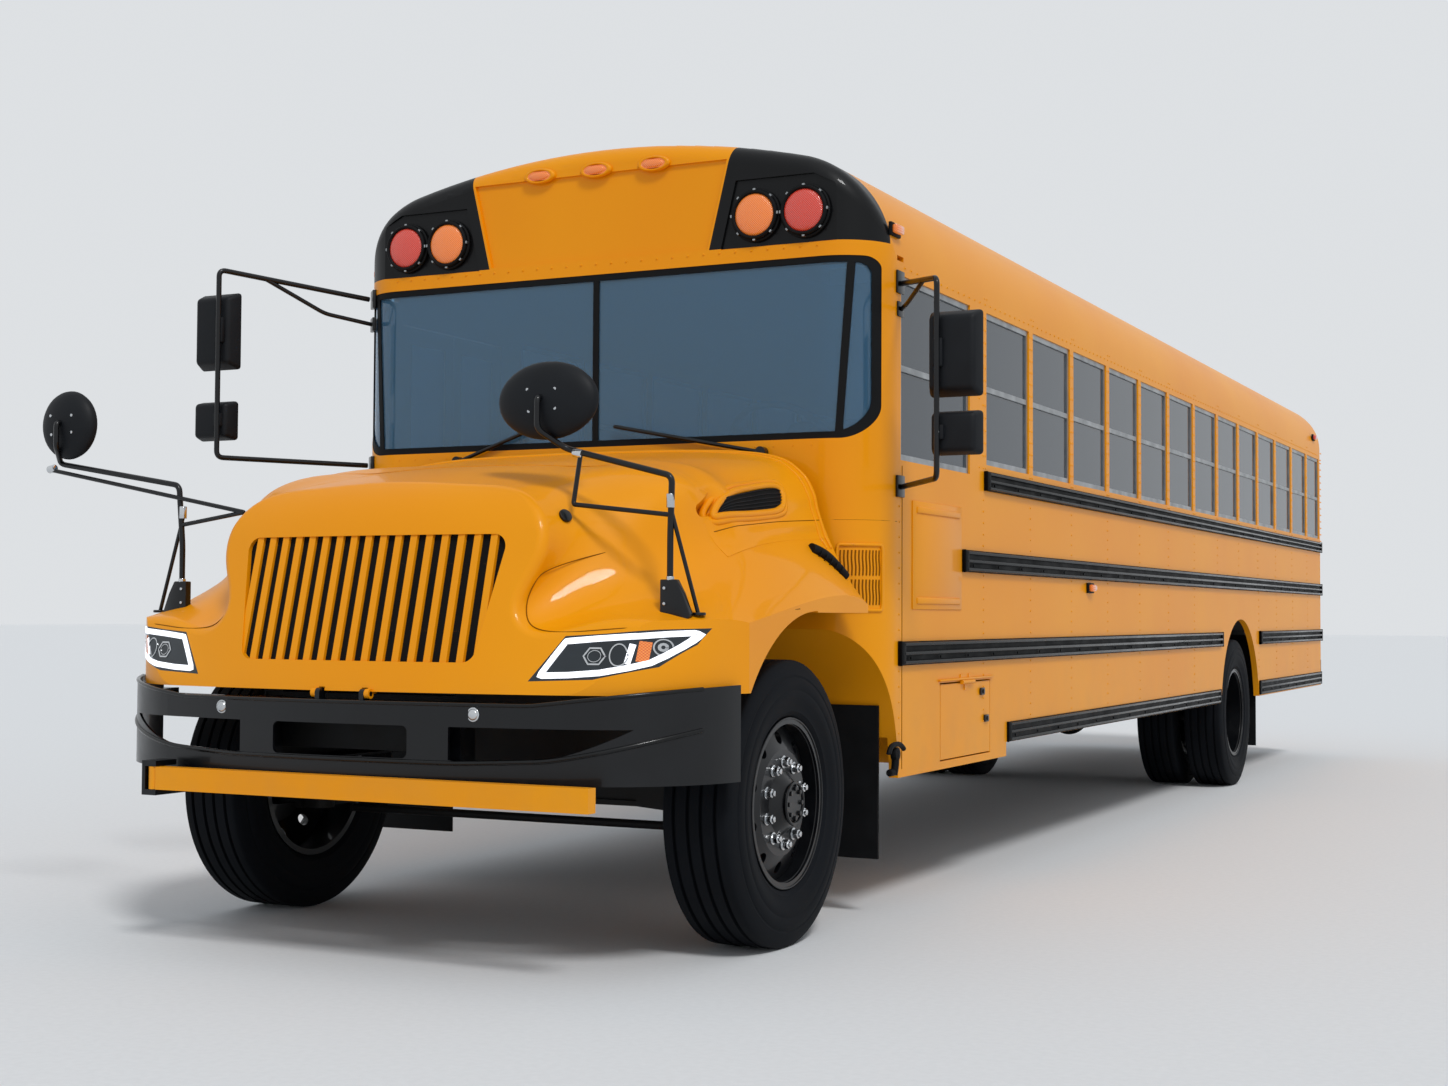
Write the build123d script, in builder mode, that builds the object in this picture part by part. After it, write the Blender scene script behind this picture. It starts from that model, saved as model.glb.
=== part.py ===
from build123d import *
from math import asin, cos, radians, sin, sqrt, tan
import os

os.makedirs("parts", exist_ok=True)

# A bonneted school bus at its real size, in millimetres.
# X runs to the bus's own left, Y to its rear and Z up from the ground.

# Overall layout along the bus
FRONT_REACH = 1120.0  # crossing bar's face ahead of the front axle
WHEELBASE = 7387.0
BODY_OVERHANG = 3400.0  # rear axle to the rear wall's face
REAR_BUMPER_REACH = 83.0  # rear bumper's face behind the rear wall
FACE_SETBACK = 600.0  # front axle back to the cowl's and windshield's face
FRONT_AXLE_Y = FRONT_REACH - (FRONT_REACH + WHEELBASE + BODY_OVERHANG + REAR_BUMPER_REACH) / 2
REAR_AXLE_Y = FRONT_AXLE_Y + WHEELBASE
BODY_END_Y = REAR_AXLE_Y + BODY_OVERHANG
REAR_FACE_Y = BODY_END_Y + REAR_BUMPER_REACH
FACE_Y = FRONT_AXLE_Y + FACE_SETBACK

# Body shell
BODY_HALF = 1219.0  # 96 in wide body
WALL = 38.0
FRONT_CORNER_R = 230.0
REAR_CORNER_R = 90.0
SKIRT_Z = 528.0
SKIRT_REAR_Z = 590.0
SPRING_Z = 2540.0  # where the roof's curve leaves the side
ROOF_TOP_Z = 3060.0
ROOF_CORNER_R = 420.0
CAP_DEPTH = 300.0
CAP_EDGE_R = 75.0
FLOOR_Z = 1060.0
FLOOR_THICKNESS = 30.0
SIDE_FRONT_Y = FACE_Y + FRONT_CORNER_R
SIDE_REAR_Y = BODY_END_Y - REAR_CORNER_R
CAP_BACK_Y = FACE_Y + CAP_DEPTH
HEADER_Z = 2560.0  # top of the windshield header, foot of the moulded cap

# Wheels: 22.5 in wheels with 275 mm tyres
TYRE_R = 500.0
TYRE_WIDTH = 275.0
RIM_R = 286.0
FLANGE_R = 298.5
RIM_HALF = 105.0  # tyre bead from the wheel's middle plane
FLANGE_THICKNESS = 8.0
BARREL_WALL = 10.0
TRACK_FRONT = 1023.5  # wheel's middle plane from the centreline
DUAL_OUTER = 1058.5
DUAL_SPACING = 318.0
DUAL_INNER = DUAL_OUTER - DUAL_SPACING
REAR_ARCH_R = 640.0
CHEEK_ARCH_R = 850.0

# Running gaps
PIN_GAP = 0.3  # between a pin and its bore
PANEL_GAP = 6.0  # between a door and its opening
MOVE_GAP = 5.0

# Chassis
RAIL_OUTER_X = 432.0
RAIL_FLANGE = 80.0
RAIL_DEPTH = 254.0
RAIL_WALL = 8.0
RAIL_BOTTOM_Z = 640.0
RAIL_TOP_Z = RAIL_BOTTOM_Z + RAIL_DEPTH
RAIL_FRONT_Y = FRONT_AXLE_Y - 900.0
RAIL_REAR_Y = SIDE_REAR_Y

CROWN_R = ((BODY_HALF - ROOF_CORNER_R) ** 2 + (ROOF_TOP_Z - SPRING_Z) ** 2 - ROOF_CORNER_R**2) / (
    2 * (ROOF_TOP_Z - SPRING_Z - ROOF_CORNER_R)
)


def from_front(y):
    """Plane whose x is the bus's X and whose y is up; its normal points forward."""
    return Plane(origin=(0, y, 0), x_dir=(1, 0, 0), z_dir=(0, -1, 0))


def from_left(x):
    """Plane whose x is the bus's Y and whose y is up; its normal points left."""
    return Plane(origin=(x, 0, 0), x_dir=(0, 1, 0), z_dir=(1, 0, 0))


def wheel_plane(side, x, y, z=TYRE_R):
    """Plane through a wheel's centre: x runs outboard along its axle, y is up."""
    return Plane(origin=(side * x, y, z), x_dir=(side, 0, 0), z_dir=(0, -side, 0))


def save(builder, label):
    """Label a finished piece and write it."""
    builder.part.label = label
    export_step(builder.part, f"parts/{label}.step")


def span(low_a, high_a, low_b, high_b, mode=Mode.ADD):
    """Rectangle between two values on each axis of the sketch."""
    with Locations(((low_a + high_a) / 2, (low_b + high_b) / 2)):
        Rectangle(high_a - low_a, high_b - low_b, mode=mode)


def block(low_x, high_x, low_y, high_y, low_z, high_z, mode=Mode.ADD):
    """Box between two values on each axis of the bus."""
    with BuildSketch(Plane.XY.offset(low_z)) as foot:
        span(low_x, high_x, low_y, high_y)
    extrude(foot.sketch, amount=high_z - low_z, mode=mode)


def rod(start, end, radius, mode=Mode.ADD):
    """Round bar between two points."""
    axis = Vector(*end) - Vector(*start)
    with BuildSketch(Plane(origin=start, z_dir=axis)) as foot:
        Circle(radius)
    extrude(foot.sketch, amount=axis.length, mode=mode)


def roof_outline(inset, foot_z, mode=Mode.ADD):
    """Body's cross-section above foot_z, set in from the skin."""
    half = BODY_HALF - inset
    corner_x = BODY_HALF - ROOF_CORNER_R
    crown_z = ROOF_TOP_Z - CROWN_R
    reach = CROWN_R - ROOF_CORNER_R
    lean = asin(corner_x / reach)
    crown = CROWN_R - inset
    corner = ROOF_CORNER_R - inset
    join_x = crown * sin(lean)
    join_z = crown_z + crown * cos(lean)
    middle = (radians(90) + lean) / 2
    bend_x = corner_x + corner * sin(middle)
    bend_z = SPRING_Z + corner * cos(middle)
    foot = dict.fromkeys(((-half, SPRING_Z), (-half, foot_z), (half, foot_z), (half, SPRING_Z)))
    with BuildLine() as edge:
        Polyline(*foot)
        ThreePointArc((half, SPRING_Z), (bend_x, bend_z), (join_x, join_z))
        ThreePointArc((join_x, join_z), (0, crown_z + crown), (-join_x, join_z))
        ThreePointArc((-join_x, join_z), (-bend_x, bend_z), (-half, SPRING_Z))
    make_face(edge.line, mode=mode)


def end_plan(inset, face_y, back_y, corner_r):
    """Plan of one end of the body, from back_y to a face with two round corners."""
    inward = 1 if back_y > face_y else -1
    radius = corner_r - inset
    face = face_y + inward * inset
    corner_y = face_y + inward * corner_r
    bend_y = face + inward * radius * (1 - sin(radians(45)))
    half = inward * (BODY_HALF - inset)
    flat = inward * (BODY_HALF - corner_r)
    bend_x = inward * (BODY_HALF - inset - radius * (1 - sin(radians(45))))
    back = [(half, back_y), (-half, back_y)] if back_y != corner_y else []
    with BuildLine() as edge:
        ThreePointArc((-half, corner_y), (-bend_x, bend_y), (-flat, face))
        Line((-flat, face), (flat, face))
        ThreePointArc((flat, face), (bend_x, bend_y), (half, corner_y))
        Polyline((half, corner_y), *back, (-half, corner_y))
    make_face(edge.line)


LEFT, RIGHT = (1, 0, 0), (-1, 0, 0)
BACK, FORWARD = (0, 1, 0), (0, -1, 0)
UP, DOWN = (0, 0, 1), (0, 0, -1)

# Hinges. A hinge has knuckles round one pin, with flat straps that lie on the panel.
KNUCKLE_R = 9.0
HINGE_PIN_R = 4.0
HINGE_STRAP = 34.0
STRAP_THICKNESS = 4.0
KNUCKLE_LENGTH = 50.0
KNUCKLE_GAP = 1.0


def hinge_half(centre, over, away, fixed):
    """Half of a hinge; the fixed half has the outer two of the three knuckles, and the pin.

    over points from the pin across the panel that this half is screwed to, and away
    points out of that panel.
    """
    half_length = 1.5 * KNUCKLE_LENGTH + KNUCKLE_GAP
    plane = Plane(origin=centre, x_dir=over, z_dir=Vector(*over).cross(Vector(*away)))
    feet = (-half_length, KNUCKLE_LENGTH / 2 + KNUCKLE_GAP) if fixed else (-KNUCKLE_LENGTH / 2,)
    for foot in feet:
        with BuildSketch(plane.offset(foot)) as knuckle:
            Circle(KNUCKLE_R)
            span(0, HINGE_STRAP, -KNUCKLE_R, STRAP_THICKNESS - KNUCKLE_R)
        extrude(knuckle.sketch, amount=KNUCKLE_LENGTH)
    with BuildSketch(plane.offset(-half_length)) as pin:
        Circle(HINGE_PIN_R if fixed else HINGE_PIN_R + PIN_GAP)
    extrude(pin.sketch, amount=2 * half_length, mode=Mode.ADD if fixed else Mode.SUBTRACT)


# Frame rails, cross-members, spring hangers
SPRING_X = 392.0
SPRING_WIDTH = 64.0
SPRING_HALF_SPAN = 650.0
SPRING_EYE_R = 30.0
SPRING_EYE_Z = 600.0
HANGER_WALL = 10.0
CROSS_MEMBERS = (-850.0, 1500.0, 2300.0, 4300.0, 6300.0, 8700.0, 10500.0)
CROSS_WIDTH = 90.0
CROSS_FOOT_Z = 700.0
AXLES_Y = (FRONT_AXLE_Y, REAR_AXLE_Y)

with BuildPart() as frame_rails:
    for side in (-1, 1):
        with BuildSketch(from_front(RAIL_FRONT_Y)):
            with Locations((side * (RAIL_OUTER_X - RAIL_FLANGE / 2), (RAIL_BOTTOM_Z + RAIL_TOP_Z) / 2)):
                Rectangle(RAIL_FLANGE, RAIL_DEPTH)
            with Locations(
                (side * (RAIL_OUTER_X - RAIL_WALL - RAIL_FLANGE / 2), (RAIL_BOTTOM_Z + RAIL_TOP_Z) / 2)
            ):
                Rectangle(RAIL_FLANGE, RAIL_DEPTH - 2 * RAIL_WALL, mode=Mode.SUBTRACT)
        extrude(amount=RAIL_FRONT_Y - RAIL_REAR_Y)
    for behind in CROSS_MEMBERS:
        middle = FRONT_AXLE_Y + behind
        block(
            -(RAIL_OUTER_X - RAIL_WALL),
            RAIL_OUTER_X - RAIL_WALL,
            middle - CROSS_WIDTH / 2,
            middle + CROSS_WIDTH / 2,
            CROSS_FOOT_Z,
            RAIL_TOP_Z - RAIL_WALL,
        )
    for side in (-1, 1):
        for axle_y in AXLES_Y:
            for end in (-1, 1):
                for edge in (-1, 1):
                    middle_x = side * SPRING_X + edge * (SPRING_WIDTH + HANGER_WALL) / 2
                    middle_y = axle_y + end * SPRING_HALF_SPAN
                    block(
                        middle_x - HANGER_WALL / 2,
                        middle_x + HANGER_WALL / 2,
                        middle_y - SPRING_EYE_R,
                        middle_y + SPRING_EYE_R,
                        SPRING_EYE_Z - SPRING_EYE_R,
                        RAIL_BOTTOM_Z + RAIL_WALL,
                    )
save(frame_rails, "frame_rails")

# Leaf springs: an arched stack between two eyes
SPRING_PACK = 44.0
SPRING_SEAT_Z = 560.0

with BuildPart() as leaf_springs:
    for side in (-1, 1):
        for axle_y in AXLES_Y:
            with BuildSketch(from_left(side * SPRING_X - SPRING_WIDTH / 2)):
                with BuildLine():
                    ThreePointArc(
                        (axle_y - SPRING_HALF_SPAN, SPRING_EYE_Z + SPRING_PACK / 2),
                        (axle_y, SPRING_SEAT_Z + SPRING_PACK),
                        (axle_y + SPRING_HALF_SPAN, SPRING_EYE_Z + SPRING_PACK / 2),
                    )
                    Line(
                        (axle_y + SPRING_HALF_SPAN, SPRING_EYE_Z + SPRING_PACK / 2),
                        (axle_y + SPRING_HALF_SPAN, SPRING_EYE_Z),
                    )
                    Polyline(
                        (axle_y + SPRING_HALF_SPAN, SPRING_EYE_Z),
                        (axle_y + SPRING_PACK * 2, SPRING_SEAT_Z),
                        (axle_y - SPRING_PACK * 2, SPRING_SEAT_Z),
                        (axle_y - SPRING_HALF_SPAN, SPRING_EYE_Z),
                        (axle_y - SPRING_HALF_SPAN, SPRING_EYE_Z + SPRING_PACK / 2),
                    )
                make_face()
                with Locations(
                    (axle_y - SPRING_HALF_SPAN, SPRING_EYE_Z), (axle_y + SPRING_HALF_SPAN, SPRING_EYE_Z)
                ):
                    Circle(SPRING_EYE_R)
            extrude(amount=SPRING_WIDTH)
save(leaf_springs, "leaf_springs")

# Front axle: a forged beam with a kingpin boss at each end
KINGPIN_X = 880.0
KINGPIN_R = 22.0
BOSS_R = 45.0
BOSS_HALF = 60.0
BEAM_HALF_WIDTH = 50.0
BEAM_DEPTH = 90.0
BEAM_TOP_Z = SPRING_SEAT_Z
BEAM_DROP_X = 560.0
BEAM_FLUTE = 14.0

with BuildPart() as front_axle:
    with BuildSketch(from_front(FRONT_AXLE_Y - BEAM_HALF_WIDTH)):
        with BuildLine():
            Polyline(
                (-KINGPIN_X, TYRE_R - BOSS_HALF),
                (-BEAM_DROP_X, BEAM_TOP_Z - BEAM_DEPTH - MOVE_GAP),
                (BEAM_DROP_X, BEAM_TOP_Z - BEAM_DEPTH - MOVE_GAP),
                (KINGPIN_X, TYRE_R - BOSS_HALF),
                (KINGPIN_X, TYRE_R + BOSS_HALF),
                (BEAM_DROP_X, BEAM_TOP_Z),
                (-BEAM_DROP_X, BEAM_TOP_Z),
                (-KINGPIN_X, TYRE_R + BOSS_HALF),
                close=True,
            )
        make_face()
    extrude(amount=-2 * BEAM_HALF_WIDTH)
    for face in (-1, 1):
        block(
            -BEAM_DROP_X,
            BEAM_DROP_X,
            FRONT_AXLE_Y + face * BEAM_HALF_WIDTH - BEAM_FLUTE,
            FRONT_AXLE_Y + face * BEAM_HALF_WIDTH + BEAM_FLUTE,
            BEAM_TOP_Z - BEAM_DEPTH + BEAM_FLUTE,
            BEAM_TOP_Z - 2 * BEAM_FLUTE,
            mode=Mode.SUBTRACT,
        )
    for side in (-1, 1):
        foot = (side * KINGPIN_X, FRONT_AXLE_Y, TYRE_R - BOSS_HALF)
        head = (side * KINGPIN_X, FRONT_AXLE_Y, TYRE_R + BOSS_HALF)
        block(
            side * KINGPIN_X - BOSS_R,
            side * KINGPIN_X + BOSS_R,
            FRONT_AXLE_Y - BEAM_HALF_WIDTH,
            FRONT_AXLE_Y + BEAM_HALF_WIDTH,
            TYRE_R - BOSS_HALF,
            TYRE_R + BOSS_HALF,
            mode=Mode.SUBTRACT,
        )
        rod(foot, head, BOSS_R)
        block(
            side * KINGPIN_X - (BOSS_R + MOVE_GAP if side > 0 else 0),
            side * KINGPIN_X + (BOSS_R + MOVE_GAP if side < 0 else 0),
            FRONT_AXLE_Y - BOSS_R / 2,
            FRONT_AXLE_Y + BOSS_R / 2,
            TYRE_R - BOSS_HALF,
            TYRE_R + BOSS_HALF,
        )
        rod(foot, head, KINGPIN_R + PIN_GAP, mode=Mode.SUBTRACT)
save(front_axle, "front_axle")

# Steering knuckles with their spindles and track rod arms
EAR_THICKNESS = 50.0
EAR_GAP = 1.0
EAR_R = 48.0
KNUCKLE_PLATE_X = 930.0
KNUCKLE_PLATE_WALL = 28.0
KNUCKLE_PLATE_HALF = 70.0
SPINDLE_R = 38.0
SPINDLE_END_X = TRACK_FRONT + 60.0
ARM_REACH = 200.0
ARM_HALF_WIDTH = 20.0
ARM_EYE_R = 26.0
ROD_END_R = 12.0
ARM_THICKNESS = 30.0
ARM_TOP_Z = TYRE_R - BOSS_HALF - EAR_GAP - MOVE_GAP * 3
ROD_DROP = 45.0
ROD_R = 16.0


def steering_knuckle(side):
    """One knuckle: ears above and below the axle's boss, kingpin, plate, spindle and arm."""
    with BuildPart() as knuckle:
        lower = TYRE_R - BOSS_HALF - EAR_GAP
        upper = TYRE_R + BOSS_HALF + EAR_GAP
        for low in (lower - EAR_THICKNESS, upper):
            with BuildSketch(Plane.XY.offset(low)):
                with Locations((side * KINGPIN_X, FRONT_AXLE_Y)):
                    Circle(EAR_R)
                near = side * KINGPIN_X
                far = side * (KNUCKLE_PLATE_X + KNUCKLE_PLATE_WALL)
                span(min(near, far), max(near, far), FRONT_AXLE_Y - EAR_R, FRONT_AXLE_Y + EAR_R)
            extrude(amount=EAR_THICKNESS)
        plate = (side * KNUCKLE_PLATE_X, side * (KNUCKLE_PLATE_X + KNUCKLE_PLATE_WALL))
        block(
            min(plate),
            max(plate),
            FRONT_AXLE_Y - KNUCKLE_PLATE_HALF,
            FRONT_AXLE_Y + KNUCKLE_PLATE_HALF,
            lower - EAR_THICKNESS,
            upper + EAR_THICKNESS,
        )
        rod(
            (side * KINGPIN_X, FRONT_AXLE_Y, lower - EAR_THICKNESS),
            (side * KINGPIN_X, FRONT_AXLE_Y, upper + EAR_THICKNESS),
            KINGPIN_R,
        )
        rod((plate[1], FRONT_AXLE_Y, TYRE_R), (side * SPINDLE_END_X, FRONT_AXLE_Y, TYRE_R), SPINDLE_R)
        with BuildSketch(Plane.XY.offset(ARM_TOP_Z - ARM_THICKNESS)):
            span(
                side * KINGPIN_X - ARM_HALF_WIDTH,
                side * KINGPIN_X + ARM_HALF_WIDTH,
                FRONT_AXLE_Y,
                FRONT_AXLE_Y + ARM_REACH,
            )
            with Locations((side * KINGPIN_X, FRONT_AXLE_Y + ARM_REACH)):
                Circle(ARM_EYE_R)
                Circle(ROD_END_R + PIN_GAP, mode=Mode.SUBTRACT)
        extrude(amount=ARM_THICKNESS)
    return knuckle


for side, word in ((1, "left"), (-1, "right")):
    save(steering_knuckle(side), f"knuckle_{word}")

# Track rod that keeps both front wheels parallel
with BuildPart() as tie_rod:
    rod_y = FRONT_AXLE_Y + ARM_REACH
    rod_z = ARM_TOP_Z - ARM_THICKNESS - ROD_DROP / 2
    rod((-KINGPIN_X, rod_y, rod_z), (KINGPIN_X, rod_y, rod_z), ROD_R)
    for side in (-1, 1):
        rod(
            (side * KINGPIN_X, rod_y, rod_z - ROD_R),
            (side * KINGPIN_X, rod_y, ARM_TOP_Z),
            ROD_END_R,
        )
save(tie_rod, "tie_rod")

# Tyres and rims
BEAD_R = FLANGE_R + PIN_GAP
BULGE_R = 390.0
SHOULDER_R = 494.0
SHOULDER_HALF = 118.0
HUB_BORE_GAP = PIN_GAP


def tyres(planes):
    """One tyre for each wheel plane, turned from its slice between bead and tread."""
    with BuildPart() as made:
        for plane in planes:
            with BuildSketch(plane):
                with BuildLine():
                    Polyline((-RIM_HALF, BEAD_R), (-RIM_HALF, RIM_R), (RIM_HALF, RIM_R), (RIM_HALF, BEAD_R))
                    ThreePointArc((RIM_HALF, BEAD_R), (TYRE_WIDTH / 2, BULGE_R), (SHOULDER_HALF, SHOULDER_R))
                    ThreePointArc((SHOULDER_HALF, SHOULDER_R), (0, TYRE_R), (-SHOULDER_HALF, SHOULDER_R))
                    ThreePointArc(
                        (-SHOULDER_HALF, SHOULDER_R), (-TYRE_WIDTH / 2, BULGE_R), (-RIM_HALF, BEAD_R)
                    )
                make_face()
            revolve(axis=Axis(plane.origin, plane.x_dir))
    return made


BARREL_R = RIM_R - BARREL_WALL
FLANGE_HALF = RIM_HALF + FLANGE_THICKNESS
BOLT_RING_OUT = 185.0
BOLT_RING_IN = 112.0
DISC_WALL = 12.0
FRONT_DISC = 92.0  # front bolt ring outboard of the wheel's middle plane
FRONT_HUB_END = 138.0
FRONT_HUB_R = 95.0
HUB_INNER = 60.0
HAND_HOLES = 10
HAND_HOLE_R = 22.0
HAND_HOLE_PITCH_R = 226.0


def rim_revolve(plane, disc, barrel_at, direction):
    """Rim barrel, flanges and dished disc; direction is the disc's side of the barrel."""
    with BuildSketch(plane) as wheel_slice:
        with BuildLine():
            Polyline(
                (-FLANGE_HALF, BARREL_R),
                (-FLANGE_HALF, FLANGE_R),
                (-RIM_HALF, FLANGE_R),
                (-RIM_HALF, RIM_R),
                (RIM_HALF, RIM_R),
                (RIM_HALF, FLANGE_R),
                (FLANGE_HALF, FLANGE_R),
                (FLANGE_HALF, BARREL_R),
                close=True,
            )
        make_face()
        with BuildLine():
            Polyline(
                (barrel_at, RIM_R - BARREL_WALL / 2),
                (disc, BOLT_RING_OUT),
                (disc, BOLT_RING_IN - DISC_WALL),
                (disc - direction * DISC_WALL, BOLT_RING_IN - DISC_WALL),
                (disc - direction * DISC_WALL, BOLT_RING_OUT - DISC_WALL / 2),
                (barrel_at - direction * DISC_WALL * 2, RIM_R - BARREL_WALL / 2),
                close=True,
            )
        make_face()
    revolve(wheel_slice.sketch, axis=Axis(plane.origin, plane.x_dir))


def hand_holes(plane, low, high):
    """Round openings in the disc, between two places along the axle."""
    across = Plane(origin=plane.origin + plane.x_dir * low, x_dir=plane.y_dir, z_dir=plane.x_dir)
    with BuildSketch(across) as holes:
        with PolarLocations(HAND_HOLE_PITCH_R, HAND_HOLES):
            Circle(HAND_HOLE_R)
    extrude(holes.sketch, amount=high - low, mode=Mode.SUBTRACT)


def front_rim(side):
    """Front disc wheel, dished outwards, with its hub."""
    plane = wheel_plane(side, TRACK_FRONT, FRONT_AXLE_Y)
    barrel_at = FRONT_DISC - 40.0
    with BuildPart() as rim:
        rim_revolve(plane, FRONT_DISC, barrel_at, 1)
        hand_holes(plane, 0, FLANGE_HALF)
        with BuildSketch(plane):
            with BuildLine():
                Polyline(
                    (-HUB_INNER, SPINDLE_R + HUB_BORE_GAP),
                    (-HUB_INNER, FRONT_HUB_R),
                    (FRONT_DISC, BOLT_RING_IN),
                    (FRONT_HUB_END - 20.0, FRONT_HUB_R - 10.0),
                    (FRONT_HUB_END, FRONT_HUB_R - 35.0),
                    (FRONT_HUB_END, 0),
                    (SPINDLE_END_X - TRACK_FRONT + MOVE_GAP, 0),
                    (SPINDLE_END_X - TRACK_FRONT + MOVE_GAP, SPINDLE_R + HUB_BORE_GAP),
                    close=True,
                )
            make_face()
        revolve(axis=Axis(plane.origin, plane.x_dir))
    return rim


REAR_SPINDLE_R = 45.0
REAR_SPINDLE_END_X = 985.0
REAR_HUB_R = 100.0
REAR_HUB_START_X = 640.0
REAR_HUB_END_X = 1040.0
REAR_SHAFT_FLANGE_R = 78.0
DUAL_MIDDLE = (DUAL_OUTER + DUAL_INNER) / 2


def rear_rims(side):
    """Twin disc wheels bolted back to back on one hub."""
    outer = wheel_plane(side, DUAL_OUTER, REAR_AXLE_Y)
    inner = wheel_plane(side, DUAL_INNER, REAR_AXLE_Y)
    hub = wheel_plane(side, 0, REAR_AXLE_Y)
    with BuildPart() as rims:
        rim_revolve(outer, DUAL_MIDDLE - DUAL_OUTER, -FLANGE_HALF / 2, -1)
        rim_revolve(inner, DUAL_MIDDLE - DUAL_INNER, FLANGE_HALF / 2, 1)
        hand_holes(inner, 0, DUAL_SPACING)
        with BuildSketch(hub):
            with BuildLine():
                Polyline(
                    (REAR_HUB_START_X, REAR_SPINDLE_R + HUB_BORE_GAP),
                    (REAR_HUB_START_X, REAR_HUB_R),
                    (REAR_HUB_END_X - 60.0, REAR_HUB_R),
                    (REAR_HUB_END_X - 20.0, REAR_SHAFT_FLANGE_R),
                    (REAR_HUB_END_X, REAR_SHAFT_FLANGE_R - 10.0),
                    (REAR_HUB_END_X, 0),
                    (REAR_SPINDLE_END_X + MOVE_GAP, 0),
                    (REAR_SPINDLE_END_X + MOVE_GAP, REAR_SPINDLE_R + HUB_BORE_GAP),
                    close=True,
                )
            make_face()
        revolve(axis=Axis(hub.origin, hub.x_dir))
    return rims


for side, word in ((1, "left"), (-1, "right")):
    save(tyres([wheel_plane(side, TRACK_FRONT, FRONT_AXLE_Y)]), f"front_tyre_{word}")
    save(front_rim(side), f"front_rim_{word}")
    save(
        tyres([wheel_plane(side, DUAL_OUTER, REAR_AXLE_Y), wheel_plane(side, DUAL_INNER, REAR_AXLE_Y)]),
        f"rear_tyres_{word}",
    )
    save(rear_rims(side), f"rear_rims_{word}")

# Rear axle with its differential, and the driveshaft to the gearbox
AXLE_TUBE_R = 60.0
AXLE_TUBE_END_X = 600.0
DIFF_R = 190.0
DIFF_HALF_WIDTH = 130.0
SHAFT_R = 45.0
GEARBOX_END_Y = FRONT_AXLE_Y + 1300.0
SHAFT_Z = 620.0

with BuildPart() as rear_axle:
    rod((-AXLE_TUBE_END_X, REAR_AXLE_Y, TYRE_R), (AXLE_TUBE_END_X, REAR_AXLE_Y, TYRE_R), AXLE_TUBE_R)
    rod(
        (-REAR_SPINDLE_END_X, REAR_AXLE_Y, TYRE_R),
        (REAR_SPINDLE_END_X, REAR_AXLE_Y, TYRE_R),
        REAR_SPINDLE_R,
    )
    with BuildSketch(from_front(REAR_AXLE_Y)):
        with BuildLine():
            Line((-DIFF_HALF_WIDTH, TYRE_R), (DIFF_HALF_WIDTH, TYRE_R))
            ThreePointArc((DIFF_HALF_WIDTH, TYRE_R), (0, TYRE_R + DIFF_R), (-DIFF_HALF_WIDTH, TYRE_R))
        make_face()
    revolve(axis=Axis((0, REAR_AXLE_Y, TYRE_R), (1, 0, 0)))
    rod((0, REAR_AXLE_Y - DIFF_R * 1.6, TYRE_R + 20.0), (0, REAR_AXLE_Y, TYRE_R), SHAFT_R * 2)
    rod((0, GEARBOX_END_Y + EAR_GAP, SHAFT_Z), (0, REAR_AXLE_Y - DIFF_R * 1.5, TYRE_R + 20.0), SHAFT_R)
save(rear_axle, "rear_axle")

# Engine with its gearbox, and the radiator behind the grille
ENGINE_HALF = 330.0
ENGINE_FRONT_Y = FRONT_AXLE_Y - 520.0
ENGINE_BACK_Y = FRONT_AXLE_Y + 500.0
ENGINE_TOP_Z = 1400.0
ENGINE_FOOT_Z = 780.0
GEARBOX_HALF = 190.0
RADIATOR_FRONT_Y = FRONT_AXLE_Y - 800.0
RADIATOR_DEPTH = 70.0
RADIATOR_HALF = 400.0
RADIATOR_TOP_Z = 1380.0

with BuildPart() as engine_block:
    block(-ENGINE_HALF, ENGINE_HALF, ENGINE_FRONT_Y, ENGINE_BACK_Y, ENGINE_FOOT_Z, ENGINE_TOP_Z)
    block(
        -(RAIL_OUTER_X - RAIL_FLANGE),
        RAIL_OUTER_X - RAIL_FLANGE,
        ENGINE_FRONT_Y + 2 * CROSS_WIDTH,
        ENGINE_FRONT_Y + 3 * CROSS_WIDTH,
        ENGINE_FOOT_Z,
        RAIL_TOP_Z,
    )
    block(
        -RAIL_OUTER_X,
        RAIL_OUTER_X,
        ENGINE_FRONT_Y + 2 * CROSS_WIDTH,
        ENGINE_FRONT_Y + 3 * CROSS_WIDTH,
        RAIL_TOP_Z,
        RAIL_TOP_Z + 2 * RAIL_WALL,
    )
    rod((0, ENGINE_BACK_Y, 940.0), (0, ENGINE_BACK_Y + 60.0, 940.0), 260.0)
    with BuildSketch(from_front(ENGINE_BACK_Y)):
        with Locations((0, 870.0)):
            Rectangle(2 * GEARBOX_HALF, 280.0)
    with BuildSketch(from_front(GEARBOX_END_Y)):
        with Locations((0, SHAFT_Z + 40.0)):
            Rectangle(GEARBOX_HALF, GEARBOX_HALF)
    loft()
    block(
        -RADIATOR_HALF,
        RADIATOR_HALF,
        RADIATOR_FRONT_Y,
        RADIATOR_FRONT_Y + RADIATOR_DEPTH,
        RAIL_TOP_Z,
        RADIATOR_TOP_Z,
    )
save(engine_block, "engine_block")

# Fuel tank between the axles, hung from the right rail, and the exhaust on the left
TANK_FRONT_Y = FRONT_AXLE_Y + 3300.0
TANK_LENGTH = 1300.0
TANK_BOTTOM_Z = 480.0

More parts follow.
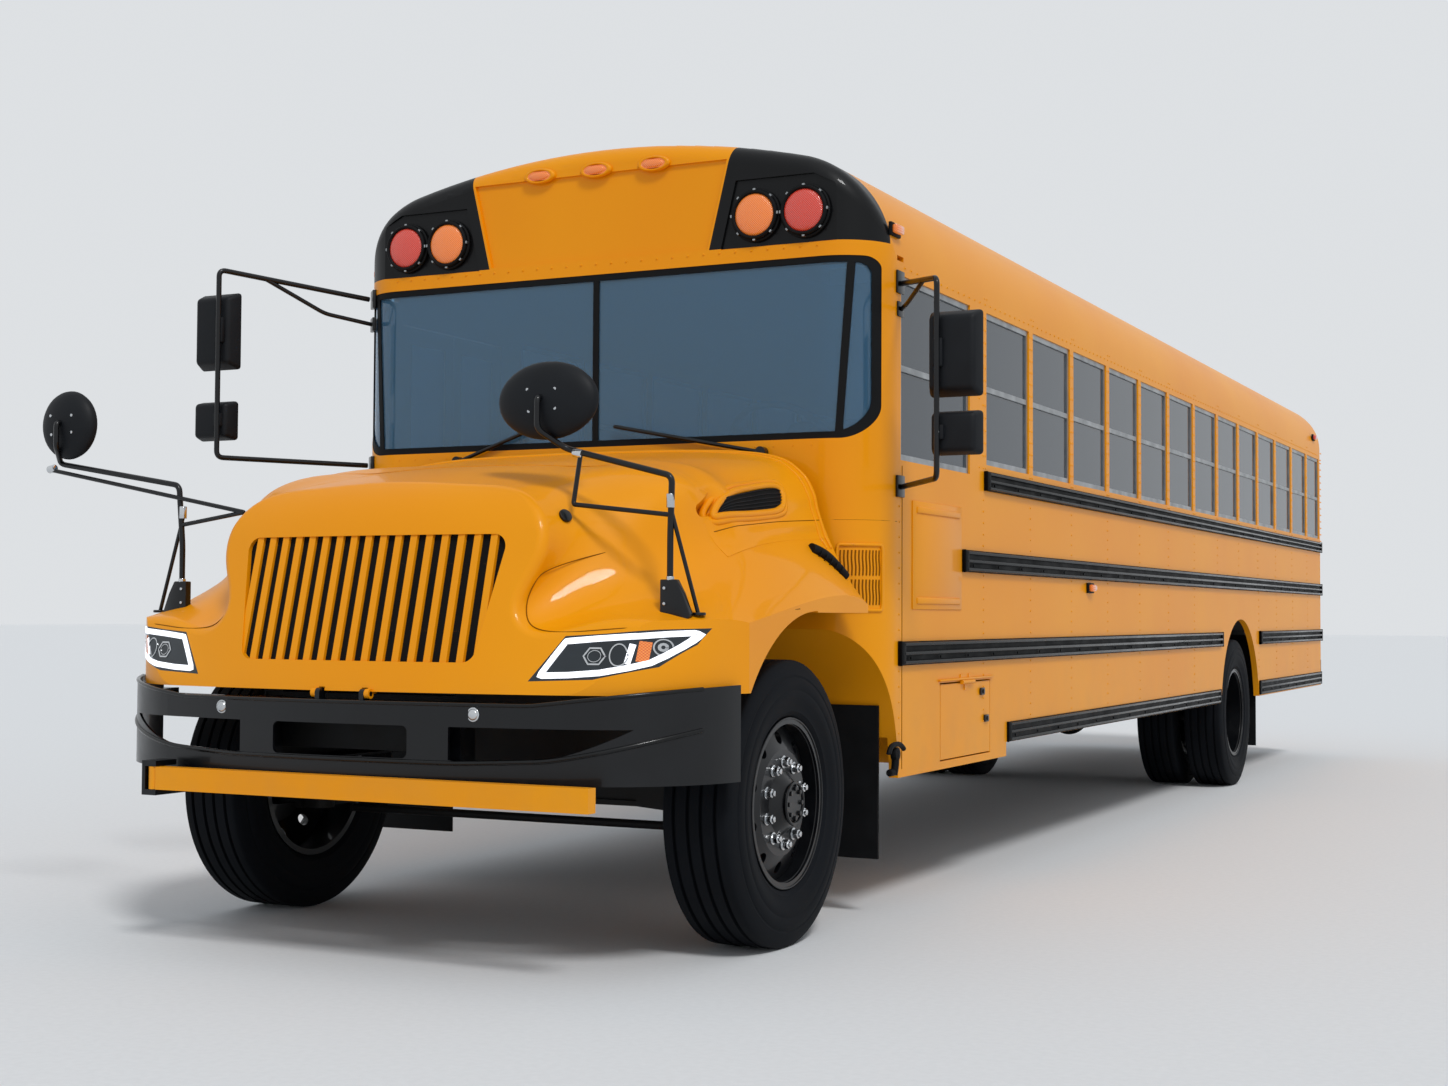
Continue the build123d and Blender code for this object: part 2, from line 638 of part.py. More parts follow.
with BuildPart() as fuel_tank:
    with BuildSketch(from_front(TANK_FRONT_Y)):
        with Locations((-(RAIL_OUTER_X + 300.0), (TANK_BOTTOM_Z + RAIL_TOP_Z) / 2)):
            RectangleRounded(600.0, RAIL_TOP_Z - TANK_BOTTOM_Z, 60.0)
    extrude(amount=-TANK_LENGTH)
save(fuel_tank, "fuel_tank")

EXHAUST_R = 40.0
EXHAUST_X = RAIL_OUTER_X + 85.0
EXHAUST_Z = 760.0
EXHAUST_FRONT_Y = FRONT_AXLE_Y + 950.0
EXHAUST_HANGERS = (1100.0, 2200.0, 5400.0, 8700.0, 10200.0)
HANGER_HALF = 20.0
MUFFLER_R = 110.0
MUFFLER_X = RAIL_OUTER_X + 120.0
MUFFLER_FRONT_Y = FRONT_AXLE_Y + 3000.0
MUFFLER_LENGTH = 1000.0

with BuildPart() as exhaust_pipe:
    rod((EXHAUST_X, EXHAUST_FRONT_Y, EXHAUST_Z), (EXHAUST_X, SIDE_REAR_Y - PANEL_GAP, EXHAUST_Z), EXHAUST_R)
    muffler_end_y = MUFFLER_FRONT_Y + MUFFLER_LENGTH
    rod((MUFFLER_X, MUFFLER_FRONT_Y, EXHAUST_Z), (MUFFLER_X, muffler_end_y, EXHAUST_Z), MUFFLER_R)
    for behind in EXHAUST_HANGERS:
        middle = FRONT_AXLE_Y + behind
        block(
            RAIL_OUTER_X,
            EXHAUST_X,
            middle - HANGER_HALF,
            middle + HANGER_HALF,
            EXHAUST_Z - HANGER_HALF / 2,
            EXHAUST_Z + HANGER_HALF / 2,
        )
save(exhaust_pipe, "exhaust_pipe")

# Front bumper: a wrapped channel with a centre opening and two crescent openings
BUMPER_FRONT = 1060.0  # its face ahead of the front axle at the centreline
BUMPER_FRONT_Y = FRONT_AXLE_Y - BUMPER_FRONT
BUMPER_BOW_R = 4050.0
BUMPER_BOW_HALF = 790.0
BUMPER_END_R = 540.0
BUMPER_END_TURN = 80.0
BUMPER_DEPTH = 75.0
BUMPER_SKIN = 10.0
BUMPER_TOP_Z = 872.0
BUMPER_END_TOP_Z = 930.0
BUMPER_BOTTOM_Z = 618.0
BUMPER_LIP = 22.0
BUMPER_RISE_X = 700.0


def wrap_path(front_y, inset, end_turn):
    """Points of a wrapped front: a shallow bow, then tighter round ends, set in by inset."""
    bow = BUMPER_BOW_R - inset
    end = BUMPER_END_R - inset
    lean = asin(BUMPER_BOW_HALF / BUMPER_BOW_R)
    turn = radians(end_turn)
    centre_y = front_y + BUMPER_BOW_R
    pivot_x = BUMPER_BOW_HALF - BUMPER_END_R * sin(lean)
    pivot_y = centre_y - (BUMPER_BOW_R - BUMPER_END_R) * cos(lean)
    middle = (lean + turn) / 2
    return {
        "tip": (0, centre_y - bow),
        "join": (pivot_x + end * sin(lean), pivot_y - end * cos(lean)),
        "bend": (pivot_x + end * sin(middle), pivot_y - end * cos(middle)),
        "end": (pivot_x + end * sin(turn), pivot_y - end * cos(turn)),
    }


def mirror_x(point):
    """Same point on the bus's right side."""
    return (-point[0], point[1])


def wrap_band(front_y, outer, inner, end_turn):
    """Closed plan of a wrapped skin between two insets."""
    out = wrap_path(front_y, outer, end_turn)
    back = wrap_path(front_y, inner, end_turn)
    with BuildLine() as edge:
        ThreePointArc(mirror_x(out["join"]), out["tip"], out["join"])
        ThreePointArc(out["join"], out["bend"], out["end"])
        Line(out["end"], back["end"])
        ThreePointArc(back["end"], back["bend"], back["join"])
        ThreePointArc(back["join"], back["tip"], mirror_x(back["join"]))
        ThreePointArc(mirror_x(back["join"]), mirror_x(back["bend"]), mirror_x(back["end"]))
        Line(mirror_x(back["end"]), mirror_x(out["end"]))
        ThreePointArc(mirror_x(out["end"]), mirror_x(out["bend"]), mirror_x(out["join"]))
    make_face(edge.line)


CENTRE_OPENING_HALF = 270.0
CRESCENT_IN = 420.0
CRESCENT_OUT = 1010.0
OPENING_TOP_Z = 795.0
OPENING_BOTTOM_Z = 690.0

# The hood tilts forwards on two lugs that stand on the bumper
HOOD_PIVOT_Y = FRONT_AXLE_Y - 1036.0
HOOD_PIVOT_Z = 893.0
LUG_IN_X = 80.0
LUG_THICKNESS = 18.0
LUG_R = 16.0
LUG_PIN_R = 8.0
PIN_OUT_X = LUG_IN_X + 2 * LUG_THICKNESS + EAR_GAP

with BuildPart() as front_bumper:
    with BuildSketch(Plane.XY.offset(BUMPER_BOTTOM_Z)):
        wrap_band(BUMPER_FRONT_Y, 0, BUMPER_SKIN, BUMPER_END_TURN)
    extrude(amount=BUMPER_END_TOP_Z - BUMPER_BOTTOM_Z)
    for low in (BUMPER_BOTTOM_Z, BUMPER_TOP_Z - BUMPER_LIP):
        with BuildSketch(Plane.XY.offset(low)):
            wrap_band(BUMPER_FRONT_Y, 0, BUMPER_DEPTH, BUMPER_END_TURN)
        extrude(amount=BUMPER_LIP)
    with BuildSketch(from_front(BUMPER_FRONT_Y)):
        with BuildLine():
            Polyline(
                (-BUMPER_RISE_X, BUMPER_TOP_Z),
                (BUMPER_RISE_X, BUMPER_TOP_Z),
                (BODY_HALF, BUMPER_END_TOP_Z),
                (BODY_HALF, BUMPER_END_TOP_Z + BUMPER_DEPTH),
                (-BODY_HALF, BUMPER_END_TOP_Z + BUMPER_DEPTH),
                (-BODY_HALF, BUMPER_END_TOP_Z),
                close=True,
            )
        make_face()
    extrude(amount=-BUMPER_FRONT, mode=Mode.SUBTRACT)
    with BuildSketch(from_front(BUMPER_FRONT_Y)):
        with Locations((0, (OPENING_TOP_Z + OPENING_BOTTOM_Z) / 2)):
            RectangleRounded(2 * CENTRE_OPENING_HALF, OPENING_TOP_Z - OPENING_BOTTOM_Z, 20.0)
        for side in (-1, 1):
            with BuildLine():
                ThreePointArc(
                    (side * CRESCENT_IN, OPENING_BOTTOM_Z),
                    (side * 800.0, OPENING_BOTTOM_Z + 18.0),
                    (side * CRESCENT_OUT, OPENING_TOP_Z),
                )
                Polyline(
                    (side * CRESCENT_OUT, OPENING_TOP_Z),
                    (side * CRESCENT_IN, OPENING_TOP_Z),
                    (side * CRESCENT_IN, OPENING_BOTTOM_Z),
                )
            make_face()
    extrude(amount=-BUMPER_FRONT, mode=Mode.SUBTRACT)
    for side in (-1, 1):
        middle_x = side * (RAIL_OUTER_X - RAIL_FLANGE / 2)
        block(
            middle_x - RAIL_FLANGE / 2,
            middle_x + RAIL_FLANGE / 2,
            BUMPER_FRONT_Y + BUMPER_SKIN + 25.0,
            RAIL_FRONT_Y,
            OPENING_TOP_Z,
            BUMPER_TOP_Z - BUMPER_LIP,
        )
        block(
            middle_x - RAIL_FLANGE / 2,
            middle_x + RAIL_FLANGE / 2,
            BUMPER_FRONT_Y + BUMPER_DEPTH,
            RAIL_FRONT_Y,
            BUMPER_BOTTOM_Z,
            BUMPER_TOP_Z,
        )
        lug = (side * LUG_IN_X, side * (LUG_IN_X + LUG_THICKNESS))
        with BuildSketch(from_left(min(lug))):
            span(HOOD_PIVOT_Y - LUG_R, HOOD_PIVOT_Y + LUG_R, BUMPER_TOP_Z - BUMPER_LIP, HOOD_PIVOT_Z)
            with Locations((HOOD_PIVOT_Y, HOOD_PIVOT_Z)):
                Circle(LUG_R)
        extrude(amount=LUG_THICKNESS)
        rod((side * LUG_IN_X, HOOD_PIVOT_Y, HOOD_PIVOT_Z), (side * PIN_OUT_X, HOOD_PIVOT_Y, HOOD_PIVOT_Z), LUG_PIN_R)
save(front_bumper, "front_bumper")

# Tow eyes: plates with a cross hole, under both ends of the frame rails
TOW_HOLE_R = 25.0
TOW_EYE_R = 50.0
TOW_PLATE = 30.0
TOW_LENGTH = 150.0
FRONT_TOW = (RAIL_FRONT_Y + TOW_LENGTH / 2, RAIL_BOTTOM_Z - TOW_EYE_R)
REAR_TOW = (RAIL_REAR_Y - TOW_LENGTH, SKIRT_REAR_Z - TOW_EYE_R)

with BuildPart() as tow_eyes:
    for side in (-1, 1):
        middle_x = side * (RAIL_OUTER_X - RAIL_FLANGE / 2)
        for eye_y, eye_z in (FRONT_TOW, REAR_TOW):
            with BuildSketch(from_left(middle_x - TOW_PLATE / 2)):
                with Locations((eye_y, eye_z)):
                    Circle(TOW_EYE_R)
                span(eye_y - TOW_EYE_R, eye_y + TOW_EYE_R, eye_z, RAIL_BOTTOM_Z)
                with Locations((eye_y, eye_z)):
                    Circle(TOW_HOLE_R, mode=Mode.SUBTRACT)
            extrude(amount=TOW_PLATE)
save(tow_eyes, "tow_eyes")

# Crossing bar: a tube along the bumper, hinged at the bus's right
BAR_DEPTH = 45.0
BAR_LOW_Z = 553.0
BAR_HIGH_Z = 630.0
BAR_END_X = 984.0
BAR_PIVOT_X = -735.0
BAR_PIVOT_R = 12.0
BAR_KNUCKLE_R = 21.0
BAR_PIVOT_Y = FRONT_AXLE_Y - FRONT_REACH + BAR_DEPTH / 2
BAR_BRACKET = 40.0
BAR_PLATE = 20.0

with BuildPart() as crossing_arm:
    block(
        BAR_PIVOT_X + BAR_KNUCKLE_R,
        BAR_END_X,
        BAR_PIVOT_Y - BAR_DEPTH / 2,
        BAR_PIVOT_Y + BAR_DEPTH / 2,
        BAR_LOW_Z,
        BAR_HIGH_Z,
    )
    block(
        BAR_PIVOT_X,
        BAR_PIVOT_X + 2 * BAR_KNUCKLE_R,
        BAR_PIVOT_Y - BAR_KNUCKLE_R / 2,
        BAR_PIVOT_Y + BAR_KNUCKLE_R / 2,
        BAR_LOW_Z,
        BAR_HIGH_Z,
    )
    rod((BAR_PIVOT_X, BAR_PIVOT_Y, BAR_LOW_Z), (BAR_PIVOT_X, BAR_PIVOT_Y, BAR_HIGH_Z), BAR_KNUCKLE_R)
    rod(
        (BAR_PIVOT_X, BAR_PIVOT_Y, BAR_LOW_Z),
        (BAR_PIVOT_X, BAR_PIVOT_Y, BAR_HIGH_Z),
        BAR_PIVOT_R + PIN_GAP,
        mode=Mode.SUBTRACT,
    )
save(crossing_arm, "crossing_arm")

# The bar's hinge bracket belongs to the bumper's lower corner
with BuildPart() as bar_bracket:
    back_y = BAR_PIVOT_Y + 2 * BAR_BRACKET
    for low, high in ((BAR_LOW_Z - BAR_PLATE, BAR_LOW_Z - EAR_GAP), (BAR_HIGH_Z + EAR_GAP, BAR_HIGH_Z + BAR_PLATE)):
        block(
            BAR_PIVOT_X - BAR_BRACKET, BAR_PIVOT_X + BAR_KNUCKLE_R, BAR_PIVOT_Y - BAR_KNUCKLE_R, back_y, low, high
        )
    block(
        BAR_PIVOT_X - BAR_BRACKET,
        BAR_PIVOT_X - BAR_KNUCKLE_R - MOVE_GAP,
        BAR_PIVOT_Y - BAR_KNUCKLE_R,
        back_y,
        BAR_LOW_Z - BAR_PLATE,
        BAR_HIGH_Z + BAR_PLATE,
    )
    block(
        BAR_PIVOT_X - BAR_BRACKET,
        BAR_PIVOT_X + BAR_KNUCKLE_R,
        back_y,
        back_y + 2 * BAR_BRACKET,
        BAR_LOW_Z - BAR_PLATE,
        BAR_LOW_Z - EAR_GAP,
    )
    block(
        BAR_PIVOT_X - BAR_BRACKET,
        BAR_PIVOT_X + BAR_KNUCKLE_R,
        back_y + BAR_BRACKET,
        back_y + 2 * BAR_BRACKET,
        BAR_LOW_Z - BAR_PLATE,
        BUMPER_BOTTOM_Z,
    )
    rod(
        (BAR_PIVOT_X, BAR_PIVOT_Y, BAR_LOW_Z - BAR_PLATE),
        (BAR_PIVOT_X, BAR_PIVOT_Y, BAR_HIGH_Z + BAR_PLATE),
        BAR_PIVOT_R,
    )
save(bar_bracket, "bar_bracket")

# Windshield outline, seen from the front
SCREEN_HALF = 1195.0
SCREEN_LOW_Z = 1832.0
SCREEN_HIGH_Z = 2535.0
SCREEN_LOW_R = 130.0
SCREEN_HIGH_R = 45.0
GASKET = 26.0
DIVIDER = 26.0
PILLAR_LOW_X = 1050.0
PILLAR_HIGH_X = 1095.0


def screen_outline(inset):
    """Windshield opening with its round corners, set in by inset."""
    high = SCREEN_HIGH_Z - inset
    low = SCREEN_LOW_Z + inset
    half = SCREEN_HALF - inset
    middle = (low + high) / 2
    with BuildLine() as edge:
        FilletPolyline((-half, middle), (-half, high), (half, high), (half, middle), radius=SCREEN_HIGH_R)
        FilletPolyline((half, middle), (half, low), (-half, low), (-half, middle), radius=SCREEN_LOW_R)
    make_face(edge.line)


def screen_panes(plane):
    """Two flat and two corner panes inside the gasket, parted by the divider and pillars."""
    with BuildSketch(plane) as panes:
        screen_outline(GASKET)
        span(-DIVIDER / 2, DIVIDER / 2, SCREEN_LOW_Z, SCREEN_HIGH_Z, mode=Mode.SUBTRACT)
        for side in (-1, 1):
            with BuildLine():
                Polyline(
                    (side * PILLAR_LOW_X, SCREEN_LOW_Z),
                    (side * (PILLAR_LOW_X + DIVIDER), SCREEN_LOW_Z),
                    (side * (PILLAR_HIGH_X + DIVIDER), SCREEN_HIGH_Z),
                    (side * PILLAR_HIGH_X, SCREEN_HIGH_Z),
                    close=True,
                )
            make_face(mode=Mode.SUBTRACT)
    return panes


def front_shell(low, high, outer, inner, back_y=CAP_BACK_Y, mode=Mode.ADD):
    """Wrapped front wall between two insets and two heights."""
    with BuildPart(mode=Mode.PRIVATE) as shell:
        with BuildSketch(Plane.XY.offset(low)):
            end_plan(outer, FACE_Y, back_y, FRONT_CORNER_R)
        extrude(amount=high - low)
        with BuildSketch(Plane.XY.offset(low)):
            end_plan(inner, FACE_Y, back_y, FRONT_CORNER_R)
        extrude(amount=high - low, mode=Mode.SUBTRACT)
    add(shell.part, mode=mode)


LINER_WALL = 25.0
LINER_IN_X = 480.0

# Cowl: lower front body with wheel-arch cheeks, pillars and windshield opening
with BuildPart() as cowl:
    with BuildSketch(Plane.XY.offset(SKIRT_Z)):
        end_plan(0, FACE_Y, SIDE_FRONT_Y, FRONT_CORNER_R)
    extrude(amount=HEADER_Z - SKIRT_Z)
    with BuildPart(mode=Mode.PRIVATE) as hollow:
        with BuildSketch(Plane.XY.offset(SKIRT_Z)):
            end_plan(WALL, FACE_Y, SIDE_FRONT_Y, FRONT_CORNER_R)
        extrude(amount=HEADER_Z - SKIRT_Z)
        with BuildSketch(from_left(LINER_IN_X)):
            with Locations((FRONT_AXLE_Y, TYRE_R)):
                Circle(CHEEK_ARCH_R + LINER_WALL)
        extrude(amount=BODY_HALF, mode=Mode.SUBTRACT)
        with BuildSketch(from_left(-LINER_IN_X)):
            with Locations((FRONT_AXLE_Y, TYRE_R)):
                Circle(CHEEK_ARCH_R + LINER_WALL)
        extrude(amount=-BODY_HALF, mode=Mode.SUBTRACT)
    add(hollow.part, mode=Mode.SUBTRACT)
    with BuildSketch(from_left(-BODY_HALF)):
        with Locations((FRONT_AXLE_Y, TYRE_R)):
            Circle(CHEEK_ARCH_R)
    extrude(amount=2 * BODY_HALF, mode=Mode.SUBTRACT)
    with BuildSketch(from_front(FACE_Y)):
        screen_outline(0)
    extrude(amount=-FRONT_CORNER_R, mode=Mode.SUBTRACT)
save(cowl, "cowl")

FRAME_OUT = 2.0
FRAME_IN = 22.0
GLASS_OUT = 8.0
GLASS_IN = 14.0

with BuildPart() as windshield_frame:
    front_shell(SCREEN_LOW_Z, SCREEN_HIGH_Z, FRAME_OUT, FRAME_IN)
    with BuildSketch(from_front(FACE_Y)):
        screen_outline(0)
        add(screen_panes(Plane.XY).sketch, mode=Mode.SUBTRACT)
    extrude(amount=-CAP_DEPTH, mode=Mode.INTERSECT)
save(windshield_frame, "windshield_frame")

with BuildPart() as windshield_glass:
    front_shell(SCREEN_LOW_Z, SCREEN_HIGH_Z, GLASS_OUT, GLASS_IN)
    with BuildSketch(from_front(FACE_Y)):
        add(screen_panes(Plane.XY).sketch)
    extrude(amount=-CAP_DEPTH, mode=Mode.INTERSECT)
save(windshield_glass, "windshield_glass")

# Moulded front cap with its blank panel recess and black lamp plates
PANEL_RECESS = 12.0
PANEL_TOP_Z = 2950.0
PANEL_LOW_Z = 2600.0
PANEL_TOP_HALF = 590.0
PANEL_LOW_HALF = 505.0
PLATE_RECESS = 10.0
PLATE_OUT_X = 1085.0
PLATE_TOP_Z = 2860.0
PLATE_LOW_Z = 2590.0
CAP_WALL = 30.0

with BuildPart() as front_cap:
    with BuildSketch(from_front(FACE_Y)):
        roof_outline(0, FLOOR_Z)
    extrude(amount=-CAP_DEPTH)
    with BuildSketch(Plane.XY.offset(HEADER_Z)):
        end_plan(0, FACE_Y, CAP_BACK_Y, FRONT_CORNER_R)
    extrude(amount=ROOF_TOP_Z, mode=Mode.INTERSECT)
    rim = front_cap.edges().filter_by(lambda e: e.center().Z > SPRING_Z + 60.0 and e.center().Y < SIDE_FRONT_Y - 20.0)
    fillet(rim, CAP_EDGE_R)
    with BuildPart(mode=Mode.PRIVATE) as hollow:
        with BuildSketch(from_front(FACE_Y + CAP_WALL)):
            roof_outline(CAP_WALL, FLOOR_Z)
        extrude(amount=CAP_WALL - CAP_DEPTH)
        with BuildSketch(Plane.XY.offset(HEADER_Z)):
            end_plan(CAP_WALL, FACE_Y, CAP_BACK_Y, FRONT_CORNER_R)
        extrude(amount=ROOF_TOP_Z, mode=Mode.INTERSECT)
        split(bisect_by=Plane(origin=(0, FACE_Y + CAP_WALL, ROOF_TOP_Z - 3 * CAP_WALL), z_dir=(0, 1, -1)), keep=Keep.TOP)
    add(hollow.part, mode=Mode.SUBTRACT)
    with BuildSketch(from_front(FACE_Y)):
        with BuildLine():
            Polyline(
                (-PANEL_LOW_HALF, PANEL_LOW_Z),
                (PANEL_LOW_HALF, PANEL_LOW_Z),
                (PANEL_TOP_HALF, PANEL_TOP_Z),
                (-PANEL_TOP_HALF, PANEL_TOP_Z),
                close=True,
            )
        make_face()
    extrude(amount=-PANEL_RECESS, mode=Mode.SUBTRACT)
    with BuildSketch(from_front(FACE_Y)):
        for side in (-1, 1):
            with BuildLine():
                Polyline(
                    (side * (PANEL_LOW_HALF + 60.0), PLATE_LOW_Z),
                    (side * PLATE_OUT_X, PLATE_LOW_Z),
                    (side * PLATE_OUT_X, PLATE_TOP_Z - 60.0),
                    (side * (PLATE_OUT_X - 120.0), PLATE_TOP_Z),
                    (side * (PANEL_TOP_HALF + 40.0), PLATE_TOP_Z),
                    close=True,
                )
            make_face()
    extrude(amount=-PLATE_RECESS, mode=Mode.SUBTRACT)
save(front_cap, "front_cap")

# Side windows: a driver's window, then a row of equal bays
WINDOW_BAYS = 13
BAY_FIRST_Y = FRONT_AXLE_Y + 1914.0
BAY_PITCH = 681.0
BAY_WIDTH = 621.0
BAY_LOW_Z = 1817.0
BAY_HIGH_Z = 2487.0
DRIVER_WINDOW_START = FRONT_AXLE_Y + 872.0
DRIVER_WINDOW_LENGTH = 822.0
DRIVER_WINDOW_LOW_Z = 1762.0
DOOR_START_Y = FRONT_AXLE_Y + 930.0
DOOR_WIDTH = 800.0
DOOR_TOP_Z = 2450.0
DOOR_FOOT_Z = 400.0
SKIRT_STEP_Y = FRONT_AXLE_Y + 2190.0
HATCH_START_Y = FRONT_AXLE_Y + 1321.0
HATCH_LENGTH = 641.0
HATCH_LOW_Z = 560.0
HATCH_HIGH_Z = 880.0
LOCKER_DEPTH = 330.0
LOCKER_WALL = 12.0
LOCKER_HINGE = (BODY_HALF + KNUCKLE_R, HATCH_START_Y + HATCH_LENGTH / 2, HATCH_HIGH_Z - PANEL_GAP / 2)
DOOR_HINGE_X = -BODY_HALF - KNUCKLE_R
FRONT_LEAF_HINGE_Y = DOOR_START_Y + PANEL_GAP / 2
REAR_LEAF_HINGE_Y = DOOR_START_Y + DOOR_WIDTH - PANEL_GAP / 2
DOOR_HINGES_Z = (750.0, 1500.0, 2250.0)
LAST_BAY_WIDTH = 561.0
bays = [(BAY_FIRST_Y + BAY_PITCH * place, BAY_WIDTH) for place in range(WINDOW_BAYS - 1)]
bays.append((BAY_FIRST_Y + BAY_PITCH * (WINDOW_BAYS - 1), LAST_BAY_WIDTH))


def glazed(side):
    """Window openings of one side as (start, length, low, high)."""
    openings = [(start, width, BAY_LOW_Z, BAY_HIGH_Z) for start, width in bays]
    if side > 0:
        openings.append((DRIVER_WINDOW_START, DRIVER_WINDOW_LENGTH, DRIVER_WINDOW_LOW_Z, BAY_HIGH_Z))
    return openings


def body_side(side):
    """One side wall with its windows, wheel arch, skirt and door or locker opening."""
    with BuildPart() as wall:
        with BuildSketch(from_left(side * BODY_HALF)):
            span(SIDE_FRONT_Y, SIDE_REAR_Y, SKIRT_REAR_Z, SPRING_Z)
            span(SIDE_FRONT_Y, SKIRT_STEP_Y, SKIRT_Z, SPRING_Z)
            for start, length, low, high in glazed(side):
                span(start, start + length, low, high, mode=Mode.SUBTRACT)
            with Locations((REAR_AXLE_Y, TYRE_R)):
                Circle(REAR_ARCH_R, mode=Mode.SUBTRACT)
            with Locations((FRONT_AXLE_Y, TYRE_R)):
                Circle(CHEEK_ARCH_R, mode=Mode.SUBTRACT)
            if side > 0:
                span(HATCH_START_Y, HATCH_START_Y + HATCH_LENGTH, HATCH_LOW_Z, HATCH_HIGH_Z, mode=Mode.SUBTRACT)
            else:
                span(DOOR_START_Y, DOOR_START_Y + DOOR_WIDTH, 0, DOOR_TOP_Z, mode=Mode.SUBTRACT)
        extrude(amount=-side * WALL)
        if side > 0:
            block(
                BODY_HALF - WALL - LOCKER_DEPTH,
                BODY_HALF - WALL,
                HATCH_START_Y - LOCKER_WALL,
                HATCH_START_Y + HATCH_LENGTH + LOCKER_WALL,
                HATCH_LOW_Z - LOCKER_WALL,
                HATCH_HIGH_Z + LOCKER_WALL,
            )
            block(
                BODY_HALF - WALL - LOCKER_DEPTH + LOCKER_WALL,
                BODY_HALF,
                HATCH_START_Y,
                HATCH_START_Y + HATCH_LENGTH,
                HATCH_LOW_Z,
                HATCH_HIGH_Z,
                mode=Mode.SUBTRACT,
            )
            hinge_half(LOCKER_HINGE, UP, LEFT, True)
        else:
            for hinge_z in DOOR_HINGES_Z:
                hinge_half((DOOR_HINGE_X, FRONT_LEAF_HINGE_Y, hinge_z), FORWARD, RIGHT, True)
                hinge_half((DOOR_HINGE_X, REAR_LEAF_HINGE_Y, hinge_z), BACK, RIGHT, True)
    return wall


save(body_side(1), "body_side_left")
save(body_side(-1), "body_side_right")

# Split-sash frames and their glass
SASH = 24.0
SASH_OUT = 8.0
SASH_IN = 30.0
PANE_OUT = 16.0
PANE_THICKNESS = 6.0

with BuildPart() as window_frames:
    for side in (-1, 1):
        with BuildSketch(from_left(side * (BODY_HALF - SASH_OUT))):
            for start, length, low, high in glazed(side):
                span(start, start + length, low, high)
                middle = (low + high) / 2
                for foot, head in ((low + SASH, middle - SASH / 2), (middle + SASH / 2, high - SASH)):
                    span(start + SASH, start + length - SASH, foot, head, mode=Mode.SUBTRACT)
        extrude(amount=-side * (SASH_IN - SASH_OUT))
save(window_frames, "window_frames")

with BuildPart() as window_glass:
    for side in (-1, 1):
        with BuildSketch(from_left(side * (BODY_HALF - PANE_OUT))):
            for start, length, low, high in glazed(side):
                middle = (low + high) / 2
                for foot, head in ((low + SASH, middle - SASH / 2), (middle + SASH / 2, high - SASH)):
                    span(start + SASH, start + length - SASH, foot, head)
        extrude(amount=-side * PANE_THICKNESS)
save(window_glass, "window_glass")

# Rub rails: ribbed strips along both sides, as (start, end, low, high) behind the front axle
RAIL_PROUD = 16.0
RAIL_GROOVE = 7.0
BODY_TAIL = WHEELBASE + BODY_OVERHANG - REAR_CORNER_R
RUB_RAILS = (
    (1880.0, BODY_TAIL, 1703.0, 1786.0),
    (1800.0, BODY_TAIL, 1342.0, 1435.0),
    (2000.0, WHEELBASE - REAR_ARCH_R, 962.0, 1055.0),
    (WHEELBASE + REAR_ARCH_R, BODY_TAIL, 962.0, 1055.0),
)
SKIRT_RAILS = (
    (2200.0, WHEELBASE - REAR_ARCH_R - 40.0, 592.0, 680.0),
    (WHEELBASE + REAR_ARCH_R, BODY_TAIL, 600.0, 700.0),
)
LEFT_FRONT_RAIL = (845.0, 2000.0, 962.0, 1055.0)
LEFT_UPPER_RAIL = (1592.0, 1800.0, 1342.0, 1435.0)


def rub_rail(side, start, end, low, high):
    """One ribbed strip with three ridges."""
    face = side * BODY_HALF
    ridge = (high - low) / 5
    with BuildSketch(from_front(FRONT_AXLE_Y + start)) as strip:
        near = face
        far = face + side * RAIL_PROUD
        span(min(near, far), max(near, far), low, high)
        groove = face + side * (RAIL_PROUD - RAIL_GROOVE)
        for place in (1, 3):
            foot = low + place * ridge
            span(min(groove, far), max(groove, far), foot, foot + ridge, mode=Mode.SUBTRACT)
    extrude(strip.sketch, amount=start - end)


with BuildPart() as rub_rails:
    for side in (-1, 1):
        for start, end, low, high in RUB_RAILS:
            rub_rail(side, start, end, low, high)
        for start, end, low, high in SKIRT_RAILS:
            face = side * BODY_HALF
            far = face + side * RAIL_PROUD / 2
            block(
                min(face, far), max(face, far), FRONT_AXLE_Y + start, FRONT_AXLE_Y + end, low, high
            )
    for start, end, low, high in (LEFT_FRONT_RAIL, LEFT_UPPER_RAIL):
        rub_rail(1, start, end, low, high)
save(rub_rails, "rub_rails")

# Roof with two hatch openings and their curbs
ROOF_WALL = 34.0
HATCH_SIZE = 600.0
HATCH_CURB = 30.0
HATCH_CURB_TOP_Z = ROOF_TOP_Z + 25.0
ROOF_HATCHES = (FRONT_AXLE_Y + 3400.0, FRONT_AXLE_Y + 8200.0)

with BuildPart() as roof_panel:
    with BuildSketch(from_front(CAP_BACK_Y)):
        roof_outline(0, SPRING_Z)
        roof_outline(ROOF_WALL, SPRING_Z - 1.0, mode=Mode.SUBTRACT)
    extrude(amount=CAP_BACK_Y - SIDE_REAR_Y)
    for hatch_y in ROOF_HATCHES:
        half = HATCH_SIZE / 2
        block(-half - HATCH_CURB, half + HATCH_CURB, hatch_y - half - HATCH_CURB, hatch_y + half + HATCH_CURB, ROOF_TOP_Z - 2 * ROOF_WALL, HATCH_CURB_TOP_Z)
        block(-half, half, hatch_y - half, hatch_y + half, SPRING_Z, HATCH_CURB_TOP_Z, mode=Mode.SUBTRACT)
        hinge_half((0, hatch_y - half - HATCH_CURB - KNUCKLE_R, HATCH_CURB_TOP_Z), DOWN, FORWARD, True)
save(roof_panel, "roof_panel")

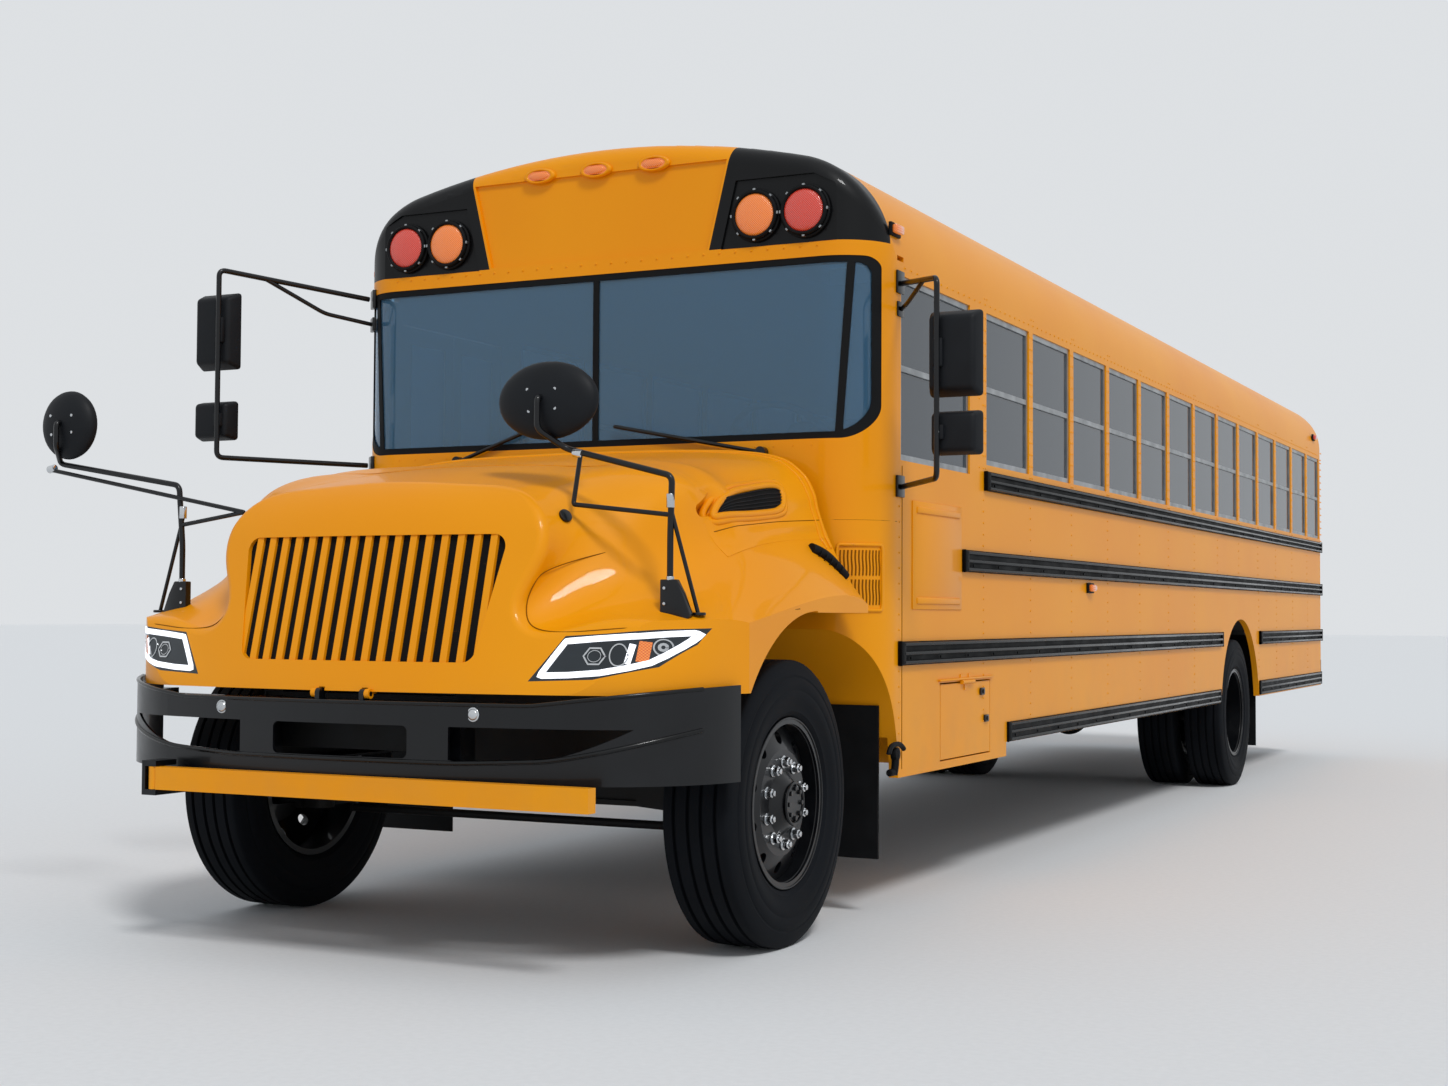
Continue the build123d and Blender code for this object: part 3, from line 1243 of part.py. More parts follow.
# Roof hatch lids: shallow domes that sit over the curbs
LID_GAP = 6.0
LID_SKIRT = 28.0
LID_CROWN = 14.0
LID_TAPER = 60.0

for word, hatch_y in zip(("front", "rear"), ROOF_HATCHES):
    with BuildPart() as lid:
        half = HATCH_SIZE / 2 + HATCH_CURB
        block(-half, half, hatch_y - half, hatch_y + half, HATCH_CURB_TOP_Z + LID_GAP, HATCH_CURB_TOP_Z + LID_SKIRT)
        with BuildSketch(Plane.XY.offset(HATCH_CURB_TOP_Z + LID_SKIRT)):
            with Locations((0, hatch_y)):
                Rectangle(2 * half, 2 * half)
        extrude(amount=LID_CROWN, taper=LID_TAPER)
        hinge_half((0, hatch_y - half - KNUCKLE_R, HATCH_CURB_TOP_Z), UP, FORWARD, False)
    save(lid, f"roof_hatch_{word}")

# Rear wall with its emergency doorway and two windows
EXIT_HALF = 480.0
EXIT_LOW_Z = FLOOR_Z
EXIT_HIGH_Z = 2440.0
REAR_FOOT_Z = 810.0
REAR_WINDOW_IN = 590.0
REAR_WINDOW_OUT = 1080.0
EXIT_HINGES_Z = (1250.0, 1750.0, 2250.0)
EXIT_HINGE_X = -EXIT_HALF + PANEL_GAP / 2
EXIT_HINGE_Y = BODY_END_Y + KNUCKLE_R


def rear_glazing():
    """The two fixed rear windows as (low x, high x)."""
    return ((REAR_WINDOW_IN, REAR_WINDOW_OUT), (-REAR_WINDOW_OUT, -REAR_WINDOW_IN))


def rear_solid(inset):
    """Closed end of the body behind the side walls, set in from the skin."""
    with BuildPart(mode=Mode.PRIVATE) as end:
        with BuildSketch(from_front(SIDE_REAR_Y)):
            roof_outline(inset, REAR_FOOT_Z)
        extrude(amount=-2 * REAR_CORNER_R)
        with BuildSketch(Plane.XY.offset(SKIRT_Z)):
            end_plan(inset, BODY_END_Y, SIDE_REAR_Y - REAR_CORNER_R, REAR_CORNER_R)
        extrude(amount=ROOF_TOP_Z, mode=Mode.INTERSECT)
    return end.part


with BuildPart() as rear_wall:
    add(rear_solid(0))
    add(rear_solid(WALL), mode=Mode.SUBTRACT)
    with BuildSketch(from_front(SIDE_REAR_Y)):
        span(-EXIT_HALF, EXIT_HALF, EXIT_LOW_Z, EXIT_HIGH_Z)
        for low, high in rear_glazing():
            span(low, high, BAY_LOW_Z, BAY_HIGH_Z)
    extrude(amount=-REAR_CORNER_R, mode=Mode.SUBTRACT)
    for hinge_z in EXIT_HINGES_Z:
        hinge_half((EXIT_HINGE_X, EXIT_HINGE_Y, hinge_z), RIGHT, BACK, True)
save(rear_wall, "rear_wall")

# Emergency door, hinged at the bus's right, with its window
DOOR_THICKNESS = 34.0
DOOR_WINDOW_INSET = 110.0
DOOR_GLASS_THICKNESS = 6.0
EXIT_SILL_Z = 1750.0
EXIT_LOW_WINDOW = (1180.0, 1640.0)
exit_windows = ((EXIT_SILL_Z, EXIT_HIGH_Z - DOOR_WINDOW_INSET), EXIT_LOW_WINDOW)

with BuildPart() as emergency_door:
    with BuildSketch(from_front(BODY_END_Y)):
        span(
            -EXIT_HALF + PANEL_GAP, EXIT_HALF - PANEL_GAP, EXIT_LOW_Z + PANEL_GAP, EXIT_HIGH_Z - PANEL_GAP
        )
        for low, high in exit_windows:
            span(-EXIT_HALF + DOOR_WINDOW_INSET, EXIT_HALF - DOOR_WINDOW_INSET, low, high, mode=Mode.SUBTRACT)
    extrude(amount=DOOR_THICKNESS)
    for hinge_z in EXIT_HINGES_Z:
        hinge_half((EXIT_HINGE_X, EXIT_HINGE_Y, hinge_z), LEFT, BACK, False)
save(emergency_door, "emergency_door")

with BuildPart() as emergency_door_glass:
    with BuildSketch(from_front(BODY_END_Y - DOOR_THICKNESS / 2)):
        for low, high in exit_windows:
            span(-EXIT_HALF + DOOR_WINDOW_INSET, EXIT_HALF - DOOR_WINDOW_INSET, low, high)
    extrude(amount=DOOR_GLASS_THICKNESS)
save(emergency_door_glass, "emergency_door_glass")

with BuildPart() as rear_glass:
    with BuildSketch(from_front(BODY_END_Y - WALL / 2)):
        for low, high in rear_glazing():
            span(low, high, BAY_LOW_Z, BAY_HIGH_Z)
    extrude(amount=DOOR_GLASS_THICKNESS)
save(rear_glass, "rear_glass")

# Entrance door: two leaves that swing outwards
LEAF_FOOT_Z = 430.0
LEAF_FRAME = 60.0
LEAF_WINDOWS = ((560.0, 1200.0), (1300.0, 2370.0))
leaf_middle = DOOR_START_Y + DOOR_WIDTH / 2
leaves = (
    ("front", DOOR_START_Y + PANEL_GAP, leaf_middle - PANEL_GAP / 2, FRONT_LEAF_HINGE_Y, BACK),
    ("rear", leaf_middle + PANEL_GAP / 2, DOOR_START_Y + DOOR_WIDTH - PANEL_GAP, REAR_LEAF_HINGE_Y, FORWARD),
)
for word, start, end, hinge_y, over in leaves:
    with BuildPart() as leaf:
        with BuildSketch(from_left(-BODY_HALF)):
            span(start, end, LEAF_FOOT_Z, DOOR_TOP_Z - PANEL_GAP)
            for low, high in LEAF_WINDOWS:
                span(start + LEAF_FRAME, end - LEAF_FRAME, low, high, mode=Mode.SUBTRACT)
        extrude(amount=DOOR_THICKNESS)
        for hinge_z in DOOR_HINGES_Z:
            hinge_half((DOOR_HINGE_X, hinge_y, hinge_z), over, RIGHT, False)
    save(leaf, f"entrance_leaf_{word}")
    with BuildPart() as pane:
        with BuildSketch(from_left(-BODY_HALF + DOOR_THICKNESS / 2)):
            for low, high in LEAF_WINDOWS:
                span(start + LEAF_FRAME, end - LEAF_FRAME, low, high)
        extrude(amount=DOOR_GLASS_THICKNESS)
    save(pane, f"entrance_glass_{word}")

# Locker door low on the left side, hinged at its top
with BuildPart() as locker_door:
    with BuildSketch(from_left(BODY_HALF)):
        span(
            HATCH_START_Y + PANEL_GAP,
            HATCH_START_Y + HATCH_LENGTH - PANEL_GAP,
            HATCH_LOW_Z + PANEL_GAP,
            HATCH_HIGH_Z - PANEL_GAP,
        )
    extrude(amount=-DOOR_THICKNESS / 2)
    hinge_half(LOCKER_HINGE, DOWN, LEFT, False)
save(locker_door, "locker_door")

# Floor on cross sills, with wheelhouses and the entrance steps
SILLS = (1900.0, 3050.0, 4200.0, 5350.0, 6500.0, 8300.0, 9300.0, 10300.0)
SILL_WIDTH = 60.0
HOUSE_WALL = 14.0
HOUSE_IN_X = 560.0
HOUSE_R = REAR_ARCH_R + 20.0
STEPS = 3
TREAD = 187.0
STEP_WALL = 14.0
STEP_RISE = (FLOOR_Z - DOOR_FOOT_Z) / STEPS
CABIN_HALF = BODY_HALF - WALL
CABIN_FRONT_Y = FACE_Y + WALL
step_out_x = -(BODY_HALF - WALL)
step_in_x = step_out_x + STEPS * TREAD + STEP_WALL
step_front_y = DOOR_START_Y - STEP_WALL
step_rear_y = DOOR_START_Y + DOOR_WIDTH + STEP_WALL
house_half_y = sqrt((HOUSE_R - HOUSE_WALL) ** 2 - (FLOOR_Z - TYRE_R) ** 2)
house_front_y = REAR_AXLE_Y - house_half_y
house_rear_y = REAR_AXLE_Y + house_half_y
floor_end_half = BODY_HALF - REAR_CORNER_R
floor_front_half = LINER_IN_X - PANEL_GAP

with BuildPart() as cabin_floor:
    low_z = FLOOR_Z - FLOOR_THICKNESS
    block(-CABIN_HALF, CABIN_HALF, SIDE_FRONT_Y, SIDE_REAR_Y, low_z, FLOOR_Z)
    block(-floor_end_half, floor_end_half, SIDE_REAR_Y, BODY_END_Y - WALL, low_z, FLOOR_Z)
    block(-floor_front_half, floor_front_half, CABIN_FRONT_Y, SIDE_FRONT_Y, low_z, FLOOR_Z)
    for behind in SILLS:
        middle = FRONT_AXLE_Y + behind
        block(-CABIN_HALF, CABIN_HALF, middle - SILL_WIDTH / 2, middle + SILL_WIDTH / 2, RAIL_TOP_Z, low_z)
    for side in (-1, 1):
        hole = (side * (HOUSE_IN_X + HOUSE_WALL), side * CABIN_HALF)
        block(min(hole), max(hole), house_front_y, house_rear_y, low_z, FLOOR_Z, mode=Mode.SUBTRACT)
    block(step_out_x, step_in_x, step_front_y, step_rear_y, DOOR_FOOT_Z, FLOOR_Z, mode=Mode.SUBTRACT)
save(cabin_floor, "cabin_floor")

# Wheel houses: arched covers that stand on the floor over the rear wheels
with BuildPart() as wheel_houses:
    for side in (-1, 1):
        for inset, mode in ((0.0, Mode.ADD), (HOUSE_WALL, Mode.SUBTRACT)):
            cover = (side * (HOUSE_IN_X + inset), side * CABIN_HALF)
            radius = HOUSE_R - inset
            with BuildSketch(from_left(min(cover))) as arch:
                with Locations((REAR_AXLE_Y, TYRE_R)):
                    Circle(radius)
                span(REAR_AXLE_Y - radius, REAR_AXLE_Y + radius, TYRE_R - radius, FLOOR_Z, mode=Mode.SUBTRACT)
            extrude(arch.sketch, amount=abs(cover[1] - cover[0]), mode=mode)
save(wheel_houses, "wheel_houses")

# Entrance steps: three treads with their risers, between two side walls
with BuildPart() as entrance_steps:
    for start in (step_front_y, step_rear_y - STEP_WALL):
        block(step_out_x, step_in_x, start, start + STEP_WALL, DOOR_FOOT_Z, FLOOR_Z)
    for place in range(STEPS):
        tread_x = step_out_x + place * TREAD
        riser_x = tread_x + TREAD
        tread_z = DOOR_FOOT_Z + place * STEP_RISE
        block(tread_x, riser_x, step_front_y, step_rear_y, tread_z, tread_z + STEP_WALL)
        block(riser_x, riser_x + STEP_WALL, step_front_y, step_rear_y, tread_z, tread_z + STEP_RISE)
save(entrance_steps, "entrance_steps")

# Seats: rows of benches on each side of the aisle, and the driver's seat
SEAT_ROWS = 12
SEAT_FIRST_Y = FRONT_AXLE_Y + 2200.0
SEAT_PITCH = 690.0
SEAT_IN_X = 190.0
SEAT_OUT_X = 1150.0
SEAT_HEIGHT = 430.0
SEAT_BACK_HEIGHT = 960.0
SEAT_LENGTH = 400.0
CUSHION = 110.0
BACK_THICKNESS = 80.0
SEAT_LEG = 40.0


def bench_outline(front_y, top):
    """Side view of one bench: legs, cushion and leaning back."""
    with BuildLine() as edge:
        Polyline(
            (front_y + SEAT_LEG, FLOOR_Z),
            (front_y + 2 * SEAT_LEG, FLOOR_Z),
            (front_y + 2 * SEAT_LEG, FLOOR_Z + SEAT_HEIGHT - CUSHION),
            (front_y + SEAT_LENGTH - SEAT_LEG, FLOOR_Z + SEAT_HEIGHT - CUSHION),
            (front_y + SEAT_LENGTH - SEAT_LEG, FLOOR_Z),
            (front_y + SEAT_LENGTH, FLOOR_Z),
            (front_y + SEAT_LENGTH + BACK_THICKNESS, FLOOR_Z + top),
            (front_y + SEAT_LENGTH, FLOOR_Z + top),
            (front_y + SEAT_LENGTH - BACK_THICKNESS, FLOOR_Z + SEAT_HEIGHT),
            (front_y, FLOOR_Z + SEAT_HEIGHT),
            (front_y, FLOOR_Z + SEAT_HEIGHT - CUSHION),
            (front_y + SEAT_LEG, FLOOR_Z + SEAT_HEIGHT - CUSHION),
            close=True,
        )
    make_face(edge.line)


with BuildPart() as passenger_seats:
    for side in (-1, 1):
        near = min(side * SEAT_IN_X, side * SEAT_OUT_X)
        with BuildSketch(from_left(near)):
            for row in range(SEAT_ROWS):
                front_y = SEAT_FIRST_Y + row * SEAT_PITCH
                bench_outline(front_y, SEAT_BACK_HEIGHT)
        extrude(amount=SEAT_OUT_X - SEAT_IN_X)
    for side in (-1, 1):
        edge = (side * (HOUSE_IN_X - PANEL_GAP / 10), side * CABIN_HALF)
        with BuildSketch(from_left(min(edge))):
            with Locations((REAR_AXLE_Y, TYRE_R)):
                Circle(HOUSE_R + PANEL_GAP / 10)
        extrude(amount=abs(edge[1] - edge[0]), mode=Mode.SUBTRACT)
save(passenger_seats, "passenger_seats")

DRIVER_X = 620.0
DRIVER_SEAT_Y = FRONT_AXLE_Y + 1250.0
DRIVER_SEAT_HALF = 250.0

with BuildPart() as driver_seat:
    with BuildSketch(from_left(DRIVER_X - DRIVER_SEAT_HALF)):
        bench_outline(DRIVER_SEAT_Y, SEAT_BACK_HEIGHT)
    extrude(amount=2 * DRIVER_SEAT_HALF)
save(driver_seat, "driver_seat")

# Dashboard, steering column and wheel
DASH_DEPTH = 260.0
DASH_LOW_Z = 1350.0
DASH_TOP_Z = 1790.0
DASH_HALF = 1000.0
COLUMN_LENGTH = 230.0
STEERING_Y = CABIN_FRONT_Y + DASH_DEPTH + 190.0
STEERING_Z = 1840.0
STEERING_R = 225.0
STEERING_GRIP_R = 15.0
COLUMN_R = 32.0
COLUMN_TILT = 50.0
STEERING_SPOKES = 3

with BuildPart() as dashboard:
    with BuildSketch(from_left(-DASH_HALF)):
        with BuildLine():
            Polyline(
                (CABIN_FRONT_Y, DASH_LOW_Z),
                (CABIN_FRONT_Y, DASH_TOP_Z),
                (CABIN_FRONT_Y + DASH_DEPTH - 60.0, DASH_TOP_Z),
                (CABIN_FRONT_Y + DASH_DEPTH, DASH_TOP_Z - 60.0),
                (CABIN_FRONT_Y + DASH_DEPTH - 80.0, DASH_LOW_Z),
                close=True,
            )
        make_face()
    extrude(amount=2 * DASH_HALF)
    with BuildSketch(Plane.XY.offset(DASH_LOW_Z)):
        end_plan(WALL, FACE_Y, CAP_BACK_Y + DASH_DEPTH, FRONT_CORNER_R)
    extrude(amount=DASH_TOP_Z - DASH_LOW_Z, mode=Mode.INTERSECT)
save(dashboard, "dashboard")

steering_plane = Plane(
    origin=(DRIVER_X, STEERING_Y, STEERING_Z),
    x_dir=(1, 0, 0),
    z_dir=(0, sin(radians(COLUMN_TILT)), cos(radians(COLUMN_TILT))),
)
with BuildPart() as steering_wheel:
    with BuildSketch(Plane(origin=steering_plane.origin, x_dir=steering_plane.x_dir, z_dir=-steering_plane.y_dir)):
        with Locations((STEERING_R, 0)):
            Circle(STEERING_GRIP_R)
    revolve(axis=Axis(steering_plane.origin, steering_plane.z_dir))
    with BuildSketch(steering_plane.offset(-STEERING_GRIP_R / 2)):
        Circle(3 * COLUMN_R / 2)
        with PolarLocations(STEERING_R / 2, STEERING_SPOKES, start_angle=90):
            Rectangle(STEERING_R, STEERING_GRIP_R * 2)
    extrude(amount=STEERING_GRIP_R)
    rod(steering_plane.origin, steering_plane.origin - steering_plane.z_dir * COLUMN_LENGTH, COLUMN_R)
    add(dashboard.part, mode=Mode.SUBTRACT)
save(steering_wheel, "steering_wheel")

# Rear bumper: a skin that wraps the corners, on two brackets from the rails
REAR_BUMPER_LOW_Z = 600.0
REAR_BUMPER_TOP_Z = 800.0
REAR_BUMPER_WALL = 12.0
REAR_BUMPER_CORNER_R = 160.0
REAR_BUMPER_LIP = 20.0
REAR_BRACKET_DEPTH = 130.0

with BuildPart() as rear_bumper:
    with BuildSketch(Plane.XY.offset(REAR_BUMPER_LOW_Z)):
        end_plan(0, REAR_FACE_Y, SIDE_REAR_Y + PANEL_GAP, REAR_BUMPER_CORNER_R)
    extrude(amount=REAR_BUMPER_TOP_Z - REAR_BUMPER_LOW_Z)
    with BuildSketch(Plane.XY.offset(REAR_BUMPER_LOW_Z)):
        end_plan(REAR_BUMPER_WALL, REAR_FACE_Y, SIDE_REAR_Y + PANEL_GAP, REAR_BUMPER_CORNER_R)
    extrude(amount=REAR_BUMPER_TOP_Z - REAR_BUMPER_LIP - REAR_BUMPER_LOW_Z, mode=Mode.SUBTRACT)
    for side in (-1, 1):
        middle_x = side * (RAIL_OUTER_X - RAIL_FLANGE / 2)
        block(
            middle_x - RAIL_FLANGE / 2,
            middle_x + RAIL_FLANGE / 2,
            RAIL_REAR_Y,
            REAR_FACE_Y - REAR_BUMPER_WALL / 2,
            REAR_BUMPER_TOP_Z - REAR_BRACKET_DEPTH,
            REAR_BUMPER_TOP_Z - REAR_BUMPER_LIP / 2,
        )
save(rear_bumper, "rear_bumper")

# Mud flaps behind the front and the rear wheels
FLAP_THICKNESS = 12.0
FRONT_FLAP_BACK = 780.0
FRONT_FLAP_TOP_Z = TYRE_R + sqrt(CHEEK_ARCH_R**2 - (FRONT_FLAP_BACK + FLAP_THICKNESS) ** 2)
FRONT_FLAP = (800.0, 1163.0, FRONT_FLAP_BACK, 220.0, FRONT_FLAP_TOP_Z)
REAR_FLAP = (600.0, 1190.0, WHEELBASE + 700.0, 230.0, FLOOR_Z - FLOOR_THICKNESS)

with BuildPart() as mud_flaps:
    for side in (-1, 1):
        for near, far, behind, low, high in (FRONT_FLAP, REAR_FLAP):
            edge = (side * near, side * min(far, CABIN_HALF))
            flap_y = FRONT_AXLE_Y + behind
            block(min(edge), max(edge), flap_y, flap_y + FLAP_THICKNESS, low, high)
save(mud_flaps, "mud_flaps")

# Hood: one moulding with the nose and both front fenders, open below and behind.
# Each station is (behind the axle, then x and z of its skin from the crown down to the fender's edge).
HOOD_STATIONS = (
    (-1080.0, (0, 1530), (350, 1515), (550, 1475), (635, 1405), (645, 1300), (612, 1190), (650, 1134), (850, 1130), (1060, 1124), (1214, 1100)),
    (-850.0, (0, 1585), (370, 1568), (580, 1520), (650, 1435), (650, 1320), (618, 1200), (660, 1144), (860, 1136), (1070, 1128), (1214, 1100)),
    (-600.0, (0, 1640), (400, 1620), (630, 1570), (755, 1480), (806, 1385), (850, 1300), (915, 1245), (1010, 1208), (1120, 1168), (1214, 1115)),
    (-100.0, (0, 1712), (480, 1700), (750, 1660), (880, 1590), (935, 1520), (965, 1465), (1005, 1420), (1065, 1365), (1140, 1290), (1214, 1188)),
    (550.0, (0, 1800), (540, 1790), (830, 1762), (945, 1700), (995, 1620), (1010, 1560), (1030, 1500), (1070, 1410), (1130, 1300), (1214, 1195)),
)
HOOD_WALL = 22.0
HOOD_FOOT_Z = 900.0
HOOD_BACK_Y = FRONT_AXLE_Y + 550.0
HOOD_SETBACK = 28.0  # hood's skin inside the bumper's
HOOD_TURN = 72.0
HOOD_FLARE_X = 1214.0
NOSE_PROFILE = (
    (HOOD_SETBACK - BUMPER_FRONT, 900.0),
    (-1008.0, 995.0),
    (-903.0, 1420.0),
    (-870.0, 1505.0),
    (-820.0, 1570.0),
    (-740.0, 1625.0),
    (-560.0, 1680.0),
)
FENDER_ARCH_R = 690.0
FENDER_ARCH_Y = FRONT_AXLE_Y + 80.0
FENDER_ARCH_Z = 480.0
ARCH_WALL = 14.0
ARCH_IN_X = 620.0
ARCH_BACK_Z = 1165.0


def hood_section(behind, skin, inset):
    """Closed outline across the hood at one station, set in from its skin."""
    right = [(max(x - inset, 0), z - inset) for x, z in skin]
    left = [(-x, z) for x, z in reversed(right[1:])]
    foot_z = HOOD_FOOT_Z - HOOD_WALL
    with BuildSketch(from_front(FRONT_AXLE_Y + behind)) as section:
        with BuildLine():
            Spline(*left, *right)
            Polyline(right[-1], (right[-1][0], foot_z), (left[0][0], foot_z), left[0])
        make_face()
    return section.sketch


def hood_solid(inset, foot_z, back_y):
    """Hood's outer shape as a full solid, set in from its skin."""
    with BuildPart(mode=Mode.PRIVATE) as skin:
        loft([hood_section(station[0], station[1:], inset) for station in HOOD_STATIONS])
    with BuildPart(mode=Mode.PRIVATE) as nose:
        axis_y = BUMPER_FRONT_Y + BUMPER_BOW_R
        profile = [(FRONT_AXLE_Y + behind + inset, z) for behind, z in NOSE_PROFILE]
        top_y = profile[-1][0]
        with BuildSketch(from_left(0)):
            with BuildLine():
                Line((axis_y, HOOD_FOOT_Z - HOOD_WALL), (profile[0][0], HOOD_FOOT_Z - HOOD_WALL))
                Polyline((profile[0][0], HOOD_FOOT_Z - HOOD_WALL), profile[0], profile[1], profile[2])
                Spline(*profile[2:], tangents=[(105, 425), (1, 0.25)])
                Polyline(profile[-1], (top_y, ROOF_TOP_Z), (axis_y, ROOF_TOP_Z), (axis_y, HOOD_FOOT_Z - HOOD_WALL))
            make_face()
        revolve(axis=Axis((0, axis_y, 0), (0, 0, 1)))
    with BuildPart(mode=Mode.PRIVATE) as plan:
        path = wrap_path(BUMPER_FRONT_Y, HOOD_SETBACK + inset, HOOD_TURN)
        flare_x = HOOD_FLARE_X - inset
        flare_y = path["end"][1] + (flare_x - path["end"][0]) * tan(radians(HOOD_TURN))
        side_points = (path["end"], (flare_x, flare_y), (flare_x, back_y))
        with BuildSketch(Plane.XY.offset(foot_z)):
            with BuildLine():
                ThreePointArc(mirror_x(path["join"]), path["tip"], path["join"])
                ThreePointArc(path["join"], path["bend"], path["end"])
                Polyline(*side_points, *[mirror_x(point) for point in reversed(side_points)])
                ThreePointArc(mirror_x(path["end"]), mirror_x(path["bend"]), mirror_x(path["join"]))
            make_face()
        extrude(amount=ROOF_TOP_Z)
    return skin.part & nose.part & plan.part


# Grille opening and lamp outlines, seen from the front
GRILLE_TOP_Z = 1415.0
GRILLE_LOW_Z = 998.0
GRILLE_TOP_HALF = 535.0
GRILLE_LOW_HALF = 469.0
GRILLE_CORNER_R = 45.0
LAMP_OUTLINE = (
    (670.0, 942.0), (775.0, 1086.0), (900.0, 1094.0), (1054.0, 1108.0), (1160.0, 1112.0), (1135.0, 1060.0), (1055.0, 990.0), (880.0, 950.0)
)
NOSE_Y = FRONT_AXLE_Y - FRONT_REACH
NOSE_CUT = 420.0
LAMP_DEPTH = 90.0
NOSE_CORNER_R = 38.0

# Air scoops in the hood's sides: the opening's corners as y behind the axle and z
SCOOP_OUTLINE = ((-398.0, 1482.0), (-193.0, 1576.0), (248.0, 1618.0), (249.0, 1527.0))
SCOOP_CORNER_R = 22.0
SCOOP_IN_X = 700.0

# Posts of the cross-view mirrors, which stand in bores in the fenders
CROSS_HEAD_Y = FRONT_AXLE_Y - 680.0
CROSS_TUBE_R = 9.0
CROSS_ARM_Y = CROSS_HEAD_Y - 3 * CROSS_TUBE_R
CROSS_FEET_X = (1040.0, -980.0)
CROSS_FOOT_LOW_Z = 1080.0
CROSS_FOOT_HIGH_Z = 1200.0


def grille_outline():
    """Rounded trapezoid of the grille."""
    with BuildLine() as edge:
        FilletPolyline(
            (-GRILLE_LOW_HALF, GRILLE_LOW_Z),
            (GRILLE_LOW_HALF, GRILLE_LOW_Z),
            (GRILLE_TOP_HALF, GRILLE_TOP_Z),
            (-GRILLE_TOP_HALF, GRILLE_TOP_Z),
            radius=GRILLE_CORNER_R,
            close=True,
        )
    make_face(edge.line)


with BuildPart() as lamp_prisms:
    for side in (-1, 1):
        with BuildSketch(from_front(NOSE_Y)):
            with BuildLine():
                Polyline(*[(side * x, z) for x, z in LAMP_OUTLINE], close=True)
            make_face()
        extrude(amount=-2 * NOSE_CUT)
    with BuildSketch(Plane.XY.offset(HOOD_FOOT_Z)):
        wrap_band(BUMPER_FRONT_Y, 0, LAMP_DEPTH, BUMPER_END_TURN)
    extrude(amount=ROOF_TOP_Z - HOOD_FOOT_Z, mode=Mode.INTERSECT)

with BuildPart() as arch_tool:
    for side in (-1, 1):
        edge = (side * ARCH_IN_X, side * (BODY_HALF + WALL))
        with BuildSketch(from_left(min(edge))):
            with Locations((FENDER_ARCH_Y, FENDER_ARCH_Z)):
                Circle(FENDER_ARCH_R)
            span(FENDER_ARCH_Y, HOOD_BACK_Y + WALL, HOOD_FOOT_Z - WALL, ARCH_BACK_Z)
        extrude(amount=abs(edge[1] - edge[0]))

with BuildPart() as hood_body:
    add(hood_solid(0, HOOD_FOOT_Z, HOOD_BACK_Y))
    nose_corners = []
    for edge in hood_body.edges():
        middle = edge.center()
        beside = GRILLE_TOP_HALF < abs(middle.X) < LAMP_OUTLINE[1][0]
        if beside and GRILLE_LOW_Z < middle.Z < GRILLE_TOP_Z and middle.Y < CROSS_HEAD_Y:
            nose_corners.append(edge)
    fillet(nose_corners, radius=NOSE_CORNER_R)

with BuildPart() as hood_shell:
    add(hood_body.part)
    add(hood_solid(HOOD_WALL, HOOD_FOOT_Z - HOOD_WALL, HOOD_BACK_Y + HOOD_WALL), mode=Mode.SUBTRACT)
    add(arch_tool.part, mode=Mode.SUBTRACT)

with BuildPart() as liner:
    for side in (-1, 1):
        edge = (side * ARCH_IN_X, side * BODY_HALF)
        with BuildSketch(from_left(min(edge))):
            with Locations((FENDER_ARCH_Y, FENDER_ARCH_Z)):
                Circle(FENDER_ARCH_R + ARCH_WALL)
                Circle(FENDER_ARCH_R, mode=Mode.SUBTRACT)
            span(FENDER_ARCH_Y, HOOD_BACK_Y, 0, ARCH_BACK_Z, mode=Mode.SUBTRACT)
            span(FENDER_ARCH_Y, HOOD_BACK_Y, ARCH_BACK_Z, ARCH_BACK_Z + ARCH_WALL)
        extrude(amount=abs(edge[1] - edge[0]))
    add(hood_body.part, mode=Mode.INTERSECT)

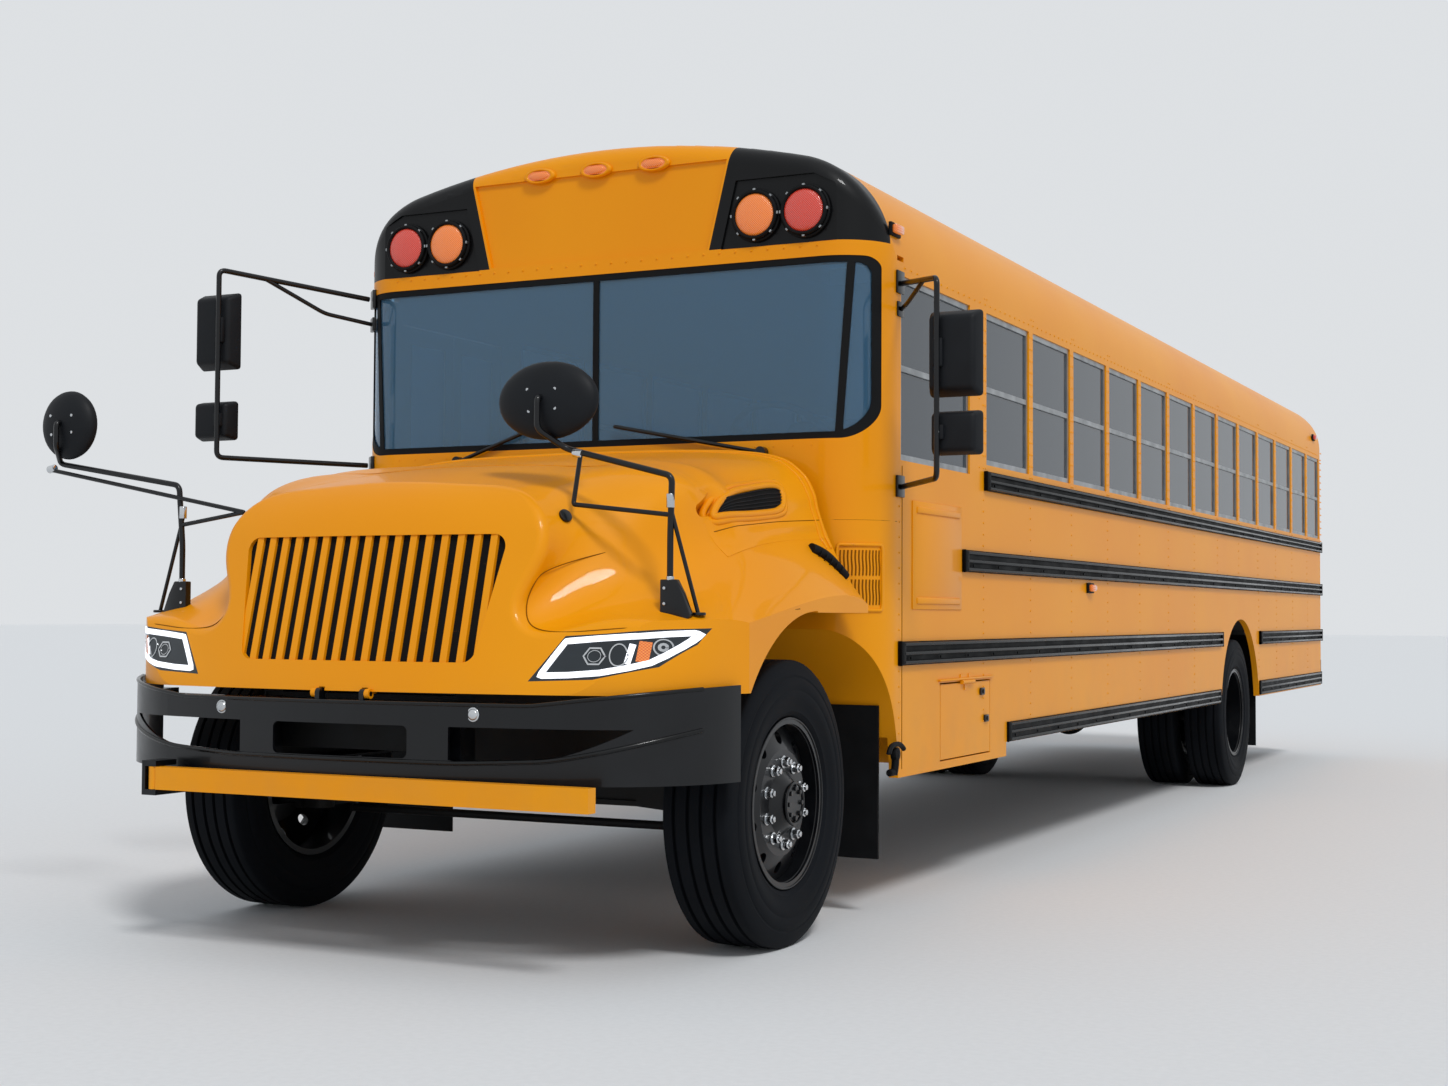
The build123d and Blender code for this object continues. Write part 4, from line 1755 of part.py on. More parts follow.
with BuildPart() as hood:
    add(hood_shell.part)
    with BuildSketch(from_front(NOSE_Y)):
        grille_outline()
    extrude(amount=-NOSE_CUT, mode=Mode.SUBTRACT)
    add(lamp_prisms.part, mode=Mode.SUBTRACT)
    for side in (-1, 1):
        edge = (side * SCOOP_IN_X, side * BODY_HALF)
        with BuildSketch(from_left(min(edge))):
            with BuildLine():
                FilletPolyline(
                    *[(FRONT_AXLE_Y + behind, z) for behind, z in SCOOP_OUTLINE], radius=SCOOP_CORNER_R, close=True
                )
            make_face()
        extrude(amount=abs(edge[1] - edge[0]), mode=Mode.SUBTRACT)
    add(liner.part)
    for side in (-1, 1):
        lug = (side * (LUG_IN_X + LUG_THICKNESS + EAR_GAP), side * PIN_OUT_X)
        with BuildSketch(from_left(min(lug))):
            with Locations((HOOD_PIVOT_Y, HOOD_PIVOT_Z)):
                Circle(LUG_R)
            span(HOOD_PIVOT_Y, HOOD_PIVOT_Y + 2 * LUG_R, HOOD_PIVOT_Z, HOOD_PIVOT_Z + LUG_R)
        extrude(amount=abs(lug[1] - lug[0]))
        with BuildSketch(from_left(min(lug))):
            with Locations((HOOD_PIVOT_Y, HOOD_PIVOT_Z)):
                Circle(LUG_PIN_R + PIN_GAP)
        extrude(amount=abs(lug[1] - lug[0]), mode=Mode.SUBTRACT)
        near = (side * (LUG_IN_X - MOVE_GAP), HOOD_PIVOT_Y, HOOD_PIVOT_Z)
        far = (side * (LUG_IN_X + LUG_THICKNESS + EAR_GAP), HOOD_PIVOT_Y, HOOD_PIVOT_Z)
        rod(near, far, LUG_R + MOVE_GAP, mode=Mode.SUBTRACT)
    for foot_x in CROSS_FEET_X:
        rod(
            (foot_x, CROSS_ARM_Y, CROSS_FOOT_LOW_Z),
            (foot_x, CROSS_ARM_Y, CROSS_FOOT_HIGH_Z),
            CROSS_TUBE_R + PIN_GAP,
            mode=Mode.SUBTRACT,
        )
save(hood, "hood")

with BuildPart() as headlamps:
    add(hood_shell.part)
    add(lamp_prisms.part, mode=Mode.INTERSECT)
save(headlamps, "headlamps")

# Grille: upright slats that follow the nose, held by two bars behind them
SLATS = 17
SLAT_WIDTH = 26.0
SLAT_DEPTH = 30.0
SLAT_SINK = 6.0
SLAT_PITCH = 60.0
BAR_WIDTH = 16.0
BARS_Z = (1090.0, 1310.0)

with BuildPart() as grille:
    low_y = FRONT_AXLE_Y + NOSE_PROFILE[1][0] + SLAT_SINK
    top_y = FRONT_AXLE_Y + NOSE_PROFILE[2][0] + SLAT_SINK
    lean = (top_y - low_y) / (NOSE_PROFILE[2][1] - NOSE_PROFILE[1][1])
    foot_y = low_y + (GRILLE_LOW_Z - NOSE_PROFILE[1][1]) * lean
    head_y = low_y + (GRILLE_TOP_Z - NOSE_PROFILE[1][1]) * lean
    for place in range(SLATS):
        x = (place - (SLATS - 1) / 2) * SLAT_PITCH
        bow = BUMPER_BOW_R - sqrt(BUMPER_BOW_R**2 - x**2)
        with BuildSketch(from_left(x - SLAT_WIDTH / 2)):
            with BuildLine():
                Polyline(
                    (foot_y + bow, GRILLE_LOW_Z),
                    (foot_y + bow + SLAT_DEPTH, GRILLE_LOW_Z),
                    (head_y + bow + SLAT_DEPTH, GRILLE_TOP_Z),
                    (head_y + bow, GRILLE_TOP_Z),
                    close=True,
                )
            make_face()
        extrude(amount=SLAT_WIDTH)
    for bar_z in BARS_Z:
        bar_y = low_y + (bar_z - NOSE_PROFILE[1][1]) * lean + SLAT_DEPTH / 2
        with BuildSketch(Plane.XY.offset(bar_z - BAR_WIDTH / 2)):
            with Locations((0, bar_y + BUMPER_BOW_R)):
                Circle(BUMPER_BOW_R)
                Circle(BUMPER_BOW_R - BAR_WIDTH, mode=Mode.SUBTRACT)
            span(-GRILLE_LOW_HALF, GRILLE_LOW_HALF, NOSE_Y, FRONT_AXLE_Y, mode=Mode.INTERSECT)
        extrude(amount=BAR_WIDTH)
    with BuildSketch(from_front(NOSE_Y)):
        grille_outline()
    extrude(amount=-NOSE_CUT, mode=Mode.INTERSECT)
save(grille, "grille")

# Mirrors. Each arm is a path of round tube with a ball at every bend.
MIRROR_REACH = 1655.0
ARM_TUBE_R = 11.0
LARGE_HEAD = (215.0, 330.0)
SMALL_HEAD = (205.0, 170.0)
HEAD_DEPTH = 70.0
HEAD_CORNER_R = 40.0


def tube(points, radius):
    """Round tube through points, with a ball at each inner point."""
    for start, end in zip(points, points[1:]):
        rod(start, end, radius)
    for bend in points[1:-1]:
        with Locations(bend):
            Sphere(radius + PIN_GAP)


def mirror_head(x, y, z, width, height):
    """Mirror head with round corners, facing the driver."""
    with BuildSketch(from_front(y)) as outline:
        with Locations((x, z)):
            RectangleRounded(width, height, HEAD_CORNER_R)
    extrude(outline.sketch, amount=HEAD_DEPTH)


LEFT_MIRROR_Y = FRONT_AXLE_Y + 600.0
RIGHT_MIRROR_Y = FRONT_AXLE_Y + 150.0
LEFT_ARM_X = 1480.0
ARM_PLATE = 12.0
ARM_FOOT = 22.0
RIGHT_ARM_X = -1520.0

with BuildPart() as side_mirrors:
    large_x = MIRROR_REACH - LARGE_HEAD[0] / 2
    small_x = MIRROR_REACH - SMALL_HEAD[0] / 2
    mirror_head(large_x, LEFT_MIRROR_Y, 2125.0, *LARGE_HEAD)
    mirror_head(small_x, LEFT_MIRROR_Y, 1830.0, *SMALL_HEAD)
    mirror_head(-large_x, RIGHT_MIRROR_Y, 2330.0, *LARGE_HEAD)
    mirror_head(-small_x, RIGHT_MIRROR_Y, 1955.0, *SMALL_HEAD)
    arm_y = LEFT_MIRROR_Y - HEAD_DEPTH / 2
    foot_y = SIDE_FRONT_Y + ARM_FOOT
    tube(
        (
            (BODY_HALF + ARM_PLATE, foot_y, 2450.0),
            (LEFT_ARM_X, arm_y, 2370.0),
            (LEFT_ARM_X, arm_y, 1660.0),
            (BODY_HALF + ARM_PLATE, foot_y, 1655.0),
        ),
        ARM_TUBE_R,
    )
    for foot_z in (2450.0, 1655.0):
        block(
            BODY_HALF,
            BODY_HALF + ARM_PLATE + ARM_TUBE_R,
            foot_y - ARM_FOOT,
            foot_y + ARM_FOOT,
            foot_z - ARM_FOOT,
            foot_z + ARM_FOOT,
        )
    arm_y = RIGHT_MIRROR_Y - HEAD_DEPTH / 2
    corner = Vector(FRONT_CORNER_R - BODY_HALF, SIDE_FRONT_Y, 0)
    outward = Vector(-1, -1, 0).normalized()
    feet = [corner + outward * FRONT_CORNER_R + Vector(0, 0, z) for z in (2520.0, 1795.0)]
    tips = [foot + outward * 2 * ARM_PLATE for foot in feet]
    tube((tips[0], (RIGHT_ARM_X, arm_y, 2580.0), (RIGHT_ARM_X, arm_y, 1797.0), tips[1]), ARM_TUBE_R)
    for foot, tip in zip(feet, tips):
        rod(foot, tip + outward * ARM_TUBE_R, ARM_FOOT)
save(side_mirrors, "side_mirrors")

CROSS_HEAD_HALF = (190.0, 130.0)
CROSS_HEAD_DEPTH = 90.0
CROSS_HEAD_Z = 1860.0
CROSS_LEFT_X = 590.0

with BuildPart() as crossview_mirrors:
    right_x = -(MIRROR_REACH - CROSS_HEAD_HALF[1])
    for x, half in ((CROSS_LEFT_X, CROSS_HEAD_HALF[0]), (right_x, CROSS_HEAD_HALF[1])):
        with BuildSketch(from_front(CROSS_HEAD_Y)):
            with Locations((x, CROSS_HEAD_Z)):
                Ellipse(half, CROSS_HEAD_HALF[1])
        extrude(amount=CROSS_HEAD_DEPTH)
    for head_x, bend_z, elbow_x, elbow_z, foot_x in (
        (CROSS_LEFT_X, 1682.0, 1045.0, 1593.0, CROSS_FEET_X[0]),
        (right_x, 1716.0, -1000.0, 1620.0, CROSS_FEET_X[1]),
    ):
        tube(
            (
                (head_x, CROSS_ARM_Y, CROSS_HEAD_Z),
                (head_x, CROSS_ARM_Y, bend_z),
                (elbow_x, CROSS_ARM_Y, elbow_z),
                (foot_x, CROSS_ARM_Y, CROSS_FOOT_HIGH_Z),
                (foot_x, CROSS_ARM_Y, CROSS_FOOT_LOW_Z),
            ),
            CROSS_TUBE_R,
        )
save(crossview_mirrors, "crossview_mirrors")

# Wipers: two arms that rest along the foot of the glass
WIPER_PIVOTS = ((-650.0, 1790.0), (755.0, 1785.0))
WIPER_BOSS_R = 22.0
WIPER_REACH = 34.0
WIPER_ARM_R = 8.0
BLADE_TIPS = ((-300.0, 1910.0), (100.0, 1910.0))

with BuildPart() as wipers:
    for (x, z), (tip_x, tip_z) in zip(WIPER_PIVOTS, BLADE_TIPS):
        rod((x, FACE_Y, z), (x, FACE_Y - WIPER_REACH, z), WIPER_BOSS_R)
        rod((x, FACE_Y - WIPER_REACH / 2, z), (tip_x, FACE_Y - WIPER_REACH / 2, tip_z), WIPER_ARM_R)
save(wipers, "wipers")

# Lamps: round warning lamps in pairs, front and rear, and tail lamps
WARNING_R = 89.0
WARNING_PROUD = 14.0
RED_X = 929.0
AMBER_X = 719.0
WARNING_Z = 2715.0
REAR_WARNING_Z = 2690.0
CLEARANCE_X = (-267.0, 0.0, 267.0)
CLEARANCE_Z = 2962.0
CLEARANCE_SIZE = (110.0, 36.0)
TAIL_X = 1020.0
TAIL_R = 80.0
BRAKE_Z = 1500.0
TURN_Z = 1250.0


def face_lamp(face_y, x, z, radius, sunk):
    """Round lamp on a front or rear face; sunk is how deep its seat lies."""
    forward = -1 if face_y < 0 else 1
    rod((x, face_y - forward * sunk, z), (x, face_y + forward * WARNING_PROUD, z), radius)


with BuildPart() as red_lamps:
    for side in (-1, 1):
        face_lamp(FACE_Y, side * RED_X, WARNING_Z, WARNING_R, PLATE_RECESS)
        face_lamp(BODY_END_Y, side * RED_X, REAR_WARNING_Z, WARNING_R, 0)
        face_lamp(BODY_END_Y, side * TAIL_X, BRAKE_Z, TAIL_R, 0)
save(red_lamps, "red_lamps")

with BuildPart() as amber_lamps:
    for side in (-1, 1):
        face_lamp(FACE_Y, side * AMBER_X, WARNING_Z, WARNING_R, PLATE_RECESS)
        face_lamp(BODY_END_Y, side * AMBER_X, REAR_WARNING_Z, WARNING_R, 0)
        face_lamp(BODY_END_Y, side * TAIL_X, TURN_Z, TAIL_R, 0)
    with BuildSketch(from_front(FACE_Y)):
        for x in CLEARANCE_X:
            with Locations((x, CLEARANCE_Z)):
                SlotOverall(*CLEARANCE_SIZE)
    extrude(amount=WARNING_PROUD)
save(amber_lamps, "amber_lamps")
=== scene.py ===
# %% [markdown]
# A bonneted school bus stands on a pale studio floor. Its imported solids are the frame:
# they already have the true sizes and joints, so this lesson only dresses them.
# First the frame is loaded.

from math import cos, pi, radians, sin, sqrt

import bpy
from mathutils import Matrix, Vector


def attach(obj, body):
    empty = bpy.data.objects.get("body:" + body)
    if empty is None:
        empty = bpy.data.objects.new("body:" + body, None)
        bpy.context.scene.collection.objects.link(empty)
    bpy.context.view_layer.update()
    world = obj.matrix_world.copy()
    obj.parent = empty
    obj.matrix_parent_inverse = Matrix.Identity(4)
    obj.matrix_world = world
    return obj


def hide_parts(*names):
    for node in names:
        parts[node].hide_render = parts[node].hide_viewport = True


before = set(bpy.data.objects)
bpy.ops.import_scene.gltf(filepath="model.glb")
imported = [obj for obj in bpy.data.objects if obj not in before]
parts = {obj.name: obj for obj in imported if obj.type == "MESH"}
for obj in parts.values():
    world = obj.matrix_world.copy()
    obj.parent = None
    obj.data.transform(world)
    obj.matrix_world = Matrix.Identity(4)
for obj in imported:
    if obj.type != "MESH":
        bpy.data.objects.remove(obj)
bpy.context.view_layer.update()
print("nodes", len(parts))

# %% [markdown]
# A photographer stood near the bus's left front corner with the lens at chest height.
# The camera comes first, because every later choice is judged through it.
# Its place and turn were solved from points on the bus, so no shift is needed.

# %% Place the camera
CAMERA_PLACE = Vector((3.9326, -11.0535, 1.157))
YAW = radians(26.2716)
PITCH = radians(2.1125)
ROLL = radians(0.2858)

ahead = Vector((-sin(YAW) * cos(PITCH), cos(YAW) * cos(PITCH), sin(PITCH)))
level = Vector((cos(YAW), sin(YAW), 0))
upright = level.cross(ahead)
across = level * cos(ROLL) + upright * sin(ROLL)
above = upright * cos(ROLL) - level * sin(ROLL)
bpy.ops.object.camera_add()
camera = bpy.context.active_object
camera.matrix_world = Matrix.Translation(CAMERA_PLACE) @ Matrix((across, above, -ahead)).transposed().to_4x4()
camera.data.sensor_width = 36
camera.data.lens = 48.08
camera.data.clip_end = 400
bpy.context.scene.camera = camera
print("camera", camera.location[:])

# %% [markdown]
# Paint is what people see of a bus, so the materials are made before the pieces.
# A hex value is how a painter names a colour on screen, and Blender wants it linear.
# One function does that, and one more adds any node with its settings and its links.

# %% Colour and nodes
def linear(code):
    """An sRGB hex value as Blender's linear colour."""
    parts_255 = [int(code[at:at + 2], 16) / 255 for at in (1, 3, 5)]
    return [c / 12.92 if c <= 0.04045 else ((c + 0.055) / 1.055) ** 2.4 for c in parts_255] + [1.0]


def add_node(tree, kind, settings=(), links=()):
    """Add a node; lower-case settings are its options and the others its sockets."""
    made = tree.nodes.new(kind)
    for key, value in dict(settings).items():
        if isinstance(key, str) and key[0].islower():
            setattr(made, key, value)
        else:
            made.inputs[key].default_value = value
    for key, source in dict(links).items():
        tree.links.new(source, made.inputs[key])
    return made


def new_finish(name):
    """A material with a bare tree, and the place of each point on the bus."""
    made = bpy.data.materials.new(name)
    made.use_nodes = True
    made.node_tree.nodes.clear()
    place = add_node(made.node_tree, "ShaderNodeTexCoord").outputs["Object"]
    return made, made.node_tree, place


def close_finish(tree, shader):
    """Send a shader to the surface."""
    add_node(tree, "ShaderNodeOutputMaterial", links={"Surface": shader.outputs[0]})

# %% [markdown]
# Paint, rubber and plastic are never one even colour. A pattern starts as noise in the
# piece's own coordinates, so many blobs to the metre, and small functions then turn it
# into two tones, into a slope between two values, or into a relief in millimetres.

# %% Patterns
def speckle(tree, place, per_metre, detail=3.0):
    """Cloudy noise with so many blobs in a metre."""
    return add_node(tree, "ShaderNodeTexNoise", {"Scale": per_metre, "Detail": detail}, {"Vector": place})


def two_tones(tree, amount, first, second):
    """A colour that runs from the first to the second as the amount goes from 0 to 1."""
    mix = add_node(tree, "ShaderNodeMix", {"data_type": "RGBA", 6: linear(first), 7: linear(second)})
    tree.links.new(amount, mix.inputs[0])
    return mix.outputs[2]


def between(tree, value, low, high, to_low=0.0, to_high=1.0):
    """Stretch a value from one range to another, and hold it there."""
    return add_node(
        tree,
        "ShaderNodeMapRange",
        {"From Min": low, "From Max": high, "To Min": to_low, "To Max": to_high},
        {"Value": value},
    ).outputs["Result"]


def relief(tree, height, depth_mm, strength=1.0, below=None):
    """A bump of so many millimetres."""
    links = {"Height": height}
    if below:
        links["Normal"] = below
    settings = {"Distance": depth_mm / 1000, "Strength": strength}
    return add_node(tree, "ShaderNodeBump", settings, links).outputs["Normal"]


# %% [markdown]
# Enamel is sprayed on sheet steel and baked: a clear gloss over a deep, even yellow.
# The sheet is never quite flat, so the gloss wavers, and road dust greys the skirt.
# A mask by place paints the cap's two lamp panels gloss black, as masking tape would.

# %% Yellow enamel
def enamel(name, base, shade, waver_mm):
    """Sprayed enamel: the gloss is the coat, the waver is the sheet under it."""
    made, tree, place = new_finish(name)
    broad = speckle(tree, place, 0.9)
    colour = two_tones(tree, between(tree, broad.outputs["Fac"], 0.35, 0.65), base, shade)
    height = add_node(tree, "ShaderNodeSeparateXYZ", links={0: place}).outputs["Z"]
    low = between(tree, height, 0.5, 1.05, 0.13, 0.0)
    blotch = between(tree, speckle(tree, place, 7.0).outputs["Fac"], 0.3, 0.75)
    dust = add_node(tree, "ShaderNodeMath", {"operation": "MULTIPLY"}, {0: low, 1: blotch})
    dusted = add_node(tree, "ShaderNodeMix", {"data_type": "RGBA", 7: linear("#8C7B5E")})
    tree.links.new(dust.outputs[0], dusted.inputs[0])
    tree.links.new(colour, dusted.inputs[6])
    waver = relief(tree, speckle(tree, place, 1.6, 1.0).outputs["Fac"], waver_mm)
    peel = relief(tree, speckle(tree, place, 260.0, 1.0).outputs["Fac"], 0.05, 0.5, waver)
    shader = add_node(
        tree,
        "ShaderNodeBsdfPrincipled",
        {"Roughness": 0.45, "Specular IOR Level": 0.14, "Coat Weight": 0.19, "Coat Roughness": 0.04},
        {"Base Color": dusted.outputs[2], "Normal": peel, "Coat Normal": peel},
    )
    close_finish(tree, shader)
    return made, tree, dusted, shader


yellow_enamel, _, _, _ = enamel("yellow_enamel", "#EC9400", "#F09C02", 3.0)
cap_enamel, cap_tree, cap_colour, cap_shader = enamel("cap_enamel", "#EC9400", "#F09C02", 1.5)
print("enamels", yellow_enamel.name, cap_enamel.name)

# %% [markdown]
# Round each pair of warning lamps the yellow cap is painted black. The paint is a mask in
# the cap's own coordinates: outside a leaning edge, above one level and ahead of one line.

# %% Black lamp panels on the cap
PANEL_LOW = (0.514, 2.594)
PANEL_HIGH = (0.603, 2.962)
PANEL_BACK = -4.10

cap_place = cap_tree.nodes["Texture Coordinate"].outputs["Object"]
cap_axes = add_node(cap_tree, "ShaderNodeSeparateXYZ", links={0: cap_place})
outward = add_node(cap_tree, "ShaderNodeMath", {"operation": "ABSOLUTE"}, {0: cap_axes.outputs["X"]})
panel_lean = (PANEL_HIGH[0] - PANEL_LOW[0]) / (PANEL_HIGH[1] - PANEL_LOW[1])
edge_x = add_node(
    cap_tree,
    "ShaderNodeMath",
    {"operation": "MULTIPLY_ADD", 1: panel_lean, 2: PANEL_LOW[0] - panel_lean * PANEL_LOW[1]},
    {0: cap_axes.outputs["Z"]},
)
beyond = add_node(
    cap_tree, "ShaderNodeMath", {"operation": "GREATER_THAN"}, {0: outward.outputs[0], 1: edge_x.outputs[0]}
)
over = add_node(
    cap_tree, "ShaderNodeMath", {"operation": "GREATER_THAN", 1: PANEL_LOW[1]}, {0: cap_axes.outputs["Z"]}
)
before = add_node(
    cap_tree, "ShaderNodeMath", {"operation": "LESS_THAN", 1: PANEL_BACK}, {0: cap_axes.outputs["Y"]}
)
both = add_node(
    cap_tree, "ShaderNodeMath", {"operation": "MULTIPLY"}, {0: beyond.outputs[0], 1: over.outputs[0]}
)
masked = add_node(
    cap_tree, "ShaderNodeMath", {"operation": "MULTIPLY"}, {0: both.outputs[0], 1: before.outputs[0]}
)
two_colours = add_node(cap_tree, "ShaderNodeMix", {"data_type": "RGBA", 7: linear("#08090B")})
cap_tree.links.new(masked.outputs[0], two_colours.inputs[0])
cap_tree.links.new(cap_colour.outputs[2], two_colours.inputs[6])
cap_tree.links.new(two_colours.outputs[2], cap_shader.inputs["Base Color"])
print("black panels", PANEL_LOW, PANEL_HIGH)

# %% [markdown]
# Everything black on the bus is a different black: glossy bumper enamel, satin wax on
# the chassis, grained moulded plastic on the mirrors and dull rubber.
# Each is one function call, with its own gloss and the size of its grain in millimetres.

# %% Solid finishes
def solid_finish(
    name, base, worn, roughness, grain_mm, depth_mm, metallic=0.0, coat=0.0, blob_m=0.12, gloss=0.25
):
    """An opaque finish: two close tones in blobs, and a grain of a real size."""
    made, tree, place = new_finish(name)
    blobs = between(tree, speckle(tree, place, 1 / blob_m).outputs["Fac"], 0.35, 0.7)
    colour = two_tones(tree, blobs, base, worn)
    rough = between(tree, blobs, 0.0, 1.0, roughness, min(1.0, roughness + 0.12))
    grain = relief(tree, speckle(tree, place, 1000 / grain_mm, 2.0).outputs["Fac"], depth_mm)
    shader = add_node(
        tree,
        "ShaderNodeBsdfPrincipled",
        {"Metallic": metallic, "Specular IOR Level": gloss, "Coat Weight": coat, "Coat Roughness": 0.05},
        {"Base Color": colour, "Roughness": rough, "Normal": grain},
    )
    close_finish(tree, shader)
    return made


black_enamel = solid_finish("black_enamel", "#040508", "#07090D", 0.3, 4.0, 0.05, coat=0.3)
chassis_wax = solid_finish("chassis_wax", "#111214", "#1D1B19", 0.55, 6.0, 0.25)
tyre_rubber = solid_finish("tyre_rubber", "#080B10", "#101318", 0.7, 3.0, 0.2, blob_m=0.2, gloss=0.12)
cast_iron = solid_finish("cast_iron", "#4A4B4C", "#3A3733", 0.6, 3.0, 0.5, metallic=0.2)
exhaust_steel = solid_finish("exhaust_steel", "#8A837A", "#5F4A3A", 0.5, 4.0, 0.1, metallic=0.9)
gasket_rubber = solid_finish("gasket_rubber", "#090A0C", "#101113", 0.6, 2.0, 0.1, gloss=0.15)
mill_aluminium = solid_finish(
    "mill_aluminium", "#A9ACAE", "#8E9193", 0.34, 1.5, 0.03, metallic=1.0, gloss=0.5
)
hatch_moulding = solid_finish("hatch_moulding", "#D8D6CE", "#C9C6BB", 0.45, 2.0, 0.06)
floor_sheet = solid_finish("floor_sheet", "#1E1F20", "#2A2A29", 0.7, 5.0, 0.3)
seat_vinyl = solid_finish("seat_vinyl", "#32373A", "#3B4144", 0.45, 2.5, 0.35)
grained_plastic = solid_finish("grained_plastic", "#0E1014", "#14171B", 0.5, 1.6, 0.12, gloss=0.2)
chrome_plate = solid_finish("chrome_plate", "#D6D8DA", "#BEC1C4", 0.12, 8.0, 0.01, metallic=1.0, gloss=0.5)
hole_black = solid_finish("hole_black", "#050505", "#080808", 0.9, 3.0, 0.2)
print("solid finishes made")

# %% [markdown]
# Safety glass is two sheets with a film between: tinted, flat and very smooth.
# The side windows are darker than the windshield, so the glass has two tints. The blue of
# each tint is partly real tint and partly painted sky reflection.
# Warning lamps are moulded lenses with small prisms on the inside, which glitter; their
# glints are painted as a brighter tone in a grid on the lens.

# %% Glass and lenses
def sheet_glass(name, tint_with_painted_sky, clear):
    """Tinted sheet; clear is the share of light that goes through, the rest is an opaque film in the tint,
    whose colour is partly painted sky reflection.
    """
    made, tree, place = new_finish(name)
    ripple = relief(tree, speckle(tree, place, 2.2, 1.0).outputs["Fac"], 0.6)
    shader = add_node(
        tree,
        "ShaderNodeBsdfPrincipled",
        {"Base Color": linear(tint_with_painted_sky), "Roughness": 0.0, "IOR": 1.5, "Transmission Weight": clear},
        {"Normal": ripple},
    )
    close_finish(tree, shader)
    return made


def moulded_lens(name, base, bright, prism_mm):
    """Coloured clear plastic with a grid of small prisms, whose brighter tone is painted glints in place of a
    reflector behind it.
    """
    made, tree, place = new_finish(name)
    axes = add_node(tree, "ShaderNodeSeparateXYZ", links={0: place})
    waves = []
    for axis in ("X", "Z"):
        turns = add_node(tree, "ShaderNodeMath", {"operation": "MULTIPLY", 1: 2 * pi * 1000 / prism_mm},
                         {0: axes.outputs[axis]})
        waves.append(add_node(tree, "ShaderNodeMath", {"operation": "SINE"}, {0: turns.outputs[0]}))
    grid = add_node(tree, "ShaderNodeMath", {"operation": "MULTIPLY"},
                    {0: waves[0].outputs[0], 1: waves[1].outputs[0]})
    # The brighter tone of the prism grid is painted glints, not a colour of the plastic.
    painted_glints = between(tree, grid.outputs[0], -0.9, 0.9)
    colour = two_tones(tree, painted_glints, base, bright)
    shader = add_node(
        tree,
        "ShaderNodeBsdfPrincipled",
        {"Roughness": 0.18, "Coat Weight": 1.0, "Coat Roughness": 0.02, "Emission Strength": 0.12},
        {"Base Color": colour, "Emission Color": colour, "Normal": relief(tree, grid.outputs[0], 0.6)},
    )
    close_finish(tree, shader)
    return made


# The windshield's blue and the side windows' blue-grey are partly real tint and partly painted sky
# reflection.
windshield_sheet = sheet_glass("windshield_sheet", "#6C9FC4", 0.74)
window_sheet = sheet_glass("window_sheet", "#3A4A58", 0.62)
amber_moulding = moulded_lens("amber_moulding", "#D9560E", "#FF9A3D", 9.0)
red_moulding = moulded_lens("red_moulding", "#9E1208", "#F0503A", 9.0)
print("glass and lenses made")

# %% [markdown]
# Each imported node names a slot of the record, so one table gives every node its finish.

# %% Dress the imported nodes
FINISH_OF_SLOT = {
    "chassis_steel": chassis_wax,
    "tyre_rubber": tyre_rubber,
    "black_paint": black_enamel,
    "cast_engine": cast_iron,
    "dull_steel": exhaust_steel,
    "yellow_paint": yellow_enamel,
    "black_rubber": gasket_rubber,
    "clear_glass": window_sheet,
    "bare_aluminium": mill_aluminium,
    "white_plastic": hatch_moulding,
    "floor_rubber": floor_sheet,
    "seat_vinyl": seat_vinyl,
    "dark_plastic": grained_plastic,
    "smoked_lens": grained_plastic,
    "red_lens": red_moulding,
    "amber_lens": amber_moulding,
}

for part in parts.values():
    for place in part.material_slots:
        place.material = FINISH_OF_SLOT[place.material.name]
parts["front_cap"].material_slots[0].material = cap_enamel
parts["windshield_glass"].material_slots[0].material = windshield_sheet
print("dressed", len(parts))

# %% [markdown]
# New pieces are made as by hand: a primitive is added, shaped in edit mode, and finished
# with modifiers. Every piece is selected alone before an operator acts on it. At the end
# its parts are joined, its faces point outwards, and its place is in its mesh, because
# the export sets every object back to the origin.

# %% Select, join and settle
def take(*pieces):
    """Leave edit mode, then select these pieces alone; the first is the active one."""
    if bpy.context.object and bpy.context.object.mode != "OBJECT":
        bpy.ops.object.mode_set(mode="OBJECT")
    bpy.ops.object.select_all(action="DESELECT")
    for piece in pieces:
        piece.select_set(True)
    if pieces:
        bpy.context.view_layer.objects.active = pieces[0]
        return pieces[0]


def firm(piece):
    """Apply the live modifiers and the place, turn and scale."""
    take(piece)
    for modifier in list(piece.modifiers):
        bpy.ops.object.modifier_apply(modifier=modifier.name)
    bpy.ops.object.transform_apply(location=True, rotation=True, scale=True)
    return piece


def fused(pieces):
    """Join firm pieces into one object."""
    for piece in pieces:
        firm(piece)
    take(*pieces)
    if len(pieces) > 1:
        bpy.ops.object.join()
    return pieces[0]


def turn_outward(piece):
    """Merge doubles, then point every face outwards."""
    take(piece)
    bpy.ops.object.mode_set(mode="EDIT")
    bpy.ops.mesh.select_all(action="SELECT")
    bpy.ops.mesh.remove_doubles(threshold=0.00002)
    bpy.ops.mesh.normals_make_consistent(inside=False)
    bpy.ops.object.mode_set(mode="OBJECT")


def settle(pieces, name, finish, body="chassis", smooth=35):
    """Join pieces, give them their finish, and let them ride on a body."""
    piece = fused(pieces)
    turn_outward(piece)
    bpy.ops.object.shade_smooth_by_angle(angle=radians(smooth))
    piece.name = name
    piece.data.name = name
    piece.data.materials.clear()
    piece.data.materials.append(finish)
    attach(piece, body)
    return piece

# %% [markdown]
# Most brackets and clips start from a plain form: an outline pushed to a depth, a box, a
# short cylinder or a ring. A real edge is never sharp, so a bevel rounds it, and the
# rounded edge is what catches the light.

